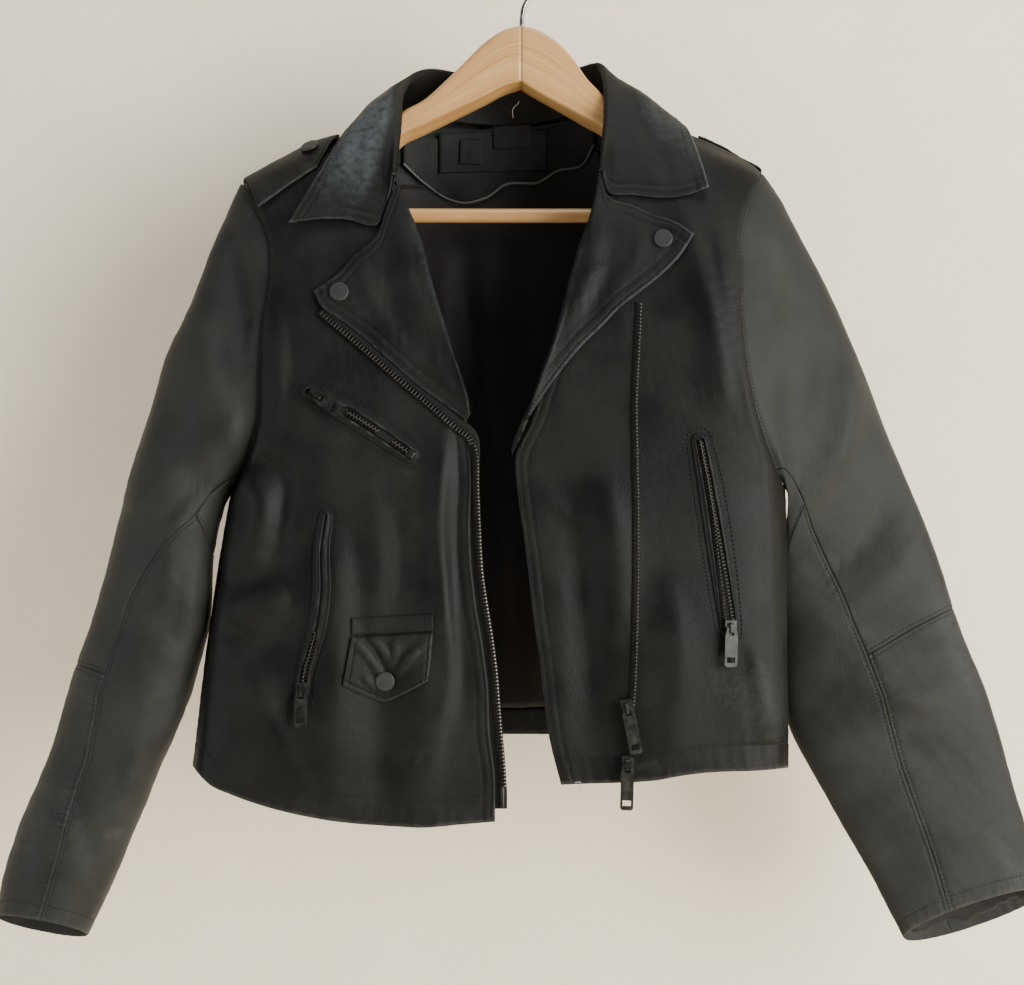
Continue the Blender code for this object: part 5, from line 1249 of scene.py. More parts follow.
def front(side):
    """A front: control grid made dense, folded, and its sewn edges worked in."""
    grid = dense(front_grid(side), 230, 100)
    opening, seam = ("left", "right") if side == "left" else ("right", "left")
    facing = np.clip(-1.6 * grid_normals(grid)[..., 1], 0, 1)
    view = seen(grid)
    folds = bent(view, BODY_FOLDS) + 0.55 * creased(view, FRONT_CREASES[side]) + 0.35 * dapple(view, 60, 11)
    grid = raised(grid, folds * facing * fade_in(borders(grid), ("left", "right", "top"), 24))
    ends = {opening: TWIN_EDGE, seam: STITCHED_SEAM}
    grid = spaced(grid, 1, ends["left"], ends["right"], 72)
    grid = spaced(grid, 0, HEM_EDGE, PLAIN_SEAM, 184)
    view, frames = seen(grid), borders(grid)
    # above this the lapel covers the edge, so that no stitches are sewn or pull there
    opened = np.clip((view[..., 1] - 395) / 30, 0, 1)
    height = sewn(frames, (
        (opening, TWIN_LINES, 21, 0.35 * opened, 0.35, 9, TWIN_REACH),
        ("bottom", HEM_LINES, 22, 0.5, 0.5, 9.5, 21),
        (seam, SEAM_LINES, 23, 0.35, 0.35, 10, 9),
    ))
    height += 0.45 * creased(view, FRONT_CREASES[side]) * fade_in(frames, ("left", "right"), 12)
    height += 0.16 * dapple(view, 13, 24) + 0.1 * dapple(view, 7, 25)
    hem, along_hem = frames["bottom"]
    rub = 0.55 * creased(view, FRONT_RUBS[side])
    rub += 0.55 * bell(hem, 2.6) + bell(hem - 9, 9) * np.clip(0.4 * wave(along_hem / 0.8, 26), 0, 0.2)
    rub += 0.35 * bell(frames[opening][0], 1.6)
    grid = raised(grid, height)
    free = opened[:, 0 if opening == "left" else -1] > 0.05
    stitched = [(opening, line, free) for line in TWIN_AT] + [("bottom", HEM_AT), (seam, SEAM_AT)]
    panel(f"front_{side}", grid, LEATHER, "body", "leather", rub, stitched, "fronts")
    return Ground(grid)


def back():
    """The back: folded, with its hem and its shoulder and side seams worked in."""
    grid = dense(back_grid(), 170, 130)
    facing = np.clip(1.6 * grid_normals(grid)[..., 1], 0, 1)
    view = seen(grid)
    folds = bent(view, BACK_FOLDS) + creased(view, BACK_CREASES) + 0.5 * dapple(view, 70, 31)
    grid = raised(grid, folds * facing * fade_in(borders(grid), ("left", "right", "top"), 24))
    grid = spaced(grid, 1, STITCHED_SEAM, STITCHED_SEAM, 96)
    grid = spaced(grid, 0, HEM_EDGE, STITCHED_SEAM, 120)
    view, frames = seen(grid), borders(grid)
    height = sewn(frames, (
        ("bottom", HEM_LINES, 32, 0.8, 0.5, 10, 21),
        ("top", SEAM_LINES, 33, 0.4, 0.35, 9, 9),
        ("left", SEAM_LINES, 34, 0.3, 0.3, 10, 9),
        ("right", SEAM_LINES, 35, 0.3, 0.3, 10, 9),
    ))
    rub = 0.5 * bell(frames["bottom"][0], 2.6)
    grid = raised(grid, height + 0.2 * dapple(view, 18, 36))
    rub += 0.25 * np.clip(dapple(view, 90, 37), 0, 1)
    stitched = (("bottom", HEM_AT), ("top", SEAM_AT), ("left", SEAM_AT), ("right", SEAM_AT))
    panel("back", grid, LEATHER, "body", "leather", rub, stitched, "back")
    return Ground(grid, facing=1.0)


# How many dense rows and columns a sleeve has for each of its control grid's
SLEEVE_FINE = 14
RING_FINE = 5


def sleeve_ring(side):
    """The whole sleeve as one dense folded ring: rows to the cuff, columns from the top round the front."""
    control = sleeve_grid(side)
    lap = 3
    wide = np.concatenate([control[:, -lap:], control, control[:, : lap + 1]], axis=1)
    grid = dense(wide, SLEEVE_ROWS * SLEEVE_FINE, (wide.shape[1] - 1) * RING_FINE)
    normals = grid_normals(grid) * (1 if side == "left" else -1)
    view = seen(grid)
    ahead, behind = np.clip(-1.6 * normals[..., 1], 0, 1), np.clip(1.6 * normals[..., 1], 0, 1)
    height = ahead * (bent(view, SLEEVE_FOLDS) + creased(view, SLEEVE_CREASES[side]))
    height += behind * creased(view, SLEEVE_CREASES_BEHIND[side]) + 0.5 * dapple(view, 55, 41)
    grid = grid + normals * (height * fade_in(borders(grid), ("bottom",), 26))[..., None]
    return grid[:, lap * RING_FINE : (lap + control.shape[1]) * RING_FINE]


# Each piece of a sleeve: rows from and to, columns from and to, share of its rows that stay, grid lines near
# its seams along the sleeve and at its two ends, and rows of stitches: border, lines, the puckers' height and
# length, reach. The seam along the sleeve that faces forward is called front
UNDER_COLUMNS = (TOP_SLEEVE_STEPS, TOP_SLEEVE_STEPS + 2 * UNDER_SLEEVE_STEPS)
TOP_COLUMNS = (-TOP_SLEEVE_STEPS, TOP_SLEEVE_STEPS)
SLEEVE_CUTS = {
    "top_sleeve_upper": (
        (0, ELBOW_ROW), TOP_COLUMNS, 0.92, (STITCHED_SEAM, STITCHED_SEAM, STITCHED_SEAM),
        (("bottom", SEAM_LINES, 0.45, 9, 10), ("top", SEAM_LINES, 0.3, 10, 9)),
    ),
    "top_sleeve_forearm": (
        (ELBOW_ROW, SLEEVE_ROWS), TOP_COLUMNS, 1.15, (STITCHED_SEAM, STITCHED_SEAM, CUFF_EDGE),
        (
            ("bottom", SEAM_LINES, 0.3, 9, 9), ("top", CUFF_LINES, 0.5, 10, 12),
            ("front", SEAM_LINES, 1.0, 9, 15),
        ),
    ),
    "underarm_gusset": (
        (0, GUSSET_ROW), UNDER_COLUMNS, 0.92, (PLAIN_SEAM, PLAIN_SEAM, STITCHED_SEAM),
        (("top", SEAM_LINES, 0.3, 8, 8),),
    ),
    "under_sleeve": (
        (GUSSET_ROW, SLEEVE_ROWS), UNDER_COLUMNS, 0.92, (STITCHED_SEAM, STITCHED_SEAM, CUFF_EDGE),
        (("top", CUFF_LINES, 0.5, 10, 12), ("front", SEAM_LINES, 0.5, 9, 12)),
    ),
}
# The left forearm's seam pulls less than the right one's
LEFT_FOREARM_PUCKER = 0.5


def sleeve(side):
    """A sleeve, cut from its ring at the seams: upper and forearm of the top sleeve, gusset, under sleeve."""
    ring = sleeve_ring(side)
    # the armhole's edge runs in under the body, so that no light shows through the seam
    ring[0] += 2.0 * unit(ring[0] - ring[2])
    for name, ((low, high), (first, last), share, (seams, lower, upper), stitched) in SLEEVE_CUTS.items():
        columns = np.arange(first * RING_FINE, last * RING_FINE + 1) % ring.shape[1]
        grid = ring[low * SLEEVE_FINE : high * SLEEVE_FINE + 1, columns]
        if side == "right":
            grid = grid[:, ::-1]
        front_seam = "right" if (first < 0) == (side == "left") else "left"
        rows, count = grid.shape[:2]
        grid = spaced(grid, 1, seams, seams, count)
        grid = spaced(grid, 0, lower, upper, int(rows * share))
        view, frames = seen(grid), borders(grid)
        frames["front"] = frames[front_seam]
        sewing = []
        for number, (border, lines, pucker, length, reach) in enumerate(stitched):
            if border == "front" and side == "left" and "forearm" in name:
                pucker = LEFT_FOREARM_PUCKER
            sewing.append((border, lines, 44 + number, pucker, 0.4, length, reach))
        height = sewn(frames, sewing)
        rub = creased(view, SLEEVE_RUBS[side])
        if upper is CUFF_EDGE:
            cuff, round_it = frames["top"]
            rub += 0.6 * bell(cuff, 2.4) + 0.5 * bell(cuff - 7, 8) * np.clip(wave(round_it / 0.8, 47), 0, 0.5)
        if "forearm" in name:
            away, along = frames["front"]
            rub += 0.8 * bell(away, 12) * np.clip(wave(along / 0.8, 48), 0, 0.4)
        grid = raised(grid, height + 0.2 * dapple(view, 15, 42) + 0.08 * dapple(view, 7, 43))
        threads = [
            (front_seam if border == "front" else border, CUFF_AT if lines is CUFF_LINES else SEAM_AT)
            for border, lines, *_ in stitched
        ]
        panel(f"{name}_{side}", grid, LEATHER, "sleeve", "leather", rub, threads, "sleeves")
# Collar and lapels


def collar(grounds):
    """Collar in one sheet round the neck: up the stand, round the roll, and down the leaf to its edge."""
    stations, leaf_steps, radius = 24, 5, 4.2
    rows = through(COLLAR, np.linspace(0, len(COLLAR) - 1, stations + 1))
    seam, roll, edge = (placed(rows[:, first : first + 3]) for first in (0, 3, 6))
    out = unit((edge - roll) * (1, 1, 0.25))
    crown = unit(np.cross(out, np.gradient(roll, axis=0)))
    crown *= np.sign((crown * (roll - edge)).sum(axis=1, keepdims=True) + 1e-9)
    behind = roll - out * 0.2
    columns = [
        seam,
        seam * 0.45 + (behind - crown * radius) * 0.55,
        behind - crown * radius * 0.9,
        roll + out * radius * 0.3 - crown * radius * 0.15,
        roll + out * radius,
    ]
    leaf = {
        end: even(LEAF_EDGES[side], shares(leaf_steps)) for end, side in ((0, "right"), (stations, "left"))
    }
    for step in range(1, leaf_steps + 1):
        share = step / leaf_steps
        place = columns[4] * (1 - share) + edge * share + crown * rows[:, 9:10] * 4 * share * (1 - share)
        for end, line in leaf.items():
            flat = seen(place)
            fade = np.clip(1 - np.abs(np.arange(stations + 1) - end) / 5, 0, 1) ** 1.4
            flat = flat + (line[step] - flat[end]) * fade[:, None]
            place = placed(np.column_stack([flat, place[:, 1]]))
        flat = seen(place)
        for ground, half in ((grounds["right"], rows[:, 6] < 0), (grounds["left"], rows[:, 6] > 0)):
            ahead = half & (place[:, 1] < 4)
            below = np.maximum(flat[ahead][:, 1] - ridge_down(flat[ahead][:, 0]), 0)
            clear = ground.depth(flat[ahead]) - COLLAR_LIFT - COLLAR_RIDGE_LIFT * np.exp(-below / 12)
            place[ahead] = placed(np.column_stack([flat[ahead], np.minimum(place[ahead, 1], clear)]))
        for _ in range(2):
            place[1:-1] = 0.25 * place[:-2] + 0.5 * place[1:-1] + 0.25 * place[2:]
        columns.append(place)
    grid = np.stack(columns, axis=1)
    rim, ends = "right", (PLAIN_SEAM, TWIN_EDGE)
    if grid_normals(grid)[len(grid) // 2, -2, 1] < 0:
        grid, rim, ends = grid[:, ::-1], "left", ends[::-1]
    grid = dense(grid, 300, 64)
    grid = spaced(grid, 1, *ends, 46)
    grid = spaced(grid, 0, TWIN_EDGE, TWIN_EDGE, 232)
    view, frames = seen(grid), borders(grid)
    fall = np.clip((58 - frames[rim][0]) / 16, 0, 1)
    height = sewn(frames, (
        (rim, TWIN_LINES, 51, 0.375, 0.25, 6.5, TWIN_REACH),
        ("bottom", TWIN_LINES, 52, 0.4, 0.5, 6.5, TWIN_REACH),
        ("top", TWIN_LINES, 53, 0.4, 0.5, 6.5, TWIN_REACH),
        (rim, TWIN_LINES, 54, 0.32, 0.16, 6.0, TWIN_REACH),
    ))
    height += fall * (creased(view, COLLAR_CREASES) + 0.35 * dapple(view, 22, 55))
    height += 0.12 * dapple(view, 7, 56)
    # the rim of a snap that is hidden between the leaf's two layers
    from_snap = np.linalg.norm(view - HIDDEN_SNAP, axis=-1)
    height += 0.9 * fall * bell(from_snap - 5.6, 1.1)
    # what is painted blue-grey here is wear, and a painted sheen along the roll
    rub = fall * creased(view, COLLAR_WEAR_AND_SHEEN) + 0.5 * bell(frames[rim][0], 1.8)
    rub += 0.35 * bell(np.minimum(frames["bottom"][0], frames["top"][0]), 1.6)
    stitched = [(border, line) for border in (rim, "bottom", "top") for line in TWIN_AT]
    panel(
        "collar", raised(grid, height), DOUBLED, "collar", "worn_leather", rub, stitched, "collar",
        drop=1.0, trim=6.0,
    )


# Creases along the collar's roll and leaves, and where its finish is painted blue-grey: wear, and a painted
# sheen along the roll
COLLAR_CREASES = (
    (6, 1.4, -96, 108, -112, 132, -124, 168, -128, 200),
    (5, -1.0, -104, 110, -120, 134, -132, 164, -138, 196),
    (4, -0.8, -94, 140, -102, 160, -106, 184),
    (3, 0.7, 72, 112, 76, 130, 78, 150),
    (3, -0.7, 68, 120, 72, 136, 73, 148),
    (4, 0.8, 92, 112, 104, 132, 116, 150, 126, 176),
    (4, -0.7, 84, 120, 96, 140, 108, 160, 118, 186),
    (3, 0.6, 66, 178, 80, 184, 96, 190),
)
COLLAR_WEAR_AND_SHEEN = (
    (13, 0.75, -93, 106, -121, 146, -133, 206), (9, 0.5, -108, 100, -140, 150, -160, 200),
    (6, 0.5, -96, 120, -98, 150, -99, 176), (5, 0.45, 62, 96, 66, 124, 66, 160),
    (10, 0.35, 84, 100, 106, 130, 120, 160), (7, 0.3, 110, 122, 132, 150, 146, 184),
)
LAPEL_RUBS = {
    "right": (
        (5, 0.25, -100, 190, -84, 226, -72, 268, -56, 320), (8, 0.15, -150, 262, -136, 282, -112, 306),
        (6, 0.2, -104, 300, -84, 322, -62, 344),
    ),
    "left": (
        (5, 0.25, 60, 186, 48, 232, 34, 280, 14, 340), (8, 0.2, 128, 224, 112, 246, 88, 270),
        (6, 0.15, 70, 290, 50, 312, 30, 334),
    ),
}
LAPEL_CREASES = {
    "right": (
        (7, 1.6, -96, 214, -90, 260, -74, 306), (6, -1.2, -108, 240, -104, 280, -88, 318),
        (5, 1.0, -128, 246, -122, 276, -104, 304), (5, 0.9, -70, 320, -62, 344, -54, 362),
    ),
    "left": (
        (7, 1.6, 60, 208, 56, 250, 40, 296), (6, -1.2, 74, 220, 70, 260, 52, 300),
        (5, 1.0, 98, 222, 92, 246, 76, 272), (5, 0.8, 22, 330, 12, 352, 4, 372),
    ),
}
# Middle of the snap between the collar's layers, and how far in front of the plain front a lapel's roll has
# its middle
HIDDEN_SNAP = (69.6, 162.4)
ROLL_LIFT = 2.8


def lapel(side, ground):
    """A lapel: from under the roll, round it, and out over the front to its stitched edge."""
    rows, columns = 11, 5
    roll, outer = (even(LAPELS[side][line], shares(rows)) for line in ("roll", "outer"))
    top = even(LAPELS[side]["top"], shares(columns))
    flat = patch(np.linspace(roll[0], outer[0], columns + 1), top, roll, outer)
    out = flat[:, -1] - flat[:, 0]
    room = np.linalg.norm(out, axis=1)
    radius = np.minimum(ROLL_RADIUS, 0.42 * room)
    turns = []
    for angle in np.radians((68, 20, -30, -65)):
        place = roll + unit(out) * (radius * (1 - math.cos(angle)))[:, None]
        depth = front_depth(roll[:, 0], roll[:, 1]) - ROLL_LIFT + radius * math.sin(angle)
        turns.append(np.column_stack([place, depth]))
    past_roll = ((ROLL_SHARE * radius + 1) / room)[:, None]
    share = past_roll + (1 - past_roll) * shares(columns)[None, 1:]
    over = np.stack([through(row, at * columns) for row, at in zip(flat, share)])
    lift = LAPEL_LIFT + (ROLL_LIFT + ROLL_RADIUS - LAPEL_LIFT) * (1 - share) ** 1.5
    depth = ground.depth(over) - lift
    grid = placed(np.concatenate([np.stack(turns, axis=1), np.dstack([over, depth])], axis=1))
    edge, fold = ("right", "left") if side == "left" else ("left", "right")
    if side == "right":
        grid = grid[:, ::-1]
    ends = {edge: TWIN_EDGE, fold: PLAIN_SEAM}
    grid = spaced(dense(grid, 230, 60), 1, ends["left"], ends["right"], 44)
    grid = spaced(grid, 0, PLAIN_SEAM, TWIN_EDGE, 172)
    view, frames = seen(grid), borders(grid)
    # at its lower end the lapel is too narrow for the whole relief
    wide = np.clip(frames["left"][0][:, -1:] / 40, 0, 1)
    fall = np.clip(frames[fold][0] / 14, 0, 1) * np.clip(frames[edge][0] / 12, 0.2, 1)
    height = wide * sewn(frames, ((edge, TWIN_LINES, 61, 0.22, 0.45, 7.0, TWIN_REACH),))
    height += sewn(frames, (("top", TWIN_LINES, 62, 0.25, 0.45, 7.0, TWIN_REACH),))
    height += fall * (creased(view, LAPEL_CREASES[side]) + 0.3 * dapple(view, 24, 63))
    height += 0.12 * dapple(view, 7, 64)
    grid = raised(grid, height * wide)
    rub = creased(view, LAPEL_RUBS[side])
    rub += 0.45 * bell(frames[edge][0], 1.8) + 0.4 * bell(frames["top"][0], 1.8)
    stitched = [(border, line) for border in (edge, "top") for line in TWIN_AT]
    panel(
        f"lapel_{side}", grid, DOUBLED, "collar", "worn_leather", rub, stitched, "lapels", drop=1.0, trim=7.0
    )
    return Ground(grid)


# Inside of the back


def inside(ground, rows, across, lower, upper, off):
    """Grid inside the back between two lines as seen, held off its inner face."""
    low, high = np.interp(across, *lower), np.interp(across, *upper)
    down = low[None] + (high - low)[None] * shares(rows)[:, None]
    flat = np.dstack([np.broadcast_to(across, down.shape), down])
    return ground.under(flat, LEATHER + off)


# Lines across the inside of the back, as seen: places across, and how far down each is
FACING_EDGE = (
    (-98, -78, -58, -43, -31, -11, 13, 31, 49, 61),
    (172, 189, 202, 204, 201, 189, 188, 178, 174, 157),
)
FACING_TOP = ((-98, -58, -12, 20, 61), (148, 154, 155, 150, 140))
LINING_HEM = ((-215, -60, 0, 60, 180), (598, 606, 607, 603, 594))
TURN_UP_HEM = ((-215, -60, 0, 60, 180), (622, 626, 627, 626, 622))
# The lining's soft folds: half width, height towards the eye, then across and down of points
LINING_FOLDS = (
    (9, 6.0, -62, 250, -58, 340, -50, 450, -40, 560, -36, 604),
    (12, 7.0, -30, 230, -24, 340, -16, 470, -10, 600), (8, -3.0, -44, 260, -38, 380, -30, 500, -24, 590),
    (9, 5.0, 6, 240, 8, 340, 6, 460, 8, 600), (8, -2.5, -8, 250, -4, 380, -2, 500, -2, 590),
    (11, 6.0, 34, 230, 28, 330, 22, 450, 24, 600), (8, 4.0, 54, 260, 46, 360, 44, 480, 50, 596),
    (13, 5.0, -100, 300, -96, 420, -90, 600), (13, 5.0, 90, 300, 84, 420, 82, 600),
    (6, 2.4, -20, 380, -14, 430, -12, 500), (5, 2.0, 18, 300, 14, 380, 14, 440),
)
# Name, middle, half sizes, tilt, and how far off the facing
LABELS = (
    ("neck_label_wide", (-23, 164), (44, 16), -0.02, 0.7),
    ("neck_label_small", (-41, 164), (9, 10), 0.02, 2.2),
    ("neck_label_main", (-7, 152.5), (16, 9), -0.05, 2.2),
)
# The main label is sewn down at this line, and what is above it lies folded behind
LABEL_TOP = 153.0
# How far the facing, the lining and the turned-up hem stand off the back's inner face
FACING_GAP, LINING_GAP, HEM_GAP = 1.95, 2.75, 0.9


def laid(name, under, thickness, look, slot, node, rub=None):
    """A slab, with the size of its sheet worked out but not kept."""
    made, face, normals, grid = slab(name, under, thickness, look, slot, [node], rub)
    declare(grid)
    return face, normals


def nearer(grid, by):
    """The grid moved straight towards the eye."""
    return grid - np.array([0, 1.0, 0]) * by[..., None]


def inner_pieces(ground):
    """Neck facing with its piping, the lining below, the turned-up hem, and the blank labels."""
    ends = (-96, 60)
    neck = np.linspace(*ends, 90)
    whole = np.concatenate([np.linspace(-172, -97, 30), neck, np.linspace(62, 146, 34)])
    facing = inside(ground, 34, neck, FACING_EDGE, FACING_TOP, FACING_GAP)
    facing = nearer(facing, 0.35 * np.clip(dapple(seen(facing), 16, 71), 0, 2))
    face, normals = laid(
        "neck_facing_leather", facing, LEATHER, "body", "leather", "neck_facing",
        np.full(facing.shape[:2], 0.1),
    )
    thread(*run_at(face, normals, "bottom", 3), "inside")
    lower = (FACING_EDGE[0], tuple(down + 1.2 for down in FACING_EDGE[1]))
    upper = (
        (-175, -130, -98) + FACING_EDGE[0][1:-1] + (61, 100, 150),
        (300, 250, 190) + lower[1][1:-1] + (162, 230, 300),
    )
    lining = inside(ground, 84, whole, LINING_HEM, upper, LINING_GAP)
    view = seen(lining)
    loose = np.clip((view[..., 1] - np.interp(view[..., 0], *lower)) / 40, 0, 1)
    folds = creased(view, LINING_FOLDS) + 0.5 * dapple(view, 40, 72)
    lining = nearer(lining, 0.9 * loose * np.clip(folds + 1.6, 0, 12))
    laid("back_lining_cloth", lining, 0.8, "lining", "lining", "back_lining")
    upper = (LINING_HEM[0], tuple(down + 1.2 for down in LINING_HEM[1]))
    turn_up = inside(ground, 12, whole, TURN_UP_HEM, upper, HEM_GAP)
    rub = np.clip(0.3 * wave(whole / 0.8, 73), 0, 0.3)[None] * np.ones((13, 1))
    laid("back_hem_turn_up_leather", turn_up, LEATHER, "body", "leather", "back_hem_turn_up", rub)
    edge = np.column_stack(FACING_EDGE).astype(float)
    edge[0, 0], edge[-1, 0] = ends
    path = even(edge, shares(120)) + (0, 0.6)
    # the piping's cord lies on the lining's upper edge
    cord = 1.0
    line = ground.under(path, LEATHER + LINING_GAP + cord + 1.5)
    # the piping is drawn in grey, a painted highlight along the cord
    rod("facing_piping_leather", line, cord, 10, "piping", "leather", ["facing_piping"])
    for name, middle, half, tilt, off in LABELS:
        u = np.linspace(-half[0], half[0], 41)[None]
        v = np.linspace(-half[1], half[1], 25)[:, None]
        flat = np.dstack([middle[0] + u - tilt * v, middle[1] + v + tilt * u])
        held = flat.copy()
        if name.endswith("main"):
            held[..., 1] = np.maximum(held[..., 1], LABEL_TOP)
        places = ground.under(held, 2 * LEATHER + FACING_GAP + off)
        places[..., 2] += held[..., 1] - flat[..., 1]
        places = nearer(places, 0.25 * np.clip(dapple(flat, 14, 74), 0, 2))
        laid(name + "_satin", places, 0.6, "label", "label", name)


def cuff_lining(side, ring):
    """A short tube of lining inside the cuff, frayed where it has worn through at the wearer's left cuff."""
    worn = side == "left"
    low, high = int(12.4 * SLEEVE_FINE), int((14.86 if worn else 14.4) * SLEEVE_FINE)
    grid = ring[low:high]
    closed = np.concatenate([grid[:, -1:], grid, grid[:, :1]], axis=1)
    normals = (grid_normals(closed) * (1 if worn else -1))[:, 1:-1]
    outer = grid - normals * (LEATHER + 1.0)
    turn = np.linspace(0, 40, grid.shape[1])
    fray = np.clip(wave(turn, 81) + 0.6 * wave(turn * 2.7, 82), -1, 1) * (3.0 if worn else 0.6)
    # only the end of the tube is uneven
    near_end = shares(len(grid) - 1)[:, None, None] ** 6
    outer = outer + unit(np.gradient(outer, axis=0)) * fray[None, :, None] * near_end
    outer = outer - normals * (0.4 * (1 + dapple(seen(outer), 12, 83)))[..., None]
    points, faces = closed_wall(outer, outer - normals * 0.8)
    made = mesh_piece(
        f"cuff_lining_{side}_cloth", points, faces, "lining", "lining", [f"cuff_lining_{side}"],
        flat_map=points[:, ::2],
    )
    width = run_along(np.concatenate([outer, outer[:, :1]], axis=1), 1)[:, -1].max()
    length = run_along(outer)[-1].mean()


# Rods, hanger and hook


def circle(first, second, angle):
    """Points round a circle of radius one, at the angles turned from the first direction to the second."""
    return first[..., None, :] * np.cos(angle)[:, None] + second[..., None, :] * np.sin(angle)[:, None]


def rod(name, line, radius, sides, look, slot, nodes=(), cap=0.5):
    """A round rod along a path: a circle carried along it, its ends rounded over in four steps."""
    way = unit(np.gradient(line, axis=0))
    turn = np.radians((0, 30, 60, 85))
    past, narrow = cap * radius * np.sin(turn)[:, None], radius * np.cos(turn)
    spine = np.concatenate([(line[0] - way[0] * past)[::-1], line[1:-1], line[-1] + way[-1] * past])
    sizes = np.concatenate([narrow[::-1], np.full(len(line) - 2, radius), narrow])
    ways = np.concatenate([np.repeat(way[:1], 4, axis=0), way[1:-1], np.repeat(way[-1:], 4, axis=0)])
    first = unit(np.cross(ways, (0.0, 0.3, 1.0)))
    angle = np.linspace(0, 2 * math.pi, sides, endpoint=False)
    grid = spine[:, None] + sizes[:, None, None] * circle(first, np.cross(ways, first), angle)
    flat_map = np.stack([np.repeat(run_along(spine), sides), np.tile(angle * radius, len(spine))], axis=1)
    mesh_piece(name, *capped(grid), look, slot, nodes, flat_map=flat_map)


# Each wooden arm from the mitre out: across, down of its upper line, height in front, and how much lower
# its underside lies behind. Then its thickness at the mitre, and what share of that its end has
ARMS = {
    "right": ((0, 64, 45.5, 1.5), (-10, 66, 46, 1.9), (-31, 79, 43.3, 2.4), (-42, 90, 37.4, 2.9),
              (-60, 108, 27.7, 3.8), (-78, 124, 20.2, 4.5), (-94, 133.5, 18.7, 4.9), (-101, 142, 17.5, 4.5),
              (-110, 150, 17.5, 4), (-143, 164, 20, 3), (-166, 172, 30, 3), (-182, 183, 43, 3)),
    "left": ((0, 64, 45.5, 1.5), (10, 66, 50, 1), (25, 74, 50.5, 1.2), (41, 90, 43.2, 1.8),
             (53, 107, 32.5, 2.7), (64.5, 119.5, 26.2, 3.2), (69, 127.5, 22, 3.4), (75, 136, 20, 3.2),
             (88, 145, 19, 3), (105, 152, 19, 3), (133, 162, 22, 3), (161, 174, 33, 3), (182, 187, 41, 3)),
}
WOOD_THICKNESS = 24.0
WOOD_TAPER = 0.62
# Section of an arm, once round: place between its front (-1) and its back (1), share of the height down,
# millimetres that a rounded corner lies lower, and share of how much lower the underside lies behind
ARM_SECTION = (
    (-1.0, 0, 6.0, 0), (-0.975, 0, 4.5, 0), (-0.93, 0, 3.3, 0), (-0.86, 0, 2.3, 0), (-0.75, 0, 1.4, 0),
    (-0.6, 0, 0.7, 0), (-0.3, 0, 0.2, 0), (0, 0, 0, 0), (0.3, 0, 0.2, 0), (0.6, 0, 0.7, 0), (0.75, 0, 1.4, 0),
    (0.86, 0, 2.3, 0), (0.93, 0, 3.3, 0), (0.975, 0, 4.5, 0), (1.0, 0, 6.0, 0), (1.0, 0.62, 0, 0.4),
    (1.0, 0.92, 0, 0.9), (0.975, 0.985, 0, 0.97), (0.88, 1.0, 0, 1.0), (0.5, 1.0, 0, 0.8), (0, 1.0, 0, 0.54),
    (-0.5, 1.0, 0, 0.27), (-0.88, 1.0, 0, 0.06), (-0.975, 0.985, 0, 0), (-1.0, 0.95, 0, 0), (-1.0, 0.6, 0, 0),
)


def hanger_arm(side):
    """Half of the hanger: a rounded section carried out from the mitre along the shoulder's line."""
    rows = even(ARMS[side], shares(90))
    # a hair's gap at the mitre
    rows[0, 0] = 0.02 if side == "left" else -0.02
    across, down, tall, behind = rows.T[..., None]
    ahead, share, rounding, lean = np.array(ARM_SECTION).T
    half = WOOD_THICKNESS / 2 * np.linspace(1, WOOD_TAPER, len(rows))[:, None]
    grid = np.stack(np.broadcast_arrays(
        across, ridge_depth(across) + ahead * half, -(down + share * tall + rounding + lean * behind)
    ), axis=-1)
    # worn arrises, and small chips where the two halves meet at the bottom
    grid[..., 2] += 0.9 * bell(across, 3.0) * bell(share - 0.96, 0.05) * (0.6 + 0.4 * np.sin(ahead * 9))
    flat_map = np.stack([
        np.repeat(run_along(rows[:, :2]), len(ahead)), np.tile(run_along(grid[0]), len(rows))
    ], axis=1)
    # the second half is cut from another place in the plank
    offset, look = (0, "flecked_beech") if side == "left" else (700, "beech")
    mesh_piece(
        f"hanger_arm_{side}_beech", *capped(grid), look, "wood", [f"hanger_arm_{side}"],
        flat_map=flat_map + offset,
    )


def hook_and_bar():
    """The trouser bar between the arms' ends, and the wire hook: most of a circle, then a bent stem."""
    half_length, down = 170.0, 216.5
    steps = np.linspace(-1, 1, 60)
    line = np.column_stack([
        steps * half_length, ridge_depth(half_length) + 4.0 * (1 - steps**2), np.full(60, -down)
    ])
    rod("trouser_bar_beech", line, 5.6, 28, "beech", "wood", ["trouser_bar"])
    radius, wire = 19.7, 1.9
    turns = np.radians(np.linspace(-120, 118, 60))
    arc = radius * np.column_stack([np.sin(turns), np.zeros(60), np.cos(turns)]) + (0, 0, wire - radius)
    stem = ((6.6, 0, -39.5), (2.4, 0, -47.0), (0.8, 0, -55.0), (0.5, 0, -63.4))
    line = even(np.concatenate([arc, stem]), shares(110))
    rod("hanger_hook_wire", line, wire, 16, "wire", "steel", ["hanger_hook"], cap=1.0)
    # a loose pale thread that hangs in the notch behind the hanger
    droop = np.linspace(0, 1, 24)
    loose = np.column_stack([
        -2.0 - 5.0 * droop + 1.2 * np.sin(7 * droop), 16 + 2 * droop,
        -(118 + 13 * droop - 2.5 * np.sin(3.1 * droop)),
    ])
    rod("loose_thread_neck", loose, 0.22, 5, "pale_thread", "lining")


# Fittings on the fronts

# Cap of a snap: share of the radius, height. A dished face inside a rounded rim
SNAP_PROFILE = (
    (0.18, 2.05), (0.42, 2.0), (0.62, 1.92), (0.72, 1.84), (0.76, 1.9), (0.85, 1.86), (0.92, 1.66),
    (0.97, 1.3), (1.0, 0.8), (1.0, 0.0),
)
SNAP_RADIUS = 7.3


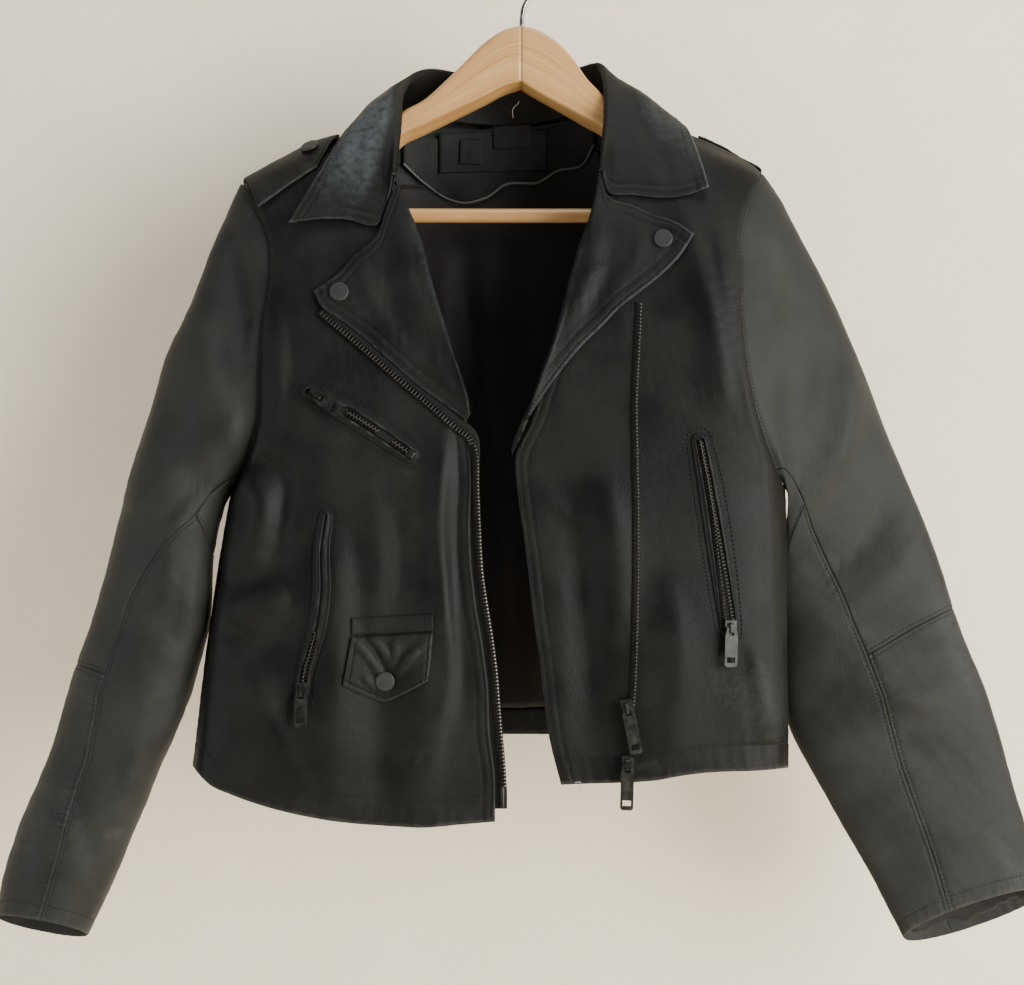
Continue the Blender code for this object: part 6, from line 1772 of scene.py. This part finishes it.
def snap(name, centre, normal):
    """A snap's cap, its profile turned round the panel's normal."""
    share, height = np.array(SNAP_PROFILE).T[..., None, None]
    first = unit(np.cross(normal, (0.3, 0.1, 1.0)))
    ring = circle(first, np.cross(normal, first), np.linspace(0, 2 * math.pi, 40, endpoint=False))
    grid = centre + SNAP_RADIUS * share * ring[None] + height * normal
    mesh_piece(name + "_cap", *capped(grid), "enamel", "snap", [name])


def snap_on(name, ground, at, lift):
    """A snap standing on what lies at a point as seen."""
    reach = SNAP_RADIUS * 0.8
    ring = np.array([(0, 0), (reach, 0), (0, reach), (-reach, 0), (0, -reach)]) + at
    places = ground.under(ring, 0.0)
    normal = unit(np.cross(places[1] - places[3], places[4] - places[2]))
    if normal[1] > 0:
        normal = -normal
    middle = places.mean(axis=0)
    stand = ((places - middle) @ normal).max()
    snap(name, middle + normal * (lift + stand), normal)


# Each strap's two ends: across, reach in front of the ridge, shift of the front corner, reach behind it
EPAULETTES = {
    "right": ((-221, 35.0, 11.0, -8.0), (-144.5, 28.0, -18.5, -8.0)),
    "left": ((191, -5.0, 0.0, -38.0), (141, -5.0, 0.0, -34.0)),
}
# Grid lines near an edge with one row of stitches
SINGLE_EDGE = TWIN_EDGE[:8]


def epaulette(side):
    """A shoulder strap over the ridge, from the sleeve seam to its snapped end near the collar."""
    long, wide = 90, 56
    rows = np.array(EPAULETTES[side], float)
    end, front_reach, shift, back_reach = (rows[0] + (rows[1] - rows[0]) * shares(long)[:, None]).T[..., None]
    around = back_reach + (front_reach - back_reach) * shares(wide)[None]
    across = end + shift * np.maximum(around / np.abs(front_reach), 0)
    angle = np.clip(np.abs(around) / RIDGE_RADIUS, 0, math.pi / 2)
    below = RIDGE_RADIUS * (1 - np.cos(angle)) + np.maximum(np.abs(around) - RIDGE_RADIUS * math.pi / 2, 0)
    down = ridge_down(across) + below
    depth = np.where(around > 0, front_depth(across, down), back_depth(across, down))
    base = placed(np.dstack([across, down, depth]))
    if grid_normals(base)[long // 2, wide // 2, 2] < 0:
        base = base[:, ::-1]
    base = raised(base, 0.5 + 0.5 * shares(long)[:, None] ** 2)
    grid = spaced(spaced(base, 1, SINGLE_EDGE, SINGLE_EDGE, 36), 0, PLAIN_SEAM, SINGLE_EDGE, 56)
    frames, rims = borders(grid), ("left", "right", "top")
    height = 0.2 + 0.35 * dapple(seen(grid), 18, 95) + sewn(
        frames, [(border, SEAM_LINES, 91 + number, 0.35, 0.4, 7, 8) for number, border in enumerate(rims)]
    )
    grid = raised(grid, height)
    rub = 0.6 * bell(np.minimum(frames["left"][0], frames["right"][0]), 1.6)
    rub += 0.3 * np.clip(dapple(seen(grid), 26, 96), 0, 1)
    panel(
        f"epaulette_{side}", grid, DOUBLED, "body", "leather", rub, [(border, SEAM_AT) for border in rims],
        "epaulettes", drop=0.9, trim=5.0, inward=False,
    )
    at = int(len(base) * 0.75), base.shape[1] // 2
    normal = grid_normals(base)[at]
    snap(f"epaulette_snap_{side}", base[at] + normal * (1.0 + DOUBLED + 0.3), normal)


# How much each pocket's welt has rubbed
POCKET_RUBS = {"chest_pocket": 0.55, "hand_pocket_right": 0.3, "hand_pocket_left": 0.3}
# How wide each opening stands, half across, at shares of its length; then the same for its rows of teeth, and
# the runs of it in which teeth show
OPENING = {
    "chest_pocket": (
        ((0, 0.3, 0.36, 1), (2.0, 2.0, 3.7, 3.7)), ((0, 1), (1.0, 1.0)), ((0.36, 0.66), (0.80, 0.97))
    ),
    "hand_pocket_left": (
        ((0, 0.3, 0.7, 1), (3.2, 3.4, 4.6, 5.8)), ((0, 0.4, 0.68, 1), (0.9, 1.0, 2.4, 3.7)), ((0, 1),)
    ),
    "hand_pocket_right": (((0, 0.58, 0.75, 1), (0.6, 0.6, 2.4, 3.2)), ((0, 1), (1.0, 1.1)), ((0.64, 1),)),
}
# A welt from its lip at the zip to its stitched outer edge: share of the way, height
WELT_PROFILE = ((0.0, 0.7), (0.02, 1.6), (0.10, 2.2), (0.24, 2.25), (0.40, 1.7), (0.55, 1.45), (0.66, 1.05),
                (0.78, 1.35), (0.92, 1.2), (1.0, 0.7))
# The welt's stitched line: share of the way, height
WELT_SEAM = 0.66, 1.05


def pocket(name, ground):
    """A zipped pocket: a welt round the opening, the closed teeth in it, and the topstitching outside it."""
    table = POCKETS[name]
    steps = 70
    path = even(table["path"], shares(steps))
    taper = np.sin(np.linspace(0.35, math.pi - 0.35, steps + 1)) ** 0.35
    way, start_way = unit(path[-1] - path[-2]), unit(path[0] - path[1])

    def ring_at(half, past):
        strip = band(path, half, steps, 2)
        turn = np.radians(np.linspace(20, 160, 9))[:, None]
        last, first = (strip[-1, 2] - strip[-1, 0]) / 2, (strip[0, 2] - strip[0, 0]) / 2
        return np.concatenate([
            strip[:, 0], path[-1] - last * np.cos(turn) + way * np.sin(turn) * past,
            strip[::-1, 2], path[0] + first * np.cos(turn) + start_way * np.sin(turn) * past,
        ])

    def sew(ring, lift):
        ring = np.concatenate([ring, ring[:1]])
        thread(ground.under(ring, lift), ground.normal(ring), "pockets", trim=0.0)

    lips, rows_apart, runs = OPENING[name]
    inner = ring_at(np.interp(shares(steps), *lips), 2.2)
    outer = ring_at(table["half_width"] * taper + 1.5, 6.5)
    share, lift = np.array(WELT_PROFILE).T[..., None]
    flat = inner[None] + (outer - inner)[None] * share[..., None]
    around = np.linspace(0, 60, flat.shape[1])
    lift = lift + 0.18 * wave(around, 101)[None] * share
    points, faces = closed_wall(ground.under(flat, lift), ground.under(flat, 0.1))
    rub = POCKET_RUBS[name] * bell(share - 0.15, 0.2) * np.clip(0.6 + 0.8 * wave(around, 102), 0, 1.4)[None]
    mesh_piece(
        name + "_welt_leather", points, faces, "body", "leather", [name + "_welt"],
        marks={"rub": np.concatenate([rub.ravel(), 0 * rub.ravel()])},
    )
    sew(ring_at(table["half_width"] * taper + 5.0, 11.0), 0.35)
    sew(inner + (outer - inner) * WELT_SEAM[0], WELT_SEAM[1])
    tape = band(path, 0.6 + np.interp(shares(steps), *rows_apart) + 1.9, steps, 6)
    slab(name + "_zip_tape", ground.under(tape, 0.35), 0.6, "tape", "gunmetal", [name + "_zip"])
    slid = table["slider"]
    for number, (first, last) in enumerate(runs):
        at = np.linspace(*((max(first, slid), last) if slid < 0.5 else (first, min(last, slid))), 40)
        teeth(f"{name}_teeth_{number + 1}", ground, even(path, at), 1.0, apart=np.interp(at, *rows_apart))
    if name == "chest_pocket":
        end_stop(ground, path[-1], way)


def end_stop(ground, at, way):
    """The pressed metal stop at the chest zip's lower end: a rounded square plate."""
    side = np.array([-way[1], way[0]])
    u = np.linspace(-1, 1, 9)
    square = np.sign(u) * np.abs(u) ** 0.8
    flat = at - way * 1.5 + (square[:, None, None] * way * 3.6 + square[None, :, None] * side * 3.3)
    height = 0.9 * (1 - np.maximum(np.abs(u)[:, None], np.abs(u)[None]) ** 6)
    slab("chest_pocket_end_stop", ground.under(flat, LEATHER + height), 0.5, "stop", "gunmetal", drop=0.2)


# Outline of a tooth seen from above: along its length from the tape, and across. Narrow neck, broad head
TOOTH = ((-1.0, -0.24), (0.45, -0.24), (0.70, -0.34), (0.93, -0.28), (1.0, 0.0), (0.93, 0.28), (0.70, 0.34),
         (0.45, 0.24), (-1.0, 0.24))
TOOTH_PITCH = 2.9


def teeth(name, ground, path, lift, apart=None, turned_to=(1,), reach=3.0, depth=None, polish_and_glint=(0.2,)):
    """Rows of moulded metal teeth along a path: one row at a zip's free edge, or two that stand apart.

    Each tooth is a bar with a rounded head. Those of one row point to the side that turned_to says, as a
    number or as a function of their places.
    """
    length = run_along(path)[-1]
    count = int(length / TOOTH_PITCH)
    outline = np.array(TOOTH)
    corners, shine = [], []
    for side in (turned_to if apart is None else (-1, 1)):
        at = (np.arange(count) + (0.75 if apart is None or side > 0 else 0.25)) / count
        places = even(path, at)
        side = side(places)[:, None] if callable(side) else side
        before, after = (even(path, np.clip(at + step / count, 0, 1)) for step in (-0.2, 0.2))
        ahead = unit(after - before)
        out = np.stack([-ahead[:, 1], ahead[:, 0]], axis=1) * side
        if apart is not None:
            places = places - out * np.interp(at, np.linspace(0, 1, len(apart)), apart)[:, None]
        corners.append(
            places[:, None] + out[:, None] * outline[None, :, :1] * reach / 2
            + ahead[:, None] * outline[None, :, 1:] * TOOTH_PITCH
        )
        shine.append(np.interp(at, np.linspace(0, 1, len(polish_and_glint)), polish_and_glint))
    corners = np.concatenate(corners)
    if depth is None:
        low, up = ground.under(corners, lift), ground.normal(corners)
    else:
        low = placed(np.dstack([corners, depth(corners) - lift]))
        up = np.array([0, -1.0, 0])
    centre = low.mean(axis=1, keepdims=True)
    rings = np.stack([low, low + up * 1.05, centre + (low - centre) * 0.72 + up * 1.5], axis=1)
    # the heads are painted paler: polish, and a painted glint
    heads = np.clip((outline[:, 0] - 0.3) / 0.4, 0, 1)[None] * np.array([0.1, 0.8, 1.0])[:, None]
    marks = {"rub": np.outer(np.concatenate(shine), heads.ravel()).ravel()}
    mesh_piece(name, *repeated(rings), "teeth", "gunmetal", marks=marks)


def repeated(rods):
    """Points and faces of many rods alike, given as one grid for each."""
    template, size = capped(rods[0])[1], rods[0][..., 0].size
    faces = [[corner + size * which for corner in face] for which in range(len(rods)) for face in template]
    return rods.reshape(-1, 3), faces


def coin_pocket(ground):
    """The coin pocket's flap with its pulled wrinkles, the stitched band above it, and its snap."""
    columns, rows = 70, 44
    u = np.linspace(-1, 1, columns + 1)
    top = np.column_stack([-103 + 33 * u, 549.5 - 1.6 * u])
    to_bottom = np.column_stack([-5.7 + 1.3 * u, 53 - 14.5 * np.abs(u) ** 1.3])
    grid = toward_eye(ground.under(top[None] + to_bottom[None] * shares(rows)[:, None, None], 0.9))
    grid = spaced(spaced(grid, 1, SINGLE_EDGE, SINGLE_EDGE, 48), 0, PLAIN_SEAM, SINGLE_EDGE, 40)
    view, frames, rims = seen(grid), borders(grid), ("left", "right", "top")
    wrinkles = creased(view, (
        (2.6, 1.7, -134, 552, -122, 566, -112, 582), (2.6, -1.3, -128, 551, -116, 564, -108, 578),
        (2.4, 1.5, -120, 552, -110, 562, -104, 574), (2.4, 1.4, -76, 556, -88, 568, -98, 582),
        (2.4, -1.1, -84, 553, -94, 564, -102, 576), (2.6, 1.3, -100, 552, -100, 562, -102, 572),
        (3.0, 0.9, -128, 580, -120, 588, -112, 594),
    ))
    height = wrinkles + sewn(
        frames, [(border, SEAM_LINES, 111 + number, 0.4, 0.45, 6.5, 8) for number, border in enumerate(rims)]
    )
    rub = 0.5 * bell(np.minimum.reduce([frames[border][0] for border in rims]), 1.5)
    rub += 0.25 * np.clip(wrinkles, 0, 1)
    panel(
        "coin_pocket_flap", raised(grid, np.maximum(height + 0.3, -0.3)), DOUBLED, "body", "leather", rub,
        [(border, SEAM_AT) for border in rims], "pockets", drop=0.9, inward=False,
    )
    strip = top[None] - np.array([0, 1.0]) * (1.4 + 13.5 * shares(14))[:, None, None]
    face, normals = laid(
        "coin_pocket_band_leather", ground.under(strip, 0.7), 1.0, "body", "leather", "coin_pocket_band",
        np.full(strip.shape[:2], 0.05),
    )
    for line in (2, 12):
        thread(face[line], normals[line], "pockets", trim=3.0)
    snap_on("coin_pocket_snap", ground, (-108.8, 586), 0.9 + DOUBLED + 0.75)


# Where the main zip runs as seen: on the left front, along the right lapel, and along the right free edge
LEFT_ZIP = (
    (94.6, 283), (93, 320), (91, 361.6), (91.4, 402.4), (92, 443.2), (92, 483.2), (91.6, 524), (89.6, 594.4),
    (87, 625), (85.6, 658),
)
RIGHT_ZIP = (
    (-161, 290.5), (-144, 305), (-120.4, 325), (-96, 346.4), (-71, 367.2), (-51.5, 384), (-41, 392),
    (-37.2, 404), (-36, 431), (-34.6, 467), (-32.6, 500), (-28.6, 528), (-24.8, 552), (-21.4, 578.4),
    (-19, 608.8), (-17.4, 629.6), (-15.6, 649.6), (-14.2, 671),
)
# Half width of the right tape, and how far it is moved out on the free edge and in on the lapel
TAPE_HALF = 5.6
TAPE_SHIFT = 2.7


def main_zip(grounds):
    """The main zip's two halves: a tape along each free edge with its row of teeth, and the end pin."""
    strip = grounds["left"].under(band(LEFT_ZIP, 2.8, 150, 6), 0.4)
    slab("main_zip_left_tape", strip, 0.7, "tape", "gunmetal", ["main_zip_left"])
    line = even(LEFT_ZIP, shares(150))
    teeth("main_zip_left_teeth", grounds["left"], line, 1.0, turned_to=(-1,), reach=4.2)
    line = even(RIGHT_ZIP, shares(220))
    # along the lapel the tape runs in under its edge, and below it in behind the front's edge
    run = even(np.concatenate([line, [(-14.0, 688.5)]]), shares(230))
    free = np.interp(run[:, 1], (385, 412), (0, 1))[:, None]
    flat = band(run, TAPE_HALF, 230, 12)
    side = (flat[:, -1] - flat[:, 0]) / (2 * TAPE_HALF)
    shift = TAPE_SHIFT * (2 * free - 1)
    flat = flat + (side * shift)[:, None]
    offset = np.linspace(-TAPE_HALF, TAPE_HALF, 13)[None] + shift
    behind = np.clip((offset - 1.6) / 1.2, 0, 1) * free

    def lift(down):
        return np.interp(down, (400, 450), (1.0, 0.1))

    depth = grounds["right"].depth(flat) - lift(run[:, 1:]) * (1 - behind) + 2.3 * behind
    made, _, _, tape = slab(
        "main_zip_right_tape", placed(np.dstack([flat, depth])), 0.7, "tape", "gunmetal", ["main_zip_right"]
    )
    teeth(
        "main_zip_right_teeth", grounds["right"], line, 0.6, reach=5.0,
        # the lower stretch of these teeth has the strongest painted glints
        polish_and_glint=(0.1, 0.15, 0.2, 0.7, 0.8, 0.6),
        turned_to=(lambda places: np.where(places[:, 1] > 398, -1.0, 1.0),),
        depth=lambda points: grounds["right"].depth(points) - lift(points[..., 1]),
    )
    declare(tape)
    across, depth = -14.6, front_depth(-14.6, 680.0) - 0.9
    pin = placed([(across, down, depth) for down in np.linspace(671.8, 687, 12)])
    rod("main_zip_end_pin", pin, 1.4, 14, "gunmetal", "gunmetal", ["main_zip_pin"], cap=0.6)


def kept_fittings():
    """Sliders and pulls keep their solids, with a plated finish and their edges rounded."""
    for name in (part["node"] for part in frame["record"]["subparts"]):
        if name.endswith(("_slider", "_pull")):
            piece = bpy.data.objects[name]
            for holder in piece.material_slots:
                holder.material = finish("painted" if name.startswith("chest") else "gunmetal")
            rounding = piece.modifiers.new("rounded_edges", "BEVEL")
            rounding.width = 0.25 * MM
            rounding.segments = 2
            rounding.limit_method = "ANGLE"


# Sewing

# A stitch along its length: share from end to end, share of its radius, share of its height
STITCH = ((-0.5, 0.35, -0.8), (-0.2, 1.0, 0.25), (0.2, 1.0, 0.25), (0.5, 0.35, -0.8))


def stitches(spacing):
    """Rows of topstitching: a short bowed rod for each stitch, its ends sunk in the leather."""
    share, swell, bow = np.array(STITCH).T[..., None]
    length, radius = spacing * 0.72, 0.42
    angle = np.linspace(0, 2 * math.pi, 4, endpoint=False) + math.pi / 4
    groups = {}
    for places, normals, group, trim in SEAMS:
        run = run_along(places)
        count = int((run[-1] - 2 * trim) / spacing)
        rods = groups.setdefault(group, [])
        if count < 2:
            continue
        at = trim + (np.arange(count) + 0.5) * (run[-1] - 2 * trim) / count

        def read(values, where):
            return np.stack([np.interp(where, run, part) for part in values.T], axis=1)

        ahead = unit(read(places, at + 0.6) - read(places, at - 0.6))
        side = unit(np.cross(ahead, read(normals, at)))
        up = np.cross(side, ahead)
        spine = read(places, at)[:, None] + ahead[:, None] * share * length + up[:, None] * bow * radius
        rods.append(spine[:, :, None] + circle(side, up, angle)[:, None] * (radius * swell)[..., None])
    for group, rods in groups.items():
        mesh_piece(f"stitching_{group}", *repeated(np.concatenate(rods)), "thread", "leather")


def loose_ends():
    """Threads that have come loose at the hems, each a thin curl."""
    droop = np.linspace(0, 1, 26)
    for name, at, reach, curl in (
        ("loose_thread_hem_left", (43.2, 667.6), (6.0, 5.0), 2.0),
        ("loose_thread_hem_right", (177.6, 661.0), (-3.0, 9.0), 1.4),
    ):
        across = at[0] + reach[0] * droop + curl * np.sin(5 * droop)
        down = at[1] + reach[1] * droop - curl * np.sin(4 * droop)
        line = placed(np.column_stack([across, down, front_depth(across, down) - 1.0]))
        rod(name, line, 0.22, 5, "pale_thread", "leather")


# Stage


def stage_piece(name, corners, paint):
    """A large flat sheet of the studio, from its four corners in metres."""
    mesh = bpy.data.meshes.new(name)
    mesh.from_pydata(corners, [], [(0, 1, 2, 3)])
    mesh.materials.append(paint)
    made = bpy.data.objects.new(name, mesh)
    bpy.context.scene.collection.objects.link(made)


def plaster():
    """Off-white painted plaster: a faint roll texture, and clear from behind so that the back can be seen."""
    made, tree, shader = finish_named("painted_plaster", Roughness=0.85)
    mottle = noise(tree, add(tree, "TexCoord").outputs["Object"], per_metre(120.0), 3.0)
    paint = swatch("wall")
    darker = tuple(part * 0.95 for part in paint[:3]) + (1.0,)
    feed(tree, shader, {"Base Color": ramp(tree, mottle, ((0.3, darker), (0.7, paint)))})
    behind = add(tree, "NewGeometry").outputs["Backfacing"]
    clear = add(tree, "BsdfTransparent").outputs["BSDF"]
    both = add(tree, "MixShader", {0: behind, 1: shader.outputs["BSDF"], 2: clear}).outputs["Shader"]
    output = next(node for node in tree.nodes if node.type == "OUTPUT_MATERIAL")
    feed(tree, output, {"Surface": both})
    return made


def light(name, place, aim, size, watts, tint):
    """A square soft light at a place in metres, turned to what it aims at."""
    data = bpy.data.lights.new(name, "AREA")
    data.shape, data.size, data.energy, data.color = "SQUARE", size, watts, tint
    made = bpy.data.objects.new(name, data)
    made.location = place
    way = Vector(aim) - Vector(place)
    made.rotation_euler = way.to_track_quat("-Z", "Y").to_euler()
    bpy.context.scene.collection.objects.link(made)


def stage(sizes):
    """Camera at the photograph's place, a pale wall close behind, a pale floor, and soft studio light."""
    data = bpy.data.cameras.new("camera")
    data.sensor_width = SENSOR_WIDTH
    data.sensor_fit = "HORIZONTAL"
    data.lens = SENSOR_WIDTH * EYE_DISTANCE / PICTURE_WIDTH
    camera = bpy.data.objects.new("camera", data)
    camera.location = (EYE_ACROSS * MM, -EYE_DISTANCE * MM, -EYE_DOWN * MM)
    camera.rotation_euler = (math.pi / 2, 0, 0)
    bpy.context.scene.collection.objects.link(camera)
    bpy.context.scene.camera = camera
    far, low = sizes.wall_distance, sizes.floor_height
    paint = plaster()
    stage_piece("wall", [(-3, far, low), (3, far, low), (3, far, 2), (-3, far, 2)], paint)
    stage_piece("floor", [(-3, -3, low), (3, -3, low), (3, far, low), (-3, far, low)], paint)
    world = bpy.data.worlds.new("studio")
    bpy.context.scene.world = world
    world.use_nodes = True
    background = world.node_tree.nodes["Background"]
    background.inputs["Color"].default_value = colour("#e9ebee")
    background.inputs["Strength"].default_value = sizes.ambient
    middle = (0.0, 0.0, -0.42)
    light("key", (1.9, -1.6, -0.3), middle, 1.8, sizes.key_power, (1.0, 0.985, 0.96))
    light("fill", (-2.0, -1.0, -0.5), (-0.3, 0.0, -0.5), 1.2, sizes.fill_power, (0.95, 0.97, 1.0))
    light("top", (0.2, -0.6, 1.4), middle, 0.9, sizes.top_power, (1.0, 1.0, 1.0))
    light("behind", (-0.9, 1.9, 0.4), middle, 1.4, sizes.back_power, (0.96, 0.98, 1.0))


# Sizes and colours that a user would change


def size(name, default, description, **more):
    return bpy.props.FloatProperty(name=name, default=default, description=description, **more)


def tint(name, code, description):
    return bpy.props.FloatVectorProperty(
        name=name, description=description, default=colour(code), size=4, subtype="COLOR", min=0, max=1
    )


class JacketSizes(bpy.types.PropertyGroup):
    stitch_spacing: size("Stitch spacing", 3.3, "Length of cloth for each stitch, in millimetres", min=2.0)
    wall_distance: size("Wall distance", 0.16, "How far behind the hook the wall stands", unit="LENGTH")
    floor_height: size("Floor height", -1.35, "Height of the floor under the hook", unit="LENGTH")
    ambient: size("Ambient", 0.23, "Strength of the room's own light")
    key_power: size("Key light", 135.0, "Main soft light", unit="POWER")
    fill_power: size("Fill light", 22.0, "Second soft light", unit="POWER")
    back_power: size("Back light", 26.0, "Light behind the wall, for looking at the back", unit="POWER")
    top_power: size("Top light", 15.0, "Light from above", unit="POWER")


class JacketColours(bpy.types.PropertyGroup):
    leather: tint("Leather", "#090908", "Body of the cowhide")
    leather_light: tint("Leather, lighter", "#151614", "The cowhide's paler parts")
    # also the piping's base colour, where it is a painted highlight
    worn: tint("Worn leather", "#3c3e3c", "Where edges and creases have rubbed")
    # wear on the collar, and a painted sheen along its roll
    collar_worn: tint("Worn collar", "#3d4245", "Where the collar has gone blue-grey")
    # the sleeves' lighter greys are a painted sheen of the side light on the body's black hide
    sleeve: tint("Sleeve leather", "#1e1f1e", "Outer sleeves")
    sleeve_light: tint("Sleeve leather, lighter", "#292a28", "Paler parts of the sleeves")
    lining: tint("Lining", "#0c0907", "Viscose lining")
    lining_light: tint("Lining, lighter", "#120d0b", "Lining where its folds catch light")
    wood: tint("Wood", "#b98d56", "Beech of the hanger")
    wood_dark: tint("Wood, darker", "#ab7d46", "Late wood")
    wood_light: tint("Wood, lighter", "#c59e68", "Early wood")
    wall: tint("Wall", "#f7ecd3", "Painted wall and floor")


# Cloth grids that later pieces lie on, by name
GROUNDS = {}


class BuildBody(bpy.types.Operator):
    """Fronts and back of the jacket, folded and topstitched"""

    bl_idname = "jacket.body"
    bl_label = "Body"

    def execute(self, context):
        for side in ("left", "right"):
            GROUNDS[side] = front(side)
        GROUNDS["back"] = back()
        return {"FINISHED"}


class BuildSleeves(bpy.types.Operator):
    """Both sleeves with their gussets and the linings in their cuffs"""

    bl_idname = "jacket.sleeves"
    bl_label = "Sleeves"

    def execute(self, context):
        for side in ("left", "right"):
            sleeve(side)
            cuff_lining(side, sleeve_ring(side))
        return {"FINISHED"}


class BuildInside(bpy.types.Operator):
    """Neck facing, piping, lining, blank labels and turned-up hem"""

    bl_idname = "jacket.inside"
    bl_label = "Inside"

    def execute(self, context):
        inner_pieces(GROUNDS["back"])
        return {"FINISHED"}


class BuildCollar(bpy.types.Operator):
    """Collar and both lapels with their snaps"""

    bl_idname = "jacket.collar"
    bl_label = "Collar and lapels"

    def execute(self, context):
        collar(GROUNDS)
        lapels = {side: lapel(side, GROUNDS[side]) for side in ("left", "right")}
        snap_on("lapel_snap_left", lapels["left"], (113.6, 232.8), 0.3)
        snap_on("lapel_snap_right", lapels["right"], (-145.6, 275.2), 0.3)
        return {"FINISHED"}


class BuildStraps(bpy.types.Operator):
    """Both epaulettes with their snaps"""

    bl_idname = "jacket.straps"
    bl_label = "Epaulettes"

    def execute(self, context):
        for side in ("left", "right"):
            epaulette(side)
        return {"FINISHED"}


class BuildPockets(bpy.types.Operator):
    """Zipped pockets and the coin pocket"""

    bl_idname = "jacket.pockets"
    bl_label = "Pockets"

    def execute(self, context):
        for name in ("chest_pocket", "hand_pocket_right", "hand_pocket_left"):
            pocket(name, GROUNDS[POCKETS[name]["side"]])
        coin_pocket(GROUNDS["right"])
        return {"FINISHED"}


class BuildZip(bpy.types.Operator):
    """Main zip, and the finish of all sliders and pulls"""

    bl_idname = "jacket.zip"
    bl_label = "Main zip and sliders"

    def execute(self, context):
        main_zip(GROUNDS)
        kept_fittings()
        return {"FINISHED"}


class BuildSewing(bpy.types.Operator):
    """Topstitching along the seams, and loose ends of thread"""

    bl_idname = "jacket.sewing"
    bl_label = "Sewing"

    def execute(self, context):
        stitches(context.scene.jacket_sizes.stitch_spacing)
        loose_ends()
        return {"FINISHED"}


class BuildHanger(bpy.types.Operator):
    """Wooden hanger with its bar and hook"""

    bl_idname = "jacket.hanger"
    bl_label = "Hanger"

    def execute(self, context):
        for side in ("left", "right"):
            hanger_arm(side)
        hook_and_bar()
        return {"FINISHED"}


class BuildStage(bpy.types.Operator):
    """Camera, wall, floor and soft light"""

    bl_idname = "jacket.stage"
    bl_label = "Stage"

    def execute(self, context):
        stage(context.scene.jacket_sizes)
        return {"FINISHED"}


STEPS = (
    BuildStage, BuildBody, BuildSleeves, BuildInside, BuildCollar, BuildStraps, BuildPockets, BuildZip,
    BuildSewing, BuildHanger,
)


class JacketPanel(bpy.types.Panel):
    """Lists the jacket's operators, sizes and colours"""

    bl_idname = "VIEW3D_PT_jacket"
    bl_label = "Leather jacket"
    bl_space_type = "VIEW_3D"
    bl_region_type = "UI"
    bl_category = "Jacket"

    def draw(self, context):
        for step in STEPS:
            self.layout.operator(step.bl_idname)
        for group in (context.scene.jacket_sizes, context.scene.jacket_colours):
            for name in group.bl_rna.properties.keys():
                if name not in ("rna_type", "name"):
                    self.layout.prop(group, name)


CLASSES = (JacketSizes, JacketColours, *STEPS, JacketPanel)


def register():
    for item in CLASSES:
        bpy.utils.register_class(item)
    bpy.types.Scene.jacket_sizes = bpy.props.PointerProperty(type=JacketSizes)
    bpy.types.Scene.jacket_colours = bpy.props.PointerProperty(type=JacketColours)


def unregister():
    del bpy.types.Scene.jacket_sizes
    del bpy.types.Scene.jacket_colours
    for item in reversed(CLASSES):
        bpy.utils.unregister_class(item)


def main():
    register()
    for step in STEPS:
        group, name = step.bl_idname.split(".")
        getattr(getattr(bpy.ops, group), name)()


if __name__ == "__main__":
    main()
